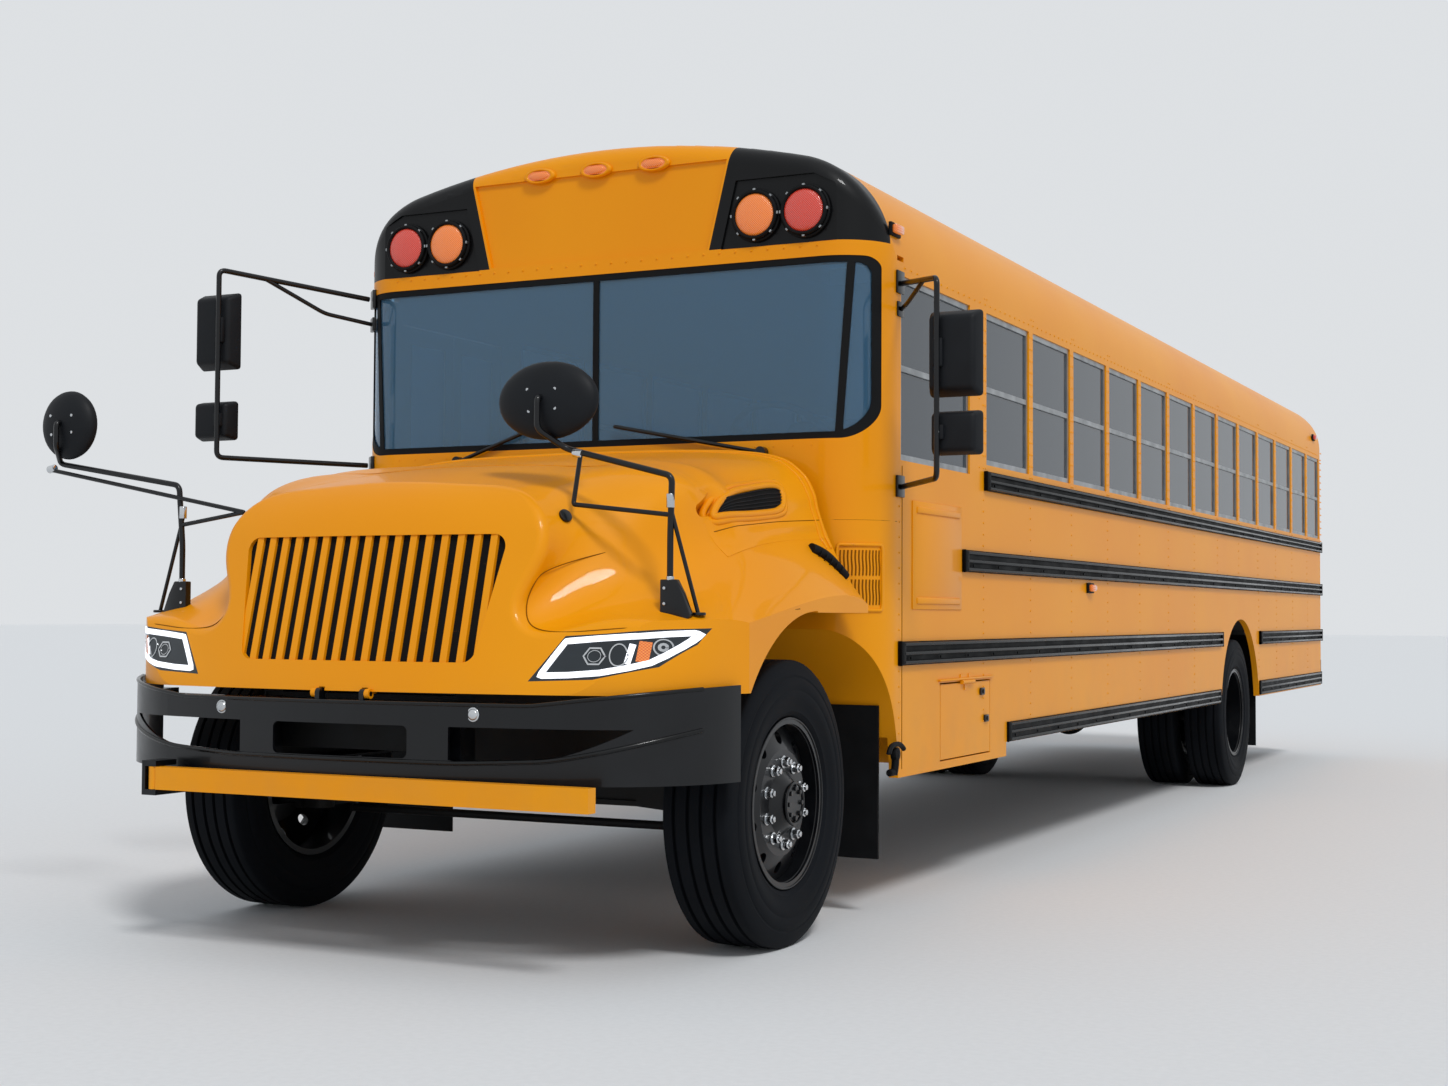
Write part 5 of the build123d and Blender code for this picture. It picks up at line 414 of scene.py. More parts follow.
# %% Plates, boxes, drums and hoops
def traced(corners, push):
    """A plate: a filled disc takes the outline's corners and is pushed to its depth."""
    take()
    bpy.ops.mesh.primitive_circle_add(vertices=len(corners), fill_type="NGON")
    piece = bpy.context.active_object
    for vertex, corner in zip(piece.data.vertices, corners):
        vertex.co = corner
    bpy.ops.object.mode_set(mode="EDIT")
    bpy.ops.mesh.select_all(action="SELECT")
    bpy.ops.mesh.extrude_region_move(TRANSFORM_OT_translate={"value": push})
    bpy.ops.object.mode_set(mode="OBJECT")
    turn_outward(piece)
    return piece


def softened(piece, width, segments=2):
    """Round a piece's sharp edges."""
    edge = piece.modifiers.new("edge", "BEVEL")
    edge.width = width
    edge.segments = segments
    edge.limit_method = "ANGLE"
    return piece


def block(low, high, round_edge):
    """A box between two corners with rounded edges."""
    take()
    middle = [(a + b) / 2 for a, b in zip(low, high)]
    bpy.ops.mesh.primitive_cube_add(size=1, location=middle)
    piece = bpy.context.active_object
    piece.scale = [b - a for a, b in zip(low, high)]
    firm(piece)
    return softened(piece, round_edge)


def drum(centre, axis, radius, depth, sides=32, round_edge=0.0):
    """A short round piece along an axis, with rounded rims."""
    take()
    turn = Vector(axis).to_track_quat("Z", "Y").to_euler()
    bpy.ops.mesh.primitive_cylinder_add(
        vertices=sides, radius=radius, depth=depth, location=centre, rotation=turn
    )
    piece = bpy.context.active_object
    if round_edge:
        softened(piece, round_edge)
    return piece


def hoop(centre, axis, radius, thick, stretch=(1, 1, 1), sides=48):
    """A ring about an axis."""
    take()
    turn = Vector(axis).to_track_quat("Z", "Y").to_euler()
    bpy.ops.mesh.primitive_torus_add(
        location=centre, rotation=turn, major_radius=radius, minor_radius=thick,
        major_segments=sides, minor_segments=10
    )
    piece = bpy.context.active_object
    bpy.ops.object.transform_apply(location=False, rotation=True, scale=True)
    piece.scale = stretch
    return piece

# %% [markdown]
# Mirror tubes, seat frames and rolled beads are all a round section along a line. A path
# with a bevel depth makes them, and is then turned into a mesh. A pipe adds a knot before
# and after each corner, so that it stays straight between its bends.

# %% Tubes, beads and pipes
def tube(knots, radius, sides, steps, closed=False):
    """A round tube along a soft path with these knots."""
    take()
    bpy.ops.curve.primitive_nurbs_path_add()
    line = bpy.context.active_object.data
    line.splines.clear()
    spline = line.splines.new("NURBS")
    spline.points.add(len(knots) - 1)
    for knot, point in zip(spline.points, knots):
        knot.co = (*point, 1)
    spline.order_u = 3
    spline.use_endpoint_u = not closed
    spline.use_cyclic_u = closed
    spline.resolution_u = steps
    line.dimensions = "3D"
    line.bevel_depth = radius
    line.bevel_resolution = sides
    line.use_fill_caps = True
    bpy.ops.object.convert(target="MESH")
    return bpy.context.active_object


def bead(points, radius, closed=False, sides=4):
    """A round bead along points that it passes close to."""
    return tube(points, radius, sides, 6, closed)


def pipe(points, radius, bend=0.06, sides=5):
    """A bent tube: a path keeps its straight runs and turns softly at each corner."""
    route = [Vector(points[0])]
    for before_it, corner, after_it in zip(points, points[1:], points[2:]):
        corner = Vector(corner)
        for other in (before_it, after_it):
            reach = min(bend, (Vector(other) - corner).length * 0.45)
            near = corner + (Vector(other) - corner).normalized() * reach
            route.append(near)
            if other is before_it:
                route.append(corner)
    route.append(Vector(points[-1]))
    return tube(route, radius, sides, 8)

# %% [markdown]
# A lamp's trim follows the glass under it. Measuring that curve by hand would be slow, so
# a flat strip is made ahead of the panel, Shrinkwrap projects it along one axis, and
# Solidify gives it a thickness.

# %% Strips laid on a panel
def ribbon(route, width, facing, step=0.02, closed=False):
    """A flat strip along a route; facing is the way that its face looks."""
    facing = Vector(facing)
    knots = [Vector(point) for point in route]
    if closed:
        knots.append(knots[0])
    fine = []
    for start, end in zip(knots, knots[1:]):
        parts_of_it = max(1, round((end - start).length / step))
        fine += [start.lerp(end, at / parts_of_it) for at in range(parts_of_it)]
    fine.append(knots[-1])
    take()
    bpy.ops.mesh.primitive_grid_add(x_subdivisions=len(fine) - 1, y_subdivisions=1)
    piece = bpy.context.active_object
    columns = len(fine)
    for at, point in enumerate(fine):
        if closed:
            along = fine[(at + 1) % (columns - 1)] - fine[(at - 1) % (columns - 1)]
        else:
            along = fine[min(at + 1, columns - 1)] - fine[max(at - 1, 0)]
        aside = facing.cross(along).normalized() * width / 2
        piece.data.vertices[at].co = point - aside
        piece.data.vertices[at + columns].co = point + aside
    return piece


def laid(piece, node, axis, back, lift=0.001, thick=0.002):
    """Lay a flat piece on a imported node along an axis, and give it a thickness."""
    wrap = piece.modifiers.new("wrap", "SHRINKWRAP")
    wrap.target = parts[node]
    wrap.wrap_method = "PROJECT"
    wrap.wrap_mode = "ABOVE_SURFACE"
    wrap.use_project_x = axis == "x"
    wrap.use_project_y = axis == "y"
    wrap.use_project_z = axis == "z"
    wrap.use_positive_direction = not back
    wrap.use_negative_direction = back
    wrap.offset = lift
    wall = piece.modifiers.new("wall", "SOLIDIFY")
    wall.thickness = thick
    wall.offset = 0
    return firm(piece)

# %% [markdown]
# Wheel nuts and rivets are all alike, so one is modelled and then repeated: spin copies it
# round an axis, and an array copies it along a line at its real spacing.

# %% Rings and rows
def spun(piece, centre, axis, times, whole=2 * pi):
    """Repeat a firm piece around an axis."""
    take(piece)
    bpy.ops.object.mode_set(mode="EDIT")
    bpy.ops.mesh.select_all(action="SELECT")
    bpy.ops.mesh.spin(steps=times, dupli=True, angle=whole, center=centre, axis=axis)
    bpy.ops.object.mode_set(mode="OBJECT")
    turn_outward(piece)
    return piece


def row(piece, times, stride):
    """Repeat a piece in a straight row."""
    repeat = piece.modifiers.new("row", "ARRAY")
    repeat.count = times
    repeat.use_relative_offset = False
    repeat.use_constant_offset = True
    repeat.constant_offset_displace = stride
    return firm(piece)


print("helpers ready")

# %% [markdown]
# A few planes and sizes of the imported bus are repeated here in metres, because most new
# pieces stand on the windshield face, the sides, the rear wall or a wheel.

# %% Sizes of the bus
FRONT_AXLE = -4.875
REAR_AXLE = 2.512
FACE = -4.275
SIDE = 1.219
BODY_END = 5.912
BAY_START = -2.961
BAY_PITCH = 0.681
TYRE_R = 0.5
BOW_R = 4.05


def bow(x):
    """How far the nose falls back at a distance from the middle."""
    return BOW_R - sqrt(BOW_R ** 2 - x ** 2)


print("side", SIDE, "face", FACE, "end", BODY_END)

# %% [markdown]
# Behind the grille's slats the real bus has a black mesh that keeps leaves off the radiator.
# A sheet with the nose's bow and lean stands just behind the slats' faces.

# %% Grille mesh
SLAT_FOOT = -5.877
NOSE_LEAN = 0.247
take()
bpy.ops.mesh.primitive_grid_add(x_subdivisions=24, y_subdivisions=8)
grille_mesh = bpy.context.active_object
for vertex in grille_mesh.data.vertices:
    along, high = vertex.co.x, (vertex.co.y + 1) / 2
    z = 0.992 + 0.43 * high
    x = along * (0.472 + 0.066 * high)
    vertex.co = (x, SLAT_FOOT + (z - 0.995) * NOSE_LEAN + bow(x) + 0.013, z)
sheet = grille_mesh.modifiers.new("sheet", "SOLIDIFY")
sheet.thickness = 0.001
grille_mesh = settle([grille_mesh], "grille_mesh", hole_black, "hood")
print("grille mesh", len(grille_mesh.data.polygons))

# %% [markdown]
# The headlamp is a clear cover over a smoked housing. A lit light guide runs round it, and
# inside stand a projector with a six-sided ring, a round lens, a white bar and an amber one.
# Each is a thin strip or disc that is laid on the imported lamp, so it follows the wrap.

# %% Headlamps
GUIDE = (
    (0.707, 0.960), (0.752, 1.028), (0.780, 1.069), (0.880, 1.078), (1.004, 1.087),
    (1.080, 1.094), (1.128, 1.097), (1.139, 1.092), (1.124, 1.072), (1.104, 1.053),
    (1.070, 1.026), (1.034, 1.003), (0.981, 0.988), (0.900, 0.971), (0.800, 0.963),
)
LAMP_Y = -6.1


def on_lamp(points, lift=0.0015, thick=0.002, width=None, closed=True):
    """Both sides' strip or plate, laid on the headlamps along the bus."""
    made = []
    for side in (1, -1):
        corners = [(side * x, LAMP_Y, z) for x, z in points]
        piece = ribbon(corners, width, (0, -1, 0), 0.008, closed)
        made.append(laid(piece, "headlamps", "y", False, lift, thick))
    return made


def round_loop(x, z, radius_x, radius_z, corners=24, turn=0.0):
    """Points round an ellipse, or round a polygon when the corners are few."""
    return [
        (x + radius_x * cos(turn + 2 * pi * k / corners), z + radius_z * sin(turn + 2 * pi * k / corners))
        for k in range(corners)
    ]

# %% [markdown]
# The guide is white plastic lit from one end, so its glow is uneven: soft noise sets its
# strength. The projectors' rings are thin chromed strips, and the bars are short, wide
# ones in white and amber.

# %% Light guides, rings and bars
guide_light, guide_tree, guide_place = new_finish("guide_light")
guide_cloud = speckle(guide_tree, guide_place, 30.0).outputs["Fac"]
guide_streak = between(guide_tree, guide_cloud, 0.3, 0.7, 0.75, 0.95)
guide_shader = add_node(
    guide_tree,
    "ShaderNodeBsdfPrincipled",
    {"Base Color": linear("#F4F6FA"), "Roughness": 0.2, "Emission Color": linear("#F2F5FF")},
    {"Emission Strength": guide_streak},
)
close_finish(guide_tree, guide_shader)
smoked_cover = solid_finish("smoked_cover", "#20262B", "#2A3238", 0.08, 20.0, 0.01, coat=0.4)
parts["headlamps"].material_slots[0].material = smoked_cover

light_guides = settle(on_lamp(GUIDE, 0.002, 0.003, 0.019), "light_guides", guide_light, "hood")
settle(
    on_lamp(round_loop(0.877, 1.023, 0.035, 0.029, 6), 0.0015, 0.002, 0.005)
    + on_lamp(round_loop(0.877, 1.023, 0.021, 0.018, 20), 0.0015, 0.002, 0.002)
    + on_lamp(round_loop(0.952, 1.028, 0.027, 0.034, 24), 0.0015, 0.002, 0.004)
    + on_lamp(round_loop(1.064, 1.052, 0.022, 0.025, 24), 0.0015, 0.002, 0.004)
    + on_lamp(round_loop(1.064, 1.052, 0.009, 0.010, 12), 0.0015, 0.002, 0.008),
    "lamp_rings",
    chrome_plate,
    "hood",
)
settle(
    on_lamp([(0.992, 1.062), (0.976, 0.999)], 0.0015, 0.002, 0.017, False),
    "lamp_bars",
    guide_light,
    "hood",
)
settle(
    on_lamp([(1.024, 1.07), (1.014, 1.006)], 0.0015, 0.002, 0.032, False),
    "lamp_turn_bars",
    amber_moulding,
    "hood",
)
print("headlamps", len(light_guides.data.polygons))

# %% [markdown]
# A warning lamp is a domed lens that a black ring holds down with eight small clips.
# The same functions make the lamps on the cap and those on the rear wall.
# The dome is a squashed ball cut in half, so that only the proud half is left.

# %% Warning lamps
def lens_dome(x, y, z, radius, proud, way):
    """Half of a flattened ball; way is -1 on the front face and 1 on the rear wall."""
    take()
    bpy.ops.mesh.primitive_uv_sphere_add(
        segments=40, ring_count=20, radius=radius, location=(x, y, z), rotation=(pi / 2, 0, 0)
    )
    dome = bpy.context.active_object
    bpy.ops.object.transform_apply(location=False, rotation=True, scale=False)
    dome.scale = (1, proud / radius, 1)
    firm(dome)
    bpy.ops.object.mode_set(mode="EDIT")
    bpy.ops.mesh.select_all(action="SELECT")
    bpy.ops.mesh.bisect(plane_co=(x, y, z), plane_no=(0, way, 0), clear_inner=True, use_fill=True)
    bpy.ops.object.mode_set(mode="OBJECT")
    return dome


def lens_ring(x, y, z, radius, way):
    """The black ring round a lens and a lower flange on the panel."""
    rim = hoop((x, y + way * 0.002, z), (0, 1, 0), radius + 0.004, 0.008, (1, 1.3, 1))
    foot = hoop((x, y - way * 0.012, z), (0, 1, 0), radius + 0.013, 0.007, (1, 0.9, 1))
    return [rim, foot]


def lens_clips(x, y, z, radius, way):
    """Eight clips at the ring's edge."""
    reach = radius + 0.009
    clip = block((x - 0.006, y - 0.008, z + reach - 0.005), (x + 0.006, y + 0.008, z + reach + 0.008), 0.002)
    firm(clip)
    return spun(clip, (x, y, z), (0, 1, 0), 8)

# %% [markdown]
# The cap carries an amber and a red lamp on each side, amber inboard. The rear wall has
# the same four, with smaller turn and brake lamps below them.

# %% Place the lenses
LENS_FRONT = FACE - 0.013
LENS_REAR = BODY_END + 0.013
amber_domes = []
red_domes = []
rings = []
clips = []
for side in (1, -1):
    for x, domes in ((0.719, amber_domes), (0.929, red_domes)):
        domes.append(lens_dome(side * x, LENS_FRONT, 2.715, 0.084, 0.020, -1))
        rings += lens_ring(side * x, LENS_FRONT, 2.715, 0.086, -1)
        clips.append(lens_clips(side * x, LENS_FRONT, 2.715, 0.086, -1))
        domes.append(lens_dome(side * x, LENS_REAR, 2.69, 0.084, 0.020, 1))
        rings += lens_ring(side * x, LENS_REAR, 2.69, 0.086, 1)
        clips.append(lens_clips(side * x, LENS_REAR, 2.69, 0.086, 1))
    for z, domes in ((1.25, amber_domes), (1.5, red_domes)):
        domes.append(lens_dome(side * 1.02, LENS_REAR, z, 0.074, 0.014, 1))
        rings += lens_ring(side * 1.02, LENS_REAR, z, 0.076, 1)
settle(amber_domes, "amber_lenses", amber_moulding)
settle(red_domes, "red_lenses", red_moulding)
settle(rings, "lens_rings", gasket_rubber)
settle(clips, "lens_clips", mill_aluminium)
print("lenses", len(amber_domes), len(red_domes))

# %% [markdown]
# Three small oval lamps sit in a row above the windshield. Domes from the warning lamps'
# function are stretched across, and a flattened ring rims each.

# %% Clearance lamps
CLEARANCE_XS = (-0.267, 0, 0.267)
CLEARANCE_Z = 2.962
ovals = [
    hoop((x, FACE - 0.004, CLEARANCE_Z), (0, 1, 0), 0.036, 0.008, (1.7, 1.6, 0.72)) for x in CLEARANCE_XS
]
settle(ovals, "clearance_rims", yellow_enamel)
small_lenses = [lens_dome(x, FACE - 0.012, CLEARANCE_Z, 0.017, 0.01, -1) for x in CLEARANCE_XS]
for piece, x in zip(small_lenses, CLEARANCE_XS):
    for vertex in piece.data.vertices:
        vertex.co.x = x + (vertex.co.x - x) * 2.9
settle(small_lenses, "clearance_lenses", amber_moulding)
print("clearance lamps", len(small_lenses))

# %% [markdown]
# Flat boxes with soft edges mark the sides: an amber one at the front and in the middle of
# each side, and a red one behind. Each sits on a thin rubber base.

# %% Marker lamps
markers_amber = []
markers_red = []
bases = []
MARKERS = (
    (-4.058, 2.655, markers_amber),
    (-1.321, 1.301, markers_amber),
    (5.55, 2.655, markers_red),
)
for side in (1, -1):
    for y, z, boxes in MARKERS:
        face_x = side * (SIDE if z < 2 else SIDE - 0.012)
        low, high = sorted((face_x, face_x + side * 0.014))
        bases.append(block((low, y - 0.052, z - 0.026), (high, y + 0.052, z + 0.026), 0.004))
        low, high = sorted((face_x + side * 0.010, face_x + side * 0.034))
        boxes.append(block((low, y - 0.042, z - 0.018), (high, y + 0.042, z + 0.018), 0.009))
settle(markers_amber, "marker_ambers", amber_moulding)
settle(markers_red, "marker_reds", red_moulding)
settle(bases, "marker_bases", gasket_rubber)
print("marker lamps", len(bases))

# %% [markdown]
# A tyre is a body of revolution, so its section is drawn once and spun about the axle.
# The section has four tread grooves, worn shoulders, two rings on each sidewall and a bead
# on the rim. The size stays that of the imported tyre, which it replaces.

# %% Tyres
HALF_SECTION = (
    (0.105, 0.2988), (0.113, 0.304), (0.120, 0.316), (0.1235, 0.320), (0.1235, 0.327), (0.1275, 0.343),
    (0.1330, 0.364), (0.1370, 0.388), (0.1355, 0.391), (0.1355, 0.396), (0.1370, 0.399), (0.1350, 0.418),
    (0.1325, 0.436), (0.1305, 0.438), (0.1300, 0.444), (0.1312, 0.446), (0.1265, 0.470), (0.1190, 0.492),
    (0.1140, 0.4972), (0.1080, 0.4995), (0.0830, 0.5), (0.0810, 0.487), (0.0710, 0.487), (0.0690, 0.5),
    (0.0310, 0.5), (0.0290, 0.487), (0.0190, 0.487), (0.0170, 0.5),
)


def tyre(x, y):
    """One tyre round the axle at a wheel's middle plane."""
    section = [(x + across_it, y, TYRE_R - radius) for across_it, radius in HALF_SECTION]
    section += [(x - across_it, y, TYRE_R - radius) for across_it, radius in reversed(HALF_SECTION)]
    take()
    bpy.ops.mesh.primitive_circle_add(vertices=len(section), fill_type="NOTHING")
    piece = bpy.context.active_object
    for vertex, corner in zip(piece.data.vertices, section):
        vertex.co = corner
    bpy.ops.object.mode_set(mode="EDIT")
    bpy.ops.mesh.select_all(action="SELECT")
    bpy.ops.mesh.spin(steps=96, angle=2 * pi, center=(x, y, TYRE_R), axis=(1, 0, 0), use_auto_merge=True)
    bpy.ops.object.mode_set(mode="OBJECT")
    return piece

# %% [markdown]
# Ten nuts hold each wheel. One nut with its cap and washer is modelled and spun about the
# axle. Thin rings trim the rim, and eight bolts close the hub. Each tyre replaces its packed
# node and rides on its own wheel, so it turns and steers with it.

# %% Wheels
def nuts(x, y, face, way, pitch=0.143, count=10):
    """Wheel nuts on their studs round a hub; way is the outboard direction."""
    nut = drum((x + face, y, TYRE_R + pitch), (1, 0, 0), 0.018, 0.026, 6, 0.003)
    cap = drum((x + face + way * 0.016, y, TYRE_R + pitch), (1, 0, 0), 0.011, 0.012, 12, 0.004)
    washer = drum((x + face - way * 0.010, y, TYRE_R + pitch), (1, 0, 0), 0.022, 0.006, 18, 0.001)
    return spun(fused([nut, cap, washer]), (x, y, TYRE_R), (1, 0, 0), count)


WHEELS = (
    ("front_left", 1, 1.0235, FRONT_AXLE, "wheel_front_left", ["front_tyre_left"]),
    ("front_right", -1, 1.0235, FRONT_AXLE, "wheel_front_right", ["front_tyre_right"]),
    ("rear_left", 1, 1.0585, REAR_AXLE, "wheels_rear_left", ["rear_tyres_left"]),
    ("rear_right", -1, 1.0585, REAR_AXLE, "wheels_rear_right", ["rear_tyres_right"]),
)
for name, side, track, axle, body, old in WHEELS:
    front = axle == FRONT_AXLE
    rubber = [tyre(side * track, axle)]
    if not front:
        rubber.append(tyre(side * 0.7405, axle))
    rubber = settle(rubber, "tyre_" + name, tyre_rubber, body, 40)
    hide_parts(*old)
    face = side * (0.092 + 0.013) if front else -side * (1.0585 - 0.9115 - 0.013)
    nut_ring = nuts(side * track, axle, face, side)
    settle([nut_ring], "nuts_" + name, chrome_plate, body)
    lip = hoop((side * (track + 0.114), axle, TYRE_R), (1, 0, 0), 0.2955, 0.0035, sides=72)
    well = hoop((side * (track + 0.100), axle, TYRE_R), (1, 0, 0), 0.277, 0.0030, sides=72)
    cap_end = side * (track + 0.138) if front else side * 1.040
    cap_radius = 0.072 if front else 0.078
    hub_rim = hoop((cap_end, axle, TYRE_R), (1, 0, 0), cap_radius, 0.006, sides=48)
    bolt = drum((cap_end, axle, TYRE_R + 0.052), (1, 0, 0), 0.009, 0.016, 6, 0.001)
    hub_bolts = spun(firm(bolt), (cap_end, axle, TYRE_R), (1, 0, 0), 8)
    settle([lip, well, hub_rim, hub_bolts], "rim_trim_" + name, black_enamel, body)
print("wheels", len(WHEELS))

# %% [markdown]
# The mirrors have moulded plastic heads on bent steel tubes. A head is a box whose front
# face is drawn in and whose edges are rounded; the silvered glass looks back to the driver.
# A path with a round section makes each tube, and it turns softly at its corners.

# %% Mirror heads
def mirror_head(x, y, z, wide, tall, deep=0.07):
    """A moulded shell that narrows to the front, and a channel for the tube."""
    shell = block((x - wide / 2, y - deep, z - tall / 2), (x + wide / 2, y, z + tall / 2), 0.016)
    shell.modifiers["edge"].segments = 4
    for vertex in shell.data.vertices:
        if vertex.co.y < y - deep / 2:
            vertex.co.x = x + (vertex.co.x - x) * 0.80
            vertex.co.z = z + (vertex.co.z - z) * 0.82
    clamp_x = x - (0.05 if x > 0 else -0.05)
    channel = block(
        (clamp_x - 0.020, y - deep - 0.016, z - tall * 0.16),
        (clamp_x + 0.020, y - deep + 0.02, z + tall * 0.16),
        0.005,
    )
    return [shell, channel], clamp_x


def mirror_glass(x, y, z, wide, tall):
    """A silvered plate with round corners, inside the shell's rim."""
    plate = block(
        (x - wide / 2 + 0.012, y - 0.004, z - tall / 2 + 0.012),
        (x + wide / 2 - 0.012, y + 0.003, z + tall / 2 - 0.012),
        0.03,
    )
    plate.modifiers["edge"].segments = 5
    plate.modifiers["edge"].limit_method = "NONE"
    return plate


HEADS = (
    (1.5475, -4.275, 2.125, 0.215, 0.33),
    (1.5525, -4.275, 1.83, 0.205, 0.17),
    (-1.5475, -4.725, 2.33, 0.215, 0.33),
    (-1.5525, -4.725, 1.955, 0.205, 0.17),
)
shells = []
glasses = []
clamps = []
for x, y, z, wide, tall in HEADS:
    made, clamp_x = mirror_head(x, y, z, wide, tall)
    shells += made
    glasses.append(mirror_glass(x, y, z, wide, tall))
    clamps.append(drum((clamp_x, y - 0.088, z), (0, 1, 0), 0.006, 0.006, 10, 0.001))

# %% [markdown]
# The left mirrors hang on a loop of tube with one brace, and so do the right ones, further
# forward. Small feet bolt each loop to the body. Their ends were measured on the
# photograph, where the tubes stand out against the wall.

# %% Mirror tubes
TUBES = (
    (((1.231, -4.023, 2.45), (1.4975, -4.361, 2.40), (1.4975, -4.361, 1.66), (1.231, -4.023, 1.655)), 0.011),
    (
        (
            (-1.1686, -4.2246, 2.52), (-1.4975, -4.811, 2.58),
            (-1.4975, -4.811, 1.797), (-1.1686, -4.2246, 1.795),
        ),
        0.011,
    ),
    (((-1.40, -4.637, 2.562), (-1.27, -4.40, 2.44), (-1.155, -4.205, 2.41)), 0.009),
    (((1.40, -4.237, 2.418), (1.28, -4.09, 2.36), (1.222, -4.01, 2.35)), 0.009),
)
tubes = [pipe(route, radius) for route, radius in TUBES]
feet = [
    block((SIDE, -4.060, 2.41), (SIDE + 0.010, -3.985, 2.50), 0.004),
    block((SIDE, -4.050, 2.32), (SIDE + 0.008, -3.985, 2.38), 0.004),
    block((SIDE, -4.060, 1.615), (SIDE + 0.012, -3.985, 1.70), 0.004),
]
for z, tall in ((2.52, 0.04), (2.41, 0.03), (1.795, 0.04)):
    foot = block((-0.035, -0.008, -tall), (0.035, 0.008, tall), 0.004)
    foot.rotation_euler = (0, 0, radians(-45))
    foot.location = (-1.1550, -4.2110, z)
    feet.append(foot)
mirror_shells = settle(shells, "mirror_shells", grained_plastic)
settle(glasses, "mirror_plates", chrome_plate)
settle(tubes + feet, "mirror_tubes", black_enamel)
settle(clamps, "mirror_screws", mill_aluminium)
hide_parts("side_mirrors")
print("mirror heads", len(HEADS))

# %% [markdown]
# The cross-view mirrors stand on the fenders, so they tilt with the hood. Each is a bowl
# of black plastic with a domed glass behind, on a tube that a plate and two struts steady.

# %% Cross-view mirrors
CROSS_Y = -5.582


def bowl(x, z, half_x, half_z):
    """The black bowl in front, its rim, and the domed glass behind."""
    made = []
    for way, deep, shrink in ((-1, 0.055, 1.0), (1, 0.034, 0.94)):
        dome = lens_dome(0, 0, 0, 1.0, deep, way)
        dome.scale = (half_x * shrink, 1, half_z * shrink)
        dome.location = (x, -5.598, z)
        made.append(firm(dome))
    rim = hoop((x, -5.598, z), (0, 1, 0), 1.0, 0.03, (half_x - 0.006, 0.4, half_z - 0.006))
    return made[0], made[1], rim


cross_shells = []
cross_plates = []
for x, half in ((0.59, 0.19), (-1.525, 0.13)):
    shell, plate, rim = bowl(x, 1.86, half, 0.13)
    cross_shells += [shell, rim]
    cross_plates.append(plate)
print("cross-view bowls", len(cross_plates))

# %% [markdown]
# Each arm is one bent tube from the front of the bowl down to a plate on the fender. Two
# thin struts brace it, chromed collars clamp it, and small bolts hold the plate and bowl.

# %% Cross-view arms
cross_tubes = []
collars = []
CROSS_FRONT = -5.668
CROSS_ARMS = (
    (1, 0.59, 1.70, (1.045, 1.60), 1.04),
    (-1, -1.525, 1.716, (-1.0, 1.62), -0.98),
)
for side, head_x, bend_z, elbow, foot_x in CROSS_ARMS:
    cross_tubes.append(
        pipe(
            (
                (head_x, -5.64, 1.87), (head_x, CROSS_FRONT, 1.86), (head_x, CROSS_FRONT, bend_z + 0.06),
                (head_x + side * 0.06, CROSS_Y, bend_z), (elbow[0], CROSS_Y, elbow[1]),
                (foot_x, CROSS_Y, 1.40), (foot_x, CROSS_Y, 1.10),
            ),
            0.0105,
            0.05,
        )
    )
    near = (head_x + side * 0.115, CROSS_Y, bend_z - 0.02)
    ball = (side * 0.66, -5.60, 1.478)
    strut = (near, (side * 0.685, CROSS_Y - 0.01, 1.515), (foot_x, CROSS_Y, 1.475))
    cross_tubes.append(pipe(strut, 0.008, 0.02))
    cross_tubes.append(drum(ball, (side * 0.8, -0.3, 0.5), 0.024, 0.012, 20, 0.004))
    cross_tubes.append(pipe(((foot_x, CROSS_Y, 1.50), (side * 1.12, -5.54, 1.160)), 0.007, 0.02))
    cross_tubes.append(drum((side * 1.122, -5.54, 1.158), (0, 0, 1), 0.024, 0.010, 20, 0.003))
    edge_x = foot_x - side * 0.030
    plate = [
        (edge_x, CROSS_Y - 0.014, 1.105), (edge_x + side * 0.082, CROSS_Y - 0.014, 1.100),
        (edge_x + side * 0.108, CROSS_Y - 0.014, 1.155), (edge_x + side * 0.080, CROSS_Y - 0.014, 1.225),
        (edge_x + side * 0.056, CROSS_Y - 0.014, 1.268), (edge_x, CROSS_Y - 0.014, 1.268),
    ]
    cross_tubes.append(softened(traced(plate, (0, 0.030, 0)), 0.004))
    collars.append(drum((foot_x, CROSS_Y, 1.52), (0, 0, 1), 0.0135, 0.045, 20, 0.002))
    collars.append(drum((foot_x, CROSS_Y, 1.268), (0, 0, 1), 0.0135, 0.020, 20, 0.002))
    sleeve = (near[0] - side * 0.01, CROSS_Y, near[2] + 0.003)
    collars.append(drum(sleeve, (side, 0, -0.2), 0.0145, 0.034, 20, 0.003))
    for bolt_x, bolt_z in ((0.018, 1.240), (0.018, 1.190), (0.014, 1.130), (0.070, 1.130)):
        bolt = (edge_x + side * bolt_x, CROSS_Y - 0.016, bolt_z)
        collars.append(drum(bolt, (0, 1, 0), 0.0055, 0.008, 8, 0.001))
    for turn in (0.7, 2.4, 4.0, 5.6):
        bolt_x, bolt_z = head_x + 0.07 * cos(turn), 1.86 + 0.05 * sin(turn)
        collars.append(drum((bolt_x, -5.643, bolt_z), (0, 1, 0), 0.006, 0.012, 8, 0.001))
cross_heads = settle(cross_shells, "cross_heads", grained_plastic, "hood")
settle(cross_plates, "cross_glass", chrome_plate, "hood")
settle(cross_tubes, "cross_arms", black_enamel, "hood")
settle(collars, "cross_collars", chrome_plate, "hood")
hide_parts("crossview_mirrors")
print("cross-view mirrors", len(cross_tubes))

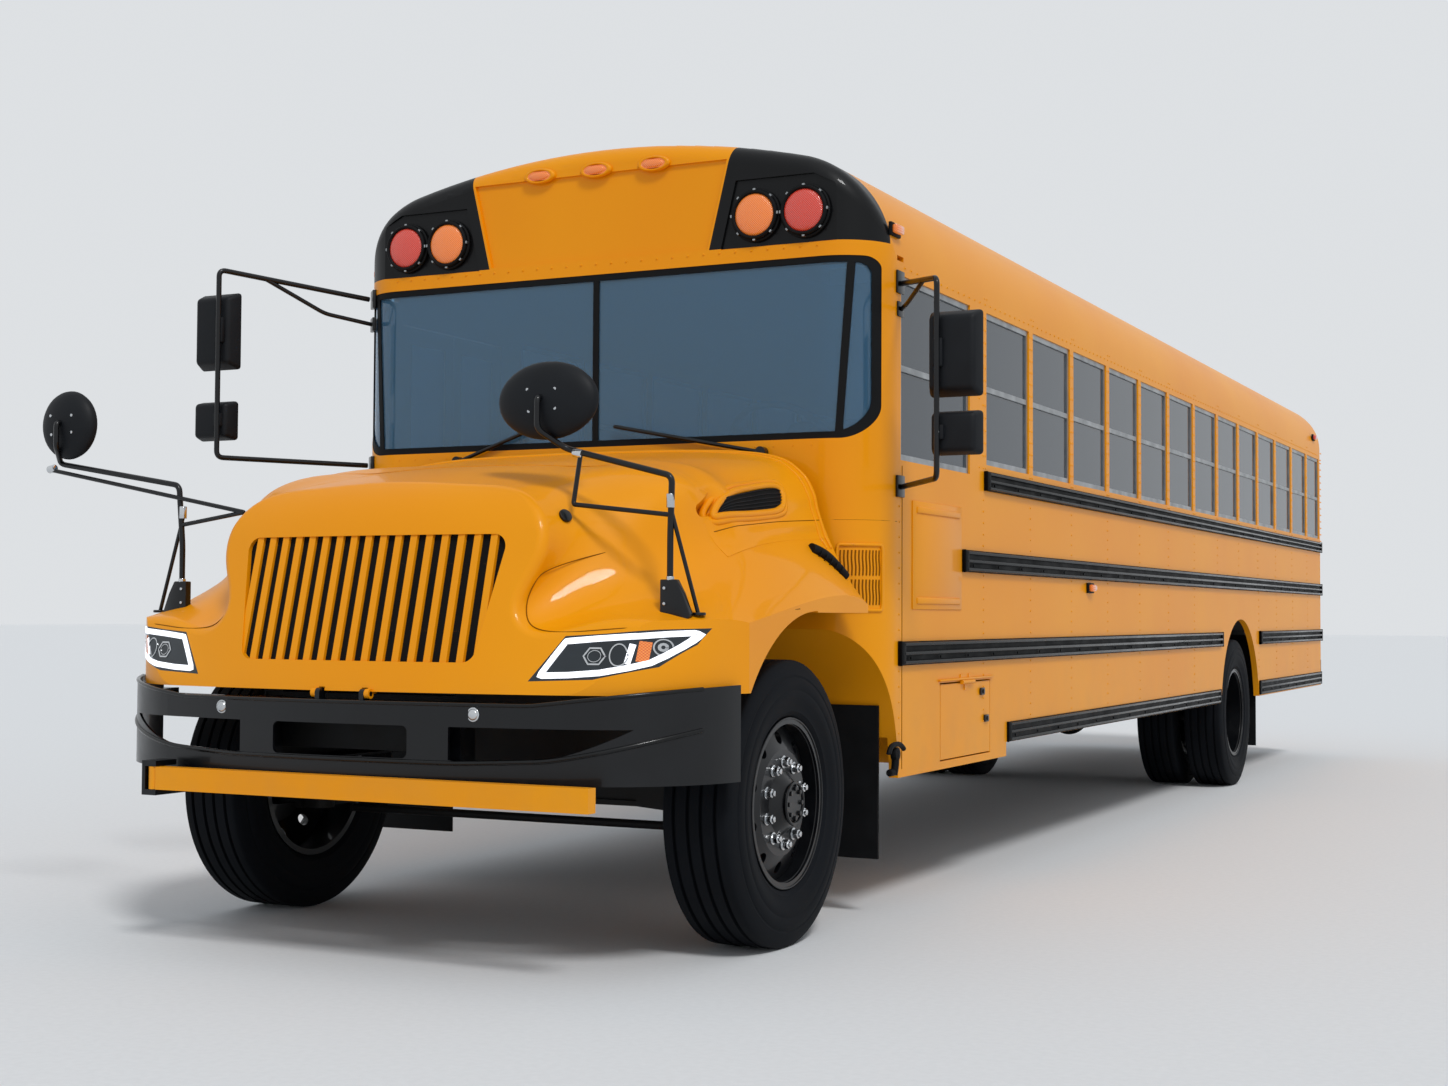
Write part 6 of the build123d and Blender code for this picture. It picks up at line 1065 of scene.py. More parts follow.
# %% [markdown]
# The hood's upper panel is one broad pressing over the crown and down to the fenders.
# It is a grid whose rows follow three cross-sections, so the scoop has a smooth wall to
# stand on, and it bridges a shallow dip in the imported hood. At its edges the grid eases
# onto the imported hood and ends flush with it.

# %% Hood panel
SECTION_PLACES = (-5.475, -4.975, -4.325)
SECTIONS = (
    ((0, 1.640), (0.400, 1.620), (0.630, 1.570), (0.755, 1.480), (0.806, 1.385),
     (0.850, 1.300), (0.915, 1.245), (1.010, 1.208), (1.120, 1.168), (1.214, 1.115)),
    ((0, 1.712), (0.480, 1.700), (0.750, 1.660), (0.880, 1.590), (0.935, 1.520),
     (0.965, 1.465), (1.005, 1.420), (1.065, 1.365), (1.140, 1.290), (1.214, 1.188)),
    ((0, 1.800), (0.540, 1.790), (0.830, 1.762), (0.945, 1.700), (0.995, 1.620),
     (1.010, 1.560), (1.030, 1.500), (1.070, 1.410), (1.130, 1.300), (1.214, 1.195)),
)


def skin_point(y, t):
    """A point on the hood; t counts the section's knots from the crown, and its sign is the side."""
    length = SECTION_PLACES[2] - SECTION_PLACES[1]
    s = (y - SECTION_PLACES[1]) / length
    knots = []
    for first, second, third in zip(*SECTIONS):
        knot = []
        for a, b, c in zip(first, second, third):
            slope_in = (c - a) / (SECTION_PLACES[2] - SECTION_PLACES[0]) * length
            slope_out = c - b
            knot.append(
                (2 * s ** 3 - 3 * s ** 2 + 1) * b + (s ** 3 - 2 * s ** 2 + s) * slope_in
                + (3 * s ** 2 - 2 * s ** 3) * c + (s ** 3 - s ** 2) * slope_out
            )
        knots.append(knot)
    side = 1 if t >= 0 else -1
    t = abs(t)
    at = min(int(t), 8)
    f = t - at
    run = [(-knots[1][0], knots[1][1])] + knots + [knots[-1]]
    a, b, c, d = run[at:at + 4]
    x, z = (
        0.5 * (2 * q + (r - p) * f + (2 * p - 5 * q + 4 * r - v) * f * f + (3 * q - p - 3 * r + v) * f ** 3)
        for p, q, r, v in zip(a, b, c, d)
    )
    return Vector((side * x, y, z))


def skin_normal(y, t):
    """The outward way at a point of the hood."""
    along = skin_point(y + 0.01, t) - skin_point(y - 0.01, t)
    around = skin_point(y, t + 0.02) - skin_point(y, t - 0.02)
    return around.cross(along).normalized()

# %% [markdown]
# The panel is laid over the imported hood, so the hood is measured first. From each knot of
# a grid a ray is cast inwards, and its length says how far the solid stands above the
# smooth skin, or below it.

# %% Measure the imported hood
PANEL_FRONT = -5.13
PANEL_REAR = -4.327
PANEL_EDGE = 6.6
COLUMNS = 36
ROWS = 132
PROBE = 0.15
SKIN = 0.001
take()
bpy.ops.mesh.primitive_grid_add(x_subdivisions=COLUMNS, y_subdivisions=ROWS)
hood_panel = bpy.context.active_object
bases = []
ways = []
prouds = []
for vertex in hood_panel.data.vertices:
    y = PANEL_FRONT + (PANEL_REAR - PANEL_FRONT) * (vertex.co.x + 1) / 2
    base = skin_point(y, PANEL_EDGE * vertex.co.y)
    way = skin_normal(y, PANEL_EDGE * vertex.co.y)
    start = base + way * PROBE
    hit, place, _, _ = parts["hood"].ray_cast(start, -way, distance=2 * PROBE)
    bases.append(base)
    ways.append(way)
    prouds.append(PROBE - (place - start).length if hit else -PROBE)
print("hood measured", min(prouds), max(prouds))

# %% [markdown]
# A panel that followed each measure would be lumpy. So each knot takes the highest measure
# near it, and two means smooth the result. Towards its edges the panel takes the solid's
# own height, so that it ends flush.

# %% Ease the panel onto the hood
def pooled(values, reach, choose):
    """Give each knot of the grid the choice among its neighbours within reach."""
    wide, high = COLUMNS + 1, ROWS + 1
    for stride, count in ((1, wide), (wide, high)):
        made = []
        for at in range(wide * high):
            place = at % wide if stride == 1 else at // wide
            steps = range(max(-reach, -place), min(reach, count - 1 - place) + 1)
            made.append(choose([values[at + step * stride] for step in steps]))
        values = made
    return values


def mean(values):
    """The middle of some values."""
    return sum(values) / len(values)


free = [0.5 * (proud + SKIN + sqrt((proud + SKIN) ** 2 + 0.003 ** 2)) for proud in prouds]
free = pooled(pooled(pooled(free, 4, max), 3, mean), 3, mean)
edge_proud = pooled([max(proud, -0.03) for proud in prouds], 1, mean)
for vertex, base, way, gap, proud in zip(hood_panel.data.vertices, bases, ways, free, edge_proud):
    forward, around = (vertex.co.x + 1) / 2, vertex.co.y
    near_edge = max(0.0, 1 - forward * COLUMNS / 8, 1 - (1 - abs(around)) * PANEL_EDGE / 0.7)
    ease = near_edge * near_edge * (3 - 2 * near_edge)
    vertex.co = base + way * (gap * (1 - ease) + (proud + SKIN) * ease)
wall = hood_panel.modifiers.new("wall", "SOLIDIFY")
wall.thickness = 0.0012
wall.offset = 0
hood_panel = settle([hood_panel], "hood_panel", yellow_enamel, "hood", 50)
print("hood panel", max(free))

# %% [markdown]
# The scoop on each side of the hood is a D-shaped mouth: a rolled bead round black slats.
# Its corners were measured on the photograph and stand on the panel just made.

# %% Hood scoops
SCOOP_TOP = ((-5.082, 4.16), (-5.013, 3.60), (-4.905, 3.32), (-4.740, 3.24), (-4.600, 3.30), (-4.562, 3.62))
SCOOP_LOW = ((-5.076, 4.28), (-5.000, 4.36), (-4.887, 4.56), (-4.760, 4.70), (-4.660, 4.76), (-4.600, 4.45))


def between_points(ends, share):
    """A point of a run of (y, t) knots at a share of its count."""
    at = share * (len(ends) - 1)
    first = min(int(at), len(ends) - 2)
    part = at - first
    return [a + (b - a) * part for a, b in zip(ends[first], ends[first + 1])]


def on_panel(y, t, out):
    """A point that stands out from the hood panel."""
    base, way = skin_point(y, t), skin_normal(y, t)
    hit, place, _, _ = hood_panel.ray_cast(base + way * PROBE, -way, distance=2 * PROBE)
    return (place if hit else base) + way * out


def scoop_point(side, share, high, out):
    """A point in the scoop's mouth: share runs along it, and high from its low edge to its top."""
    low_y, low_t = between_points(SCOOP_LOW, share)
    top_y, top_t = between_points(SCOOP_TOP, share)
    return on_panel(low_y + (top_y - low_y) * high, side * (low_t + (top_t - low_t) * high), out)


def scoop_loop(side, rise, drop, out, spread):
    """Points round the scoop, so many knots of the section above and below its edges."""
    made = []
    for run, shift in ((SCOOP_TOP, -rise), (tuple(reversed(SCOOP_LOW)), drop)):
        for y, t in run:
            aside = spread if y > -4.7 else -spread if y < -5.0 else 0
            made.append(on_panel(y + aside, side * (t + shift), out))
    return made

# %% [markdown]
# Two beads round each mouth stand for its rolled lip. The mouth is a dark sheet that
# follows the panel, and six thin slats run along it.

# %% Scoop beads, mouths and slats
scoop_beads = []
scoop_meshes = []
scoop_slats = []
for side in (1, -1):
    scoop_beads.append(bead(scoop_loop(side, 0, 0, 0.003, 0), 0.014, True))
    scoop_beads.append(bead(scoop_loop(side, 0.22, 0.24, -0.004, 0.022), 0.014, True))
    take()
    bpy.ops.mesh.primitive_grid_add(x_subdivisions=30, y_subdivisions=8)
    mouth = bpy.context.active_object
    for vertex in mouth.data.vertices:
        vertex.co = scoop_point(side, (vertex.co.x + 1) / 2, (vertex.co.y + 1) / 2, 0.005)
    sheet = mouth.modifiers.new("sheet", "SOLIDIFY")
    sheet.thickness = 0.001
    scoop_meshes.append(mouth)
    for high in (0.16, 0.30, 0.44, 0.58, 0.72, 0.86):
        run = [scoop_point(side, 0.04 + 0.92 * step / 12, high, 0.007) for step in range(13)]
        scoop_slats.append(bead(run, 0.0022, sides=2))
settle(scoop_beads, "scoop_beads", yellow_enamel, "hood", 60)
settle(scoop_meshes, "scoop_mouths", hole_black, "hood")
settle(scoop_slats, "scoop_slats", grained_plastic, "hood")
print("scoops", len(scoop_beads))

# %% [markdown]
# Panels meet in thin dark joints, and pressed flanges stand a little proud. A joint is a
# very thin dark bead on the panel, and a flange is a bead of the panel's own colour.

# %% Hood seams and latches
# One dark brown serves the thin joints between panels, and on the cowl's slots it is painted shade.
joints_and_slot_shade = solid_finish("joints_and_slot_shade", "#8A5406", "#7A4A04", 0.8, 3.0, 0.1, gloss=0.1)
FENDER_SEAM = (
    (0.902, -5.324, 1.412), (0.801, -5.485, 1.371), (0.694, -5.594, 1.332), (0.639, -5.709, 1.291),
    (0.621, -5.733, 1.248), (0.607, -5.747, 1.200), (0.615, -5.764, 1.152), (0.638, -5.777, 1.120),
    (0.675, -5.777, 1.104), (0.733, -5.779, 1.098), (0.803, -5.774, 1.099), (0.884, -5.756, 1.106),
    (1.009, -5.722, 1.116), (1.100, -5.627, 1.126), (1.172, -5.486, 1.139), (1.203, -5.252, 1.159),
    (1.214, -4.951, 1.177),
)
GRIP = ((1.082, -4.555, 1.402), (1.098, -4.50, 1.390), (1.118, -4.43, 1.352), (1.140, -4.37, 1.300))
hood_seams = []
flanges = []
latches = []
for side in (1, -1):
    run = [on_panel(-4.34 - 0.0225 * k, side * (5.76 - 0.0205 * k), 0.0004) for k in range(35)]
    hood_seams.append(bead(run, 0.0016, sides=1))
    for y, radius in ((-4.345, 0.007), (-4.385, 0.005)):
        flanges.append(bead([on_panel(y, side * 0.2 * k, 0.0) for k in range(0, 36)], radius, sides=2))
    latches.append(bead([(side * x, y, z) for x, y, z in GRIP], 0.019))
    for k in range(5):
        share = 0.2 + 0.15 * k
        centre = (side * (1.082 + 0.058 * share), -4.555 + 0.185 * share, 1.407 - 0.10 * share)
        latches.append(hoop(centre, (side * 0.3, 1, -0.5), 0.019, 0.0025, sides=20))
    hood_seams.append(bead([(side * x, y - 0.0004, z) for x, y, z in FENDER_SEAM], 0.0018, sides=1))
settle(hood_seams, "hood_seams", joints_and_slot_shade, "hood")
settle(flanges, "hood_flanges", yellow_enamel, "hood", 60)
settle(latches, "hood_latches", gasket_rubber, "hood", 50)
print("hood seams", len(hood_seams))

# %% [markdown]
# Bench seats have a foam cushion and a tall foam back in sewn vinyl on a bent steel frame.
# One bench is modelled: a box is crowned and its corners are drawn in, with a sewn welt
# round it. It is then copied down both sides of the aisle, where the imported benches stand.

# %% Seats
FLOOR = 1.06
SEAT_FIRST = -2.675
SEAT_PITCH = 0.69
SEAT_ROWS = 12
CUSHION_TOP = FLOOR + 0.43
CUSHION_THICK = 0.11
CUSHION_DEEP = 0.335
BACK_TALL = 0.55
BACK_LEAN = 0.128
WELT_Z = CUSHION_TOP - 0.055
FRAME_Z = CUSHION_TOP - 0.118


def pad(low, high, crown, up):
    """A foam block in vinyl: crowned on its broad faces, drawn in at its corners."""
    take()
    middle = Vector([(a + b) / 2 for a, b in zip(low, high)])
    half = Vector([(b - a) / 2 for a, b in zip(low, high)])
    bpy.ops.mesh.primitive_cube_add(size=2)
    piece = bpy.context.active_object
    bpy.ops.object.mode_set(mode="EDIT")
    bpy.ops.mesh.select_all(action="SELECT")
    bpy.ops.mesh.subdivide(number_cuts=7)
    bpy.ops.object.mode_set(mode="OBJECT")
    others = [axis for axis in range(3) if axis != up]
    for vertex in piece.data.vertices:
        u, v = vertex.co[others[0]], vertex.co[others[1]]
        fall = (1 - u ** 4) * (1 - v ** 4)
        corner = (u * v) ** 8
        level = vertex.co[up]
        place = [0.0, 0.0, 0.0]
        place[up] = level * (half[up] - crown * (1 - fall) * abs(level))
        for axis, other in ((others[0], v), (others[1], u)):
            place[axis] = vertex.co[axis] * half[axis] * (1 - 0.012 * corner - 0.015 * level ** 4)
        vertex.co = middle + Vector(place)
    soft = piece.modifiers.new("soft", "SUBSURF")
    soft.levels = 1
    soft.render_levels = 1
    return firm(piece)

# %% [markdown]
# A bench is a cushion, a back that leans, a welt round the cushion's middle and two bent
# legs. Each goes into its own list, because vinyl, welt and steel are different finishes.

# %% One bench
def bench(wide_from, wide_to, y, cushions, backs, welts, legs):
    """One bench whose front edge is at y."""
    low = (wide_from, y + 0.006, CUSHION_TOP - CUSHION_THICK)
    cushions.append(pad(low, (wide_to, y + CUSHION_DEEP, CUSHION_TOP), 0.020, 2))
    back = pad((wide_from, -0.036, 0.0), (wide_to, 0.036, BACK_TALL), 0.018, 1)
    for vertex in back.data.vertices:
        vertex.co.y += y + 0.363 + vertex.co.z * BACK_LEAN
        vertex.co.z += FLOOR + 0.405
    backs.append(back)
    inner, outer = wide_from + 0.012, wide_to - 0.012
    edge = ((inner, y + 0.02), (outer, y + 0.02), (outer, y + 0.320), (inner, y + 0.320))
    welts.append(bead([(*corner, WELT_Z) for corner in edge], 0.004, True, 1))
    for x in (wide_from + 0.10, wide_to - 0.10):
        route = (
            (x, y + 0.06, FLOOR + 0.002), (x, y + 0.06, FRAME_Z),
            (x, y + 0.37, FRAME_Z), (x, y + 0.39, FLOOR + 0.002),
        )
        legs.append(pipe(route, 0.012, 0.04, 2))

# %% [markdown]
# One bench is modelled on the left of the aisle. It is copied twelve times along the left,
# and twelve times mirrored along the right.

# %% Rows of benches
sewn_vinyl = solid_finish("sewn_vinyl", "#2C3236", "#363D41", 0.42, 2.5, 0.3, gloss=0.4)
cushions = []
backs = []
welts = []
legs = []
bench(0.192, 1.148, 0.0, cushions, backs, welts, legs)
for pieces in (cushions, backs, welts, legs):
    model = fused(pieces)
    copies = []
    for side in (1, -1):
        for k in range(SEAT_ROWS):
            take(model)
            bpy.ops.object.duplicate()
            copy = bpy.context.active_object
            copy.scale = (side, 1, 1)
            copy.location = (0, SEAT_FIRST + SEAT_PITCH * k, 0)
            copies.append(copy)
    take(model)
    bpy.ops.object.delete()
    pieces[:] = copies
seat_cushions = settle(cushions, "seat_cushions", sewn_vinyl)
seat_backs = settle(backs, "seat_backs", sewn_vinyl)
settle(welts, "seat_welts", gasket_rubber)
settle(legs, "seat_frames", chassis_wax)
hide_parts("passenger_seats")
print("benches", 2 * SEAT_ROWS)

# %% [markdown]
# The driver's seat is made by the same function as the benches, narrower and further
# forward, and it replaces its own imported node.

# %% The driver's seat
driver = [[], [], [], []]
bench(0.372, 0.868, -3.625, *driver)
driver_cushion = settle(driver[0], "driver_cushion", sewn_vinyl)
driver_back = settle(driver[1], "driver_back", sewn_vinyl)
settle(driver[2], "driver_welt", gasket_rubber)
settle(driver[3], "driver_frame", chassis_wax)
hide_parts("driver_seat")
print("driver's seat", len(driver_cushion.data.polygons))

# %% [markdown]
# The black rub rails are rolled steel with glossy ribs that catch the sky, and a pressed
# cap closes each end. Each rib is a long bar with rounded edges, and bolts hold the rail.

# %% Rub rails
# Each row: start, end, low edge, high edge and the sides it is on
RAILS = (
    (-2.995, 5.820, 1.703, 1.786, (1, -1)),
    (-3.283, 5.820, 1.342, 1.435, (1,)),
    (-3.075, 5.820, 1.342, 1.435, (-1,)),
    (-4.030, 1.868, 0.962, 1.055, (1,)),
    (-2.875, 1.868, 0.962, 1.055, (-1,)),
    (3.156, 5.820, 0.962, 1.055, (1, -1)),
    (-2.675, 1.828, 0.592, 0.680, (1, -1)),
    (3.156, 5.820, 0.600, 0.700, (1, -1)),
)
RIB_SHARES = (0.12, 0.50, 0.88)
RAIL_BOLT_PITCH = 0.34
ribs = []
caps = []
bolts = []
for start, end, low, high, sides in RAILS:
    tall = high - low
    half_rib = tall * 0.075
    proud = 0.016 if low > 0.9 else 0.008
    for side in sides:
        face = side * (SIDE + proud)
        near, far = sorted((face - side * 0.004, face + side * 0.006))
        for share in RIB_SHARES:
            z = low + tall * share
            ribs.append(block((near, start + 0.03, z - half_rib), (far, end - 0.03, z + half_rib), 0.0045))
        near, far = sorted((side * (SIDE + 0.001), face + side * 0.004))
        for y in (start, end):
            caps.append(block((near, y - 0.004, low - 0.002), (far, y + 0.004, high + 0.002), 0.003))
            mid = y + (0.022 if y == start else -0.022)
            caps.append(block((near, mid - 0.020, low + 0.004), (far, mid + 0.020, high - 0.004), 0.003))
        stud = drum((face + side * 0.001, start + 0.10, low + tall * 0.30), (1, 0, 0), 0.006, 0.006, 8, 0.001)
        times = max(2, int((end - start - 0.2) / RAIL_BOLT_PITCH) + 1)
        bolts.append(row(firm(stud), times, (0, RAIL_BOLT_PITCH, 0)))
rail_gloss = solid_finish("rail_gloss", "#030405", "#06080A", 0.22, 6.0, 0.02, coat=0.3, gloss=0.2)
rail_satin = solid_finish("rail_satin", "#030406", "#050709", 0.5, 4.0, 0.05, gloss=0.08)
settle(ribs, "rail_ribs", rail_gloss)
settle(caps, "rail_caps", rail_satin)
settle(bolts, "rail_bolts", rail_satin)
parts["rub_rails"].data.materials.clear()
parts["rub_rails"].data.materials.append(rail_satin)
print("rail ribs", len(ribs))

# %% [markdown]
# The body is riveted: rows run down every window post, along the roof's edge and over the
# bows. One small domed rivet is modelled, and arrays repeat it at the real spacing.

# %% Rivets
def rivet(centre, outward, radius=0.0065):
    """A low dome of few faces."""
    take()
    turn = Vector(outward).to_track_quat("Z", "Y").to_euler()
    bpy.ops.mesh.primitive_cone_add(
        vertices=8, radius1=radius, radius2=radius * 0.4, depth=radius * 0.9, location=centre, rotation=turn
    )
    return firm(bpy.context.active_object)

# %% [markdown]
# Rivets come in a few kinds of row: up each window post, up the edges of the sheets, one
# long row under the roof, pairs of arcs over the roof's corner at each bow, and two rows
# across the front. Short tables hold the rows of the posts and the edges. The low rows
# leave out the two posts at the rear wheel's arch.

# %% Rows of rivets
POST_START = BAY_START - 0.030
POSTS = 14
RIVET_R = 0.0060
# Each row: low end, high end, spacing and its shift from the post
POST_ROWS = (
    (1.80, 2.49, 0.055, -0.016),
    (1.80, 2.49, 0.055, 0.016),
    (1.46, 1.69, 0.05, -0.012),
    (1.08, 1.33, 0.05, -0.012),
    (0.70, 0.95, 0.05, -0.012),
)
# Each row: its place along the bus, low end and high end
EDGE_ROWS = ((-4.02, 1.10, 1.60), (-4.02, 0.58, 0.94), (-3.06, 1.80, 2.48), (5.80, 0.72, 2.48))
rivets = []
for side in (1, -1):
    out = (side, 0, 0)
    face = side * (SIDE + 0.0012)
    for low, high, stride, shift in POST_ROWS:
        times = int((high - low) / stride) + 1
        first = row(rivet((face, POST_START + shift, low), out, RIVET_R), times, (0, 0, stride))
        if low > 1.4:
            rivets.append(row(first, POSTS if low > 1.7 else POSTS - 1, (0, BAY_PITCH, 0)))
            continue
        take(first)
        bpy.ops.object.duplicate()
        behind = bpy.context.active_object
        bpy.ops.transform.translate(value=(0, 9 * BAY_PITCH + 0.02, 0))
        rivets.append(row(firm(behind), 4, (0, BAY_PITCH, 0)))
        rivets.append(row(first, 7, (0, BAY_PITCH, 0)))
    rivets.append(row(rivet((face, -3.96, 2.52), out), 139, (0, 0.07, 0)))
    for y, low, high in EDGE_ROWS:
        rivets.append(row(rivet((face, y, low), out, RIVET_R), int((high - low) / 0.06) + 1, (0, 0, 0.06)))
    arc = rivet((side * 1.2195, POST_START, 2.545), out, RIVET_R)
    take(arc)
    bpy.ops.object.mode_set(mode="EDIT")
    bpy.ops.mesh.select_all(action="SELECT")
    bpy.ops.mesh.spin(
        steps=8,
        dupli=True,
        angle=-side * radians(62),
        center=(side * 0.799, POST_START, 2.54),
        axis=(0, 1, 0),
    )
    bpy.ops.object.mode_set(mode="OBJECT")
    second = row(arc, 2, (0, 0.035, 0))
    rivets.append(row(second, POSTS, (0, BAY_PITCH, 0)))
rivets.append(row(rivet((-0.98, FACE - 0.0012, 2.578), (0, -1, 0)), 29, (0.07, 0, 0)))
rivets.append(row(rivet((-0.96, FACE - 0.0012, 1.808), (0, -1, 0), 0.004), 25, (0.08, 0, 0)))
body_rivets = settle(rivets, "body_rivets", yellow_enamel, "chassis", 50)
print("rivet faces", len(body_rivets.data.polygons))

# %% [markdown]
# The cowl's rounded corner carries a pressed vent: two rows of upright slots inside a
# raised frame. The side behind it is embossed, and thin joints show where sheets meet.

# %% Cowl vent and side pressings
CORNER_X = 0.989
CORNER_Y = -4.045
CORNER_R = 0.230


def on_corner(side, turn, z, out=0.0):
    """A point of the cowl's rounded corner, its turn in degrees from straight ahead."""
    reach = CORNER_R + out
    return (side * (CORNER_X + reach * sin(radians(turn))), CORNER_Y - reach * cos(radians(turn)), z)

# %% [markdown]
# The vent's frame is a bead round the corner. Each slot is not cut but is a short brown bead
# with a slight sway, whose colour is painted shade inside the slot. The embossed panel and
# its two ribs are low boxes with soft edges.

# %% Vent, pressings and joints
frames = []
slots = []
joints = []
for side in (1, -1):
    loop = [on_corner(side, 18 + 5.2 * k, 1.425, 0.002) for k in range(10)]
    loop += [on_corner(side, 64.8, 1.360, 0.002), on_corner(side, 64.8, 1.240, 0.002)]
    loop += [on_corner(side, 64.8 - 5.2 * k, 1.175, 0.002) for k in range(10)]
    loop += [on_corner(side, 18, 1.240, 0.002), on_corner(side, 18, 1.360, 0.002)]
    frames.append(bead(loop, 0.007, True, 2))
    for low, high in ((1.196, 1.292), (1.308, 1.404)):
        for k in range(12):
            turn = 21.5 + 3.6 * k
            knots = [
                on_corner(side, turn + 0.5 * sin(share * pi * 2), low + (high - low) * share, 0.0006)
                for share in (0, 0.25, 0.5, 0.75, 1)
            ]
            slots.append(bead(knots, 0.0032, sides=1))
    near, far = sorted((side * (SIDE - 0.001), side * (SIDE + 0.0016)))
    joints.append(block((near, -3.990, 0.56), (far, -3.9865, 1.74), 0.0004))
    joints.append(bead([on_corner(side, 90 * k / 8, 1.520, 0.0) for k in range(9)], 0.0014, sides=1))
frames.append(block((SIDE - 0.001, -3.879, 1.180), (SIDE + 0.005, -3.300, 1.612), 0.004))
for z in (1.215, 1.577):
    frames.append(block((SIDE, -3.84, z - 0.014), (SIDE + 0.011, -3.33, z + 0.014), 0.008))
frames.append(block((SIDE, -3.575, 0.886), (SIDE + 0.012, -2.892, 0.895), 0.003))
settle(frames, "cowl_pressings", yellow_enamel, "chassis", 50)
# The slots' brown is painted shade inside them; the joints are dark lines of their own.
settle(slots, "cowl_slots", joints_and_slot_shade)
settle(joints, "sheet_joints", joints_and_slot_shade)
print("cowl slots", len(slots))

# %% [markdown]
# Small hardware tells the eye how big the bus is: latches on the locker door, the rubber
# strap that holds the hood, bolts through the bumper, and the handle of the rear door.

# %% Small hardware
STRAP_ARCH = ((-4.168, 0.630), (-4.155, 0.656), (-4.100, 0.664), (-4.040, 0.660), (-4.010, 0.640))
STRAP_BODY = ((1.232, -4.090, 0.640), (1.234, -4.085, 0.590), (1.230, -4.100, 0.548))
straps = []
for side in (1, -1):
    straps.append(bead([(side * 1.236, y, z) for y, z in STRAP_ARCH], 0.010))
    straps.append(bead([(side * x, y, z) for x, y, z in STRAP_BODY], 0.015))
    straps.append(drum((side * 1.232, -4.088, 0.625), (1, 0, 0), 0.026, 0.026, 20, 0.005))
    straps.append(drum((side * 1.228, -4.115, 0.556), (0, 1, 0), 0.014, 0.060, 16, 0.004))
settle(straps, "hood_straps", gasket_rubber)
locker_latches = []
for y, z in ((-3.035, 0.830), (-2.981, 0.712)):
    locker_latches.append(block((1.221, y - 0.026, z - 0.016), (1.230, y + 0.026, z + 0.016), 0.004))
    locker_latches.append(drum((1.232, y, z), (1, 0, 0), 0.010, 0.006, 16, 0.001))
settle(locker_latches, "locker_latches", black_enamel, "locker_door")
print("straps and latches", len(straps), len(locker_latches))

# %% [markdown]
# The bumper's black enamel shows its form only where an edge catches the sky. Rays from
# ahead find its face, and a thin glossy bead then runs along its top and lower edges.

# %% Bumper bolts and edges
def bumper_face(x, z):
    """Where the bumper's face is ahead of a place; none in an opening or where it turns back."""
    hit, place, _, _ = parts["front_bumper"].ray_cast(Vector((x, -6.1, z)), Vector((0, 1, 0)), distance=0.9)
    return place.y if hit and place.y < -5.35 else None


BOLT_Z = 0.836
EDGE_STEPS = 60
bumper_studs = []
for x in (-0.508, 0.508):
    face_y = bumper_face(x, BOLT_Z)
    bumper_studs.append(firm(lens_dome(x, face_y, BOLT_Z, 0.019, 0.012, -1)))
    bumper_studs.append(drum((x, face_y, BOLT_Z), (0, 1, 0), 0.023, 0.004, 24, 0.001))
settle(bumper_studs, "bumper_bolts", chrome_plate, "chassis", 50)
edge = []
brow = []
for step in range(EDGE_STEPS + 1):
    x = -1.16 + 2.32 * step / EDGE_STEPS
    z = 0.680 + 0.110 * (max(0.0, abs(x) - 0.56) / 0.60) ** 1.8
    face_y = bumper_face(x, z)
    if face_y:
        edge.append((x, face_y, z))
    z = 0.868 + 0.054 * max(0.0, abs(x) - 0.70) / 0.46
    face_y = bumper_face(x, z - 0.006)
    if face_y:
        brow.append((x, face_y + 0.003, z - 0.002))
bumper_beads = [bead(edge, 0.008, sides=3), bead(brow, 0.007, sides=3)]
settle(bumper_beads, "bumper_edges", rail_gloss, "chassis", 60)
print("bumper edges", len(edge), len(brow))

# %% [markdown]
# The rear door has a pull handle on two feet, and below it a plate that stays blank.

# %% Rear handle and plate
handle = [
    block((0.27, 5.950, 1.585), (0.43, 5.966, 1.615), 0.006),
    block((0.28, 5.905, 1.588), (0.30, 5.960, 1.612), 0.004),
    block((0.40, 5.905, 1.588), (0.42, 5.960, 1.612), 0.004),
]
settle(handle, "rear_door_handle", chrome_plate, "emergency_door")
plate = block((-0.165, 5.911, 0.865), (0.165, 5.917, 1.025), 0.003)
settle([plate], "blank_plate", mill_aluminium)
print("rear hardware", len(handle))

# %% [markdown]
# The studio is a pale floor under a soft sky. The lamps stay plain, so that each colour
# renders about as it is written, and a mirror or a window sees the same pale room.

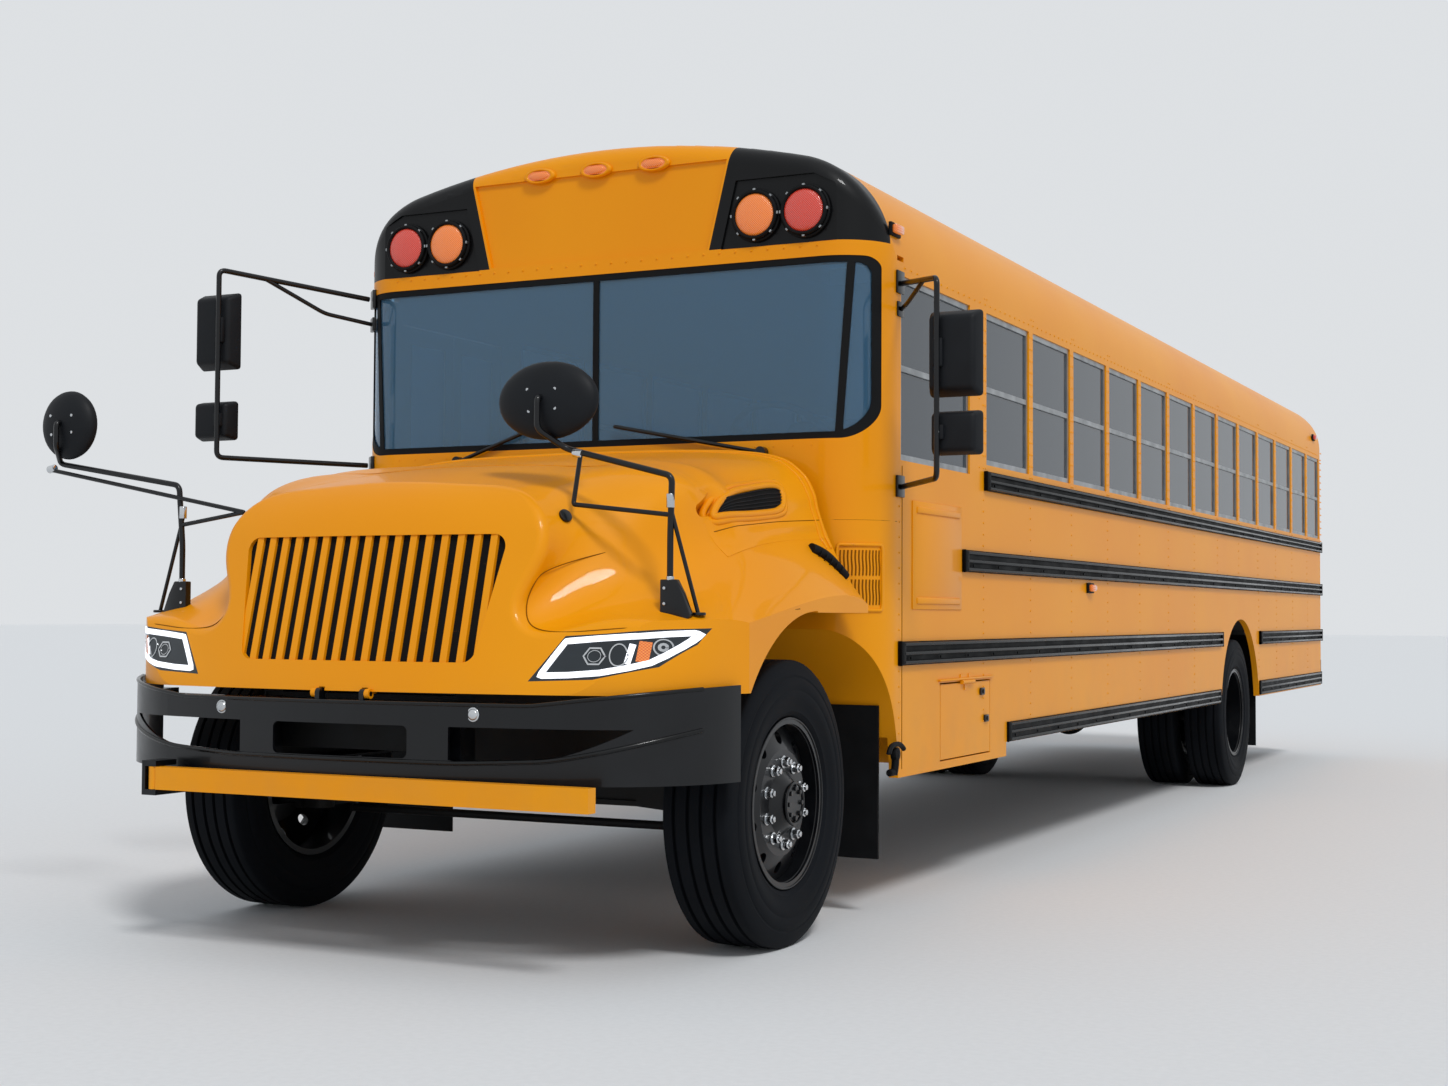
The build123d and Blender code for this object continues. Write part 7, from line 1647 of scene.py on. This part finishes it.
# %% Floor
bpy.ops.object.select_all(action="DESELECT")
bpy.ops.mesh.primitive_plane_add(size=240, location=(0, 0, 0))
floor = bpy.context.active_object
floor.name = "studio_floor"
floor_paint, floor_tree, floor_place = new_finish("floor_paint")
floor_mottle = between(floor_tree, speckle(floor_tree, floor_place, 40.0).outputs["Fac"], 0.3, 0.7)
floor_shader = add_node(
    floor_tree,
    "ShaderNodeBsdfPrincipled",
    {"Roughness": 0.8},
    {"Base Color": two_tones(floor_tree, floor_mottle, "#E0E1E2", "#E4E5E6")},
)
close_finish(floor_tree, floor_shader)
floor.data.materials.append(floor_paint)
print("floor", floor.name)

# %% [markdown]
# The world has two skies. One lights the bus, and a paler one is what the camera, the
# glass and the mirrors see. One wide, soft sun gives the shadow under the bus.

# %% World and lamps
world = bpy.data.worlds.new("studio_world")
bpy.context.scene.world = world
world.use_nodes = True
sky = world.node_tree
sky.nodes.clear()
ray = add_node(sky, "ShaderNodeLightPath")
seen = add_node(sky, "ShaderNodeMath", {"operation": "MAXIMUM"},
                {0: ray.outputs["Is Camera Ray"], 1: ray.outputs["Is Transmission Ray"]})
seen = add_node(sky, "ShaderNodeMath", {"operation": "MAXIMUM"},
                {0: seen.outputs[0], 1: ray.outputs["Is Glossy Ray"]})
light_sky = add_node(sky, "ShaderNodeBackground", {"Color": linear("#EAF0F6"), "Strength": 0.62})
pale_sky = add_node(sky, "ShaderNodeBackground", {"Color": linear("#E6E9EC"), "Strength": 0.92})
mixed = add_node(sky, "ShaderNodeMixShader",
                 links={0: seen.outputs[0], 1: light_sky.outputs[0], 2: pale_sky.outputs[0]})
add_node(sky, "ShaderNodeOutputWorld", links={"Surface": mixed.outputs[0]})

bpy.ops.object.light_add(type="SUN", rotation=(radians(38), radians(18), radians(25)))
sun = bpy.context.active_object
sun.name = "soft_sun"
sun.data.energy = 1.5
sun.data.angle = radians(12)
print("studio ready")

# %% [markdown]
# The render shows the colours through the Standard view transform.

bpy.context.scene.view_settings.view_transform = "Standard"
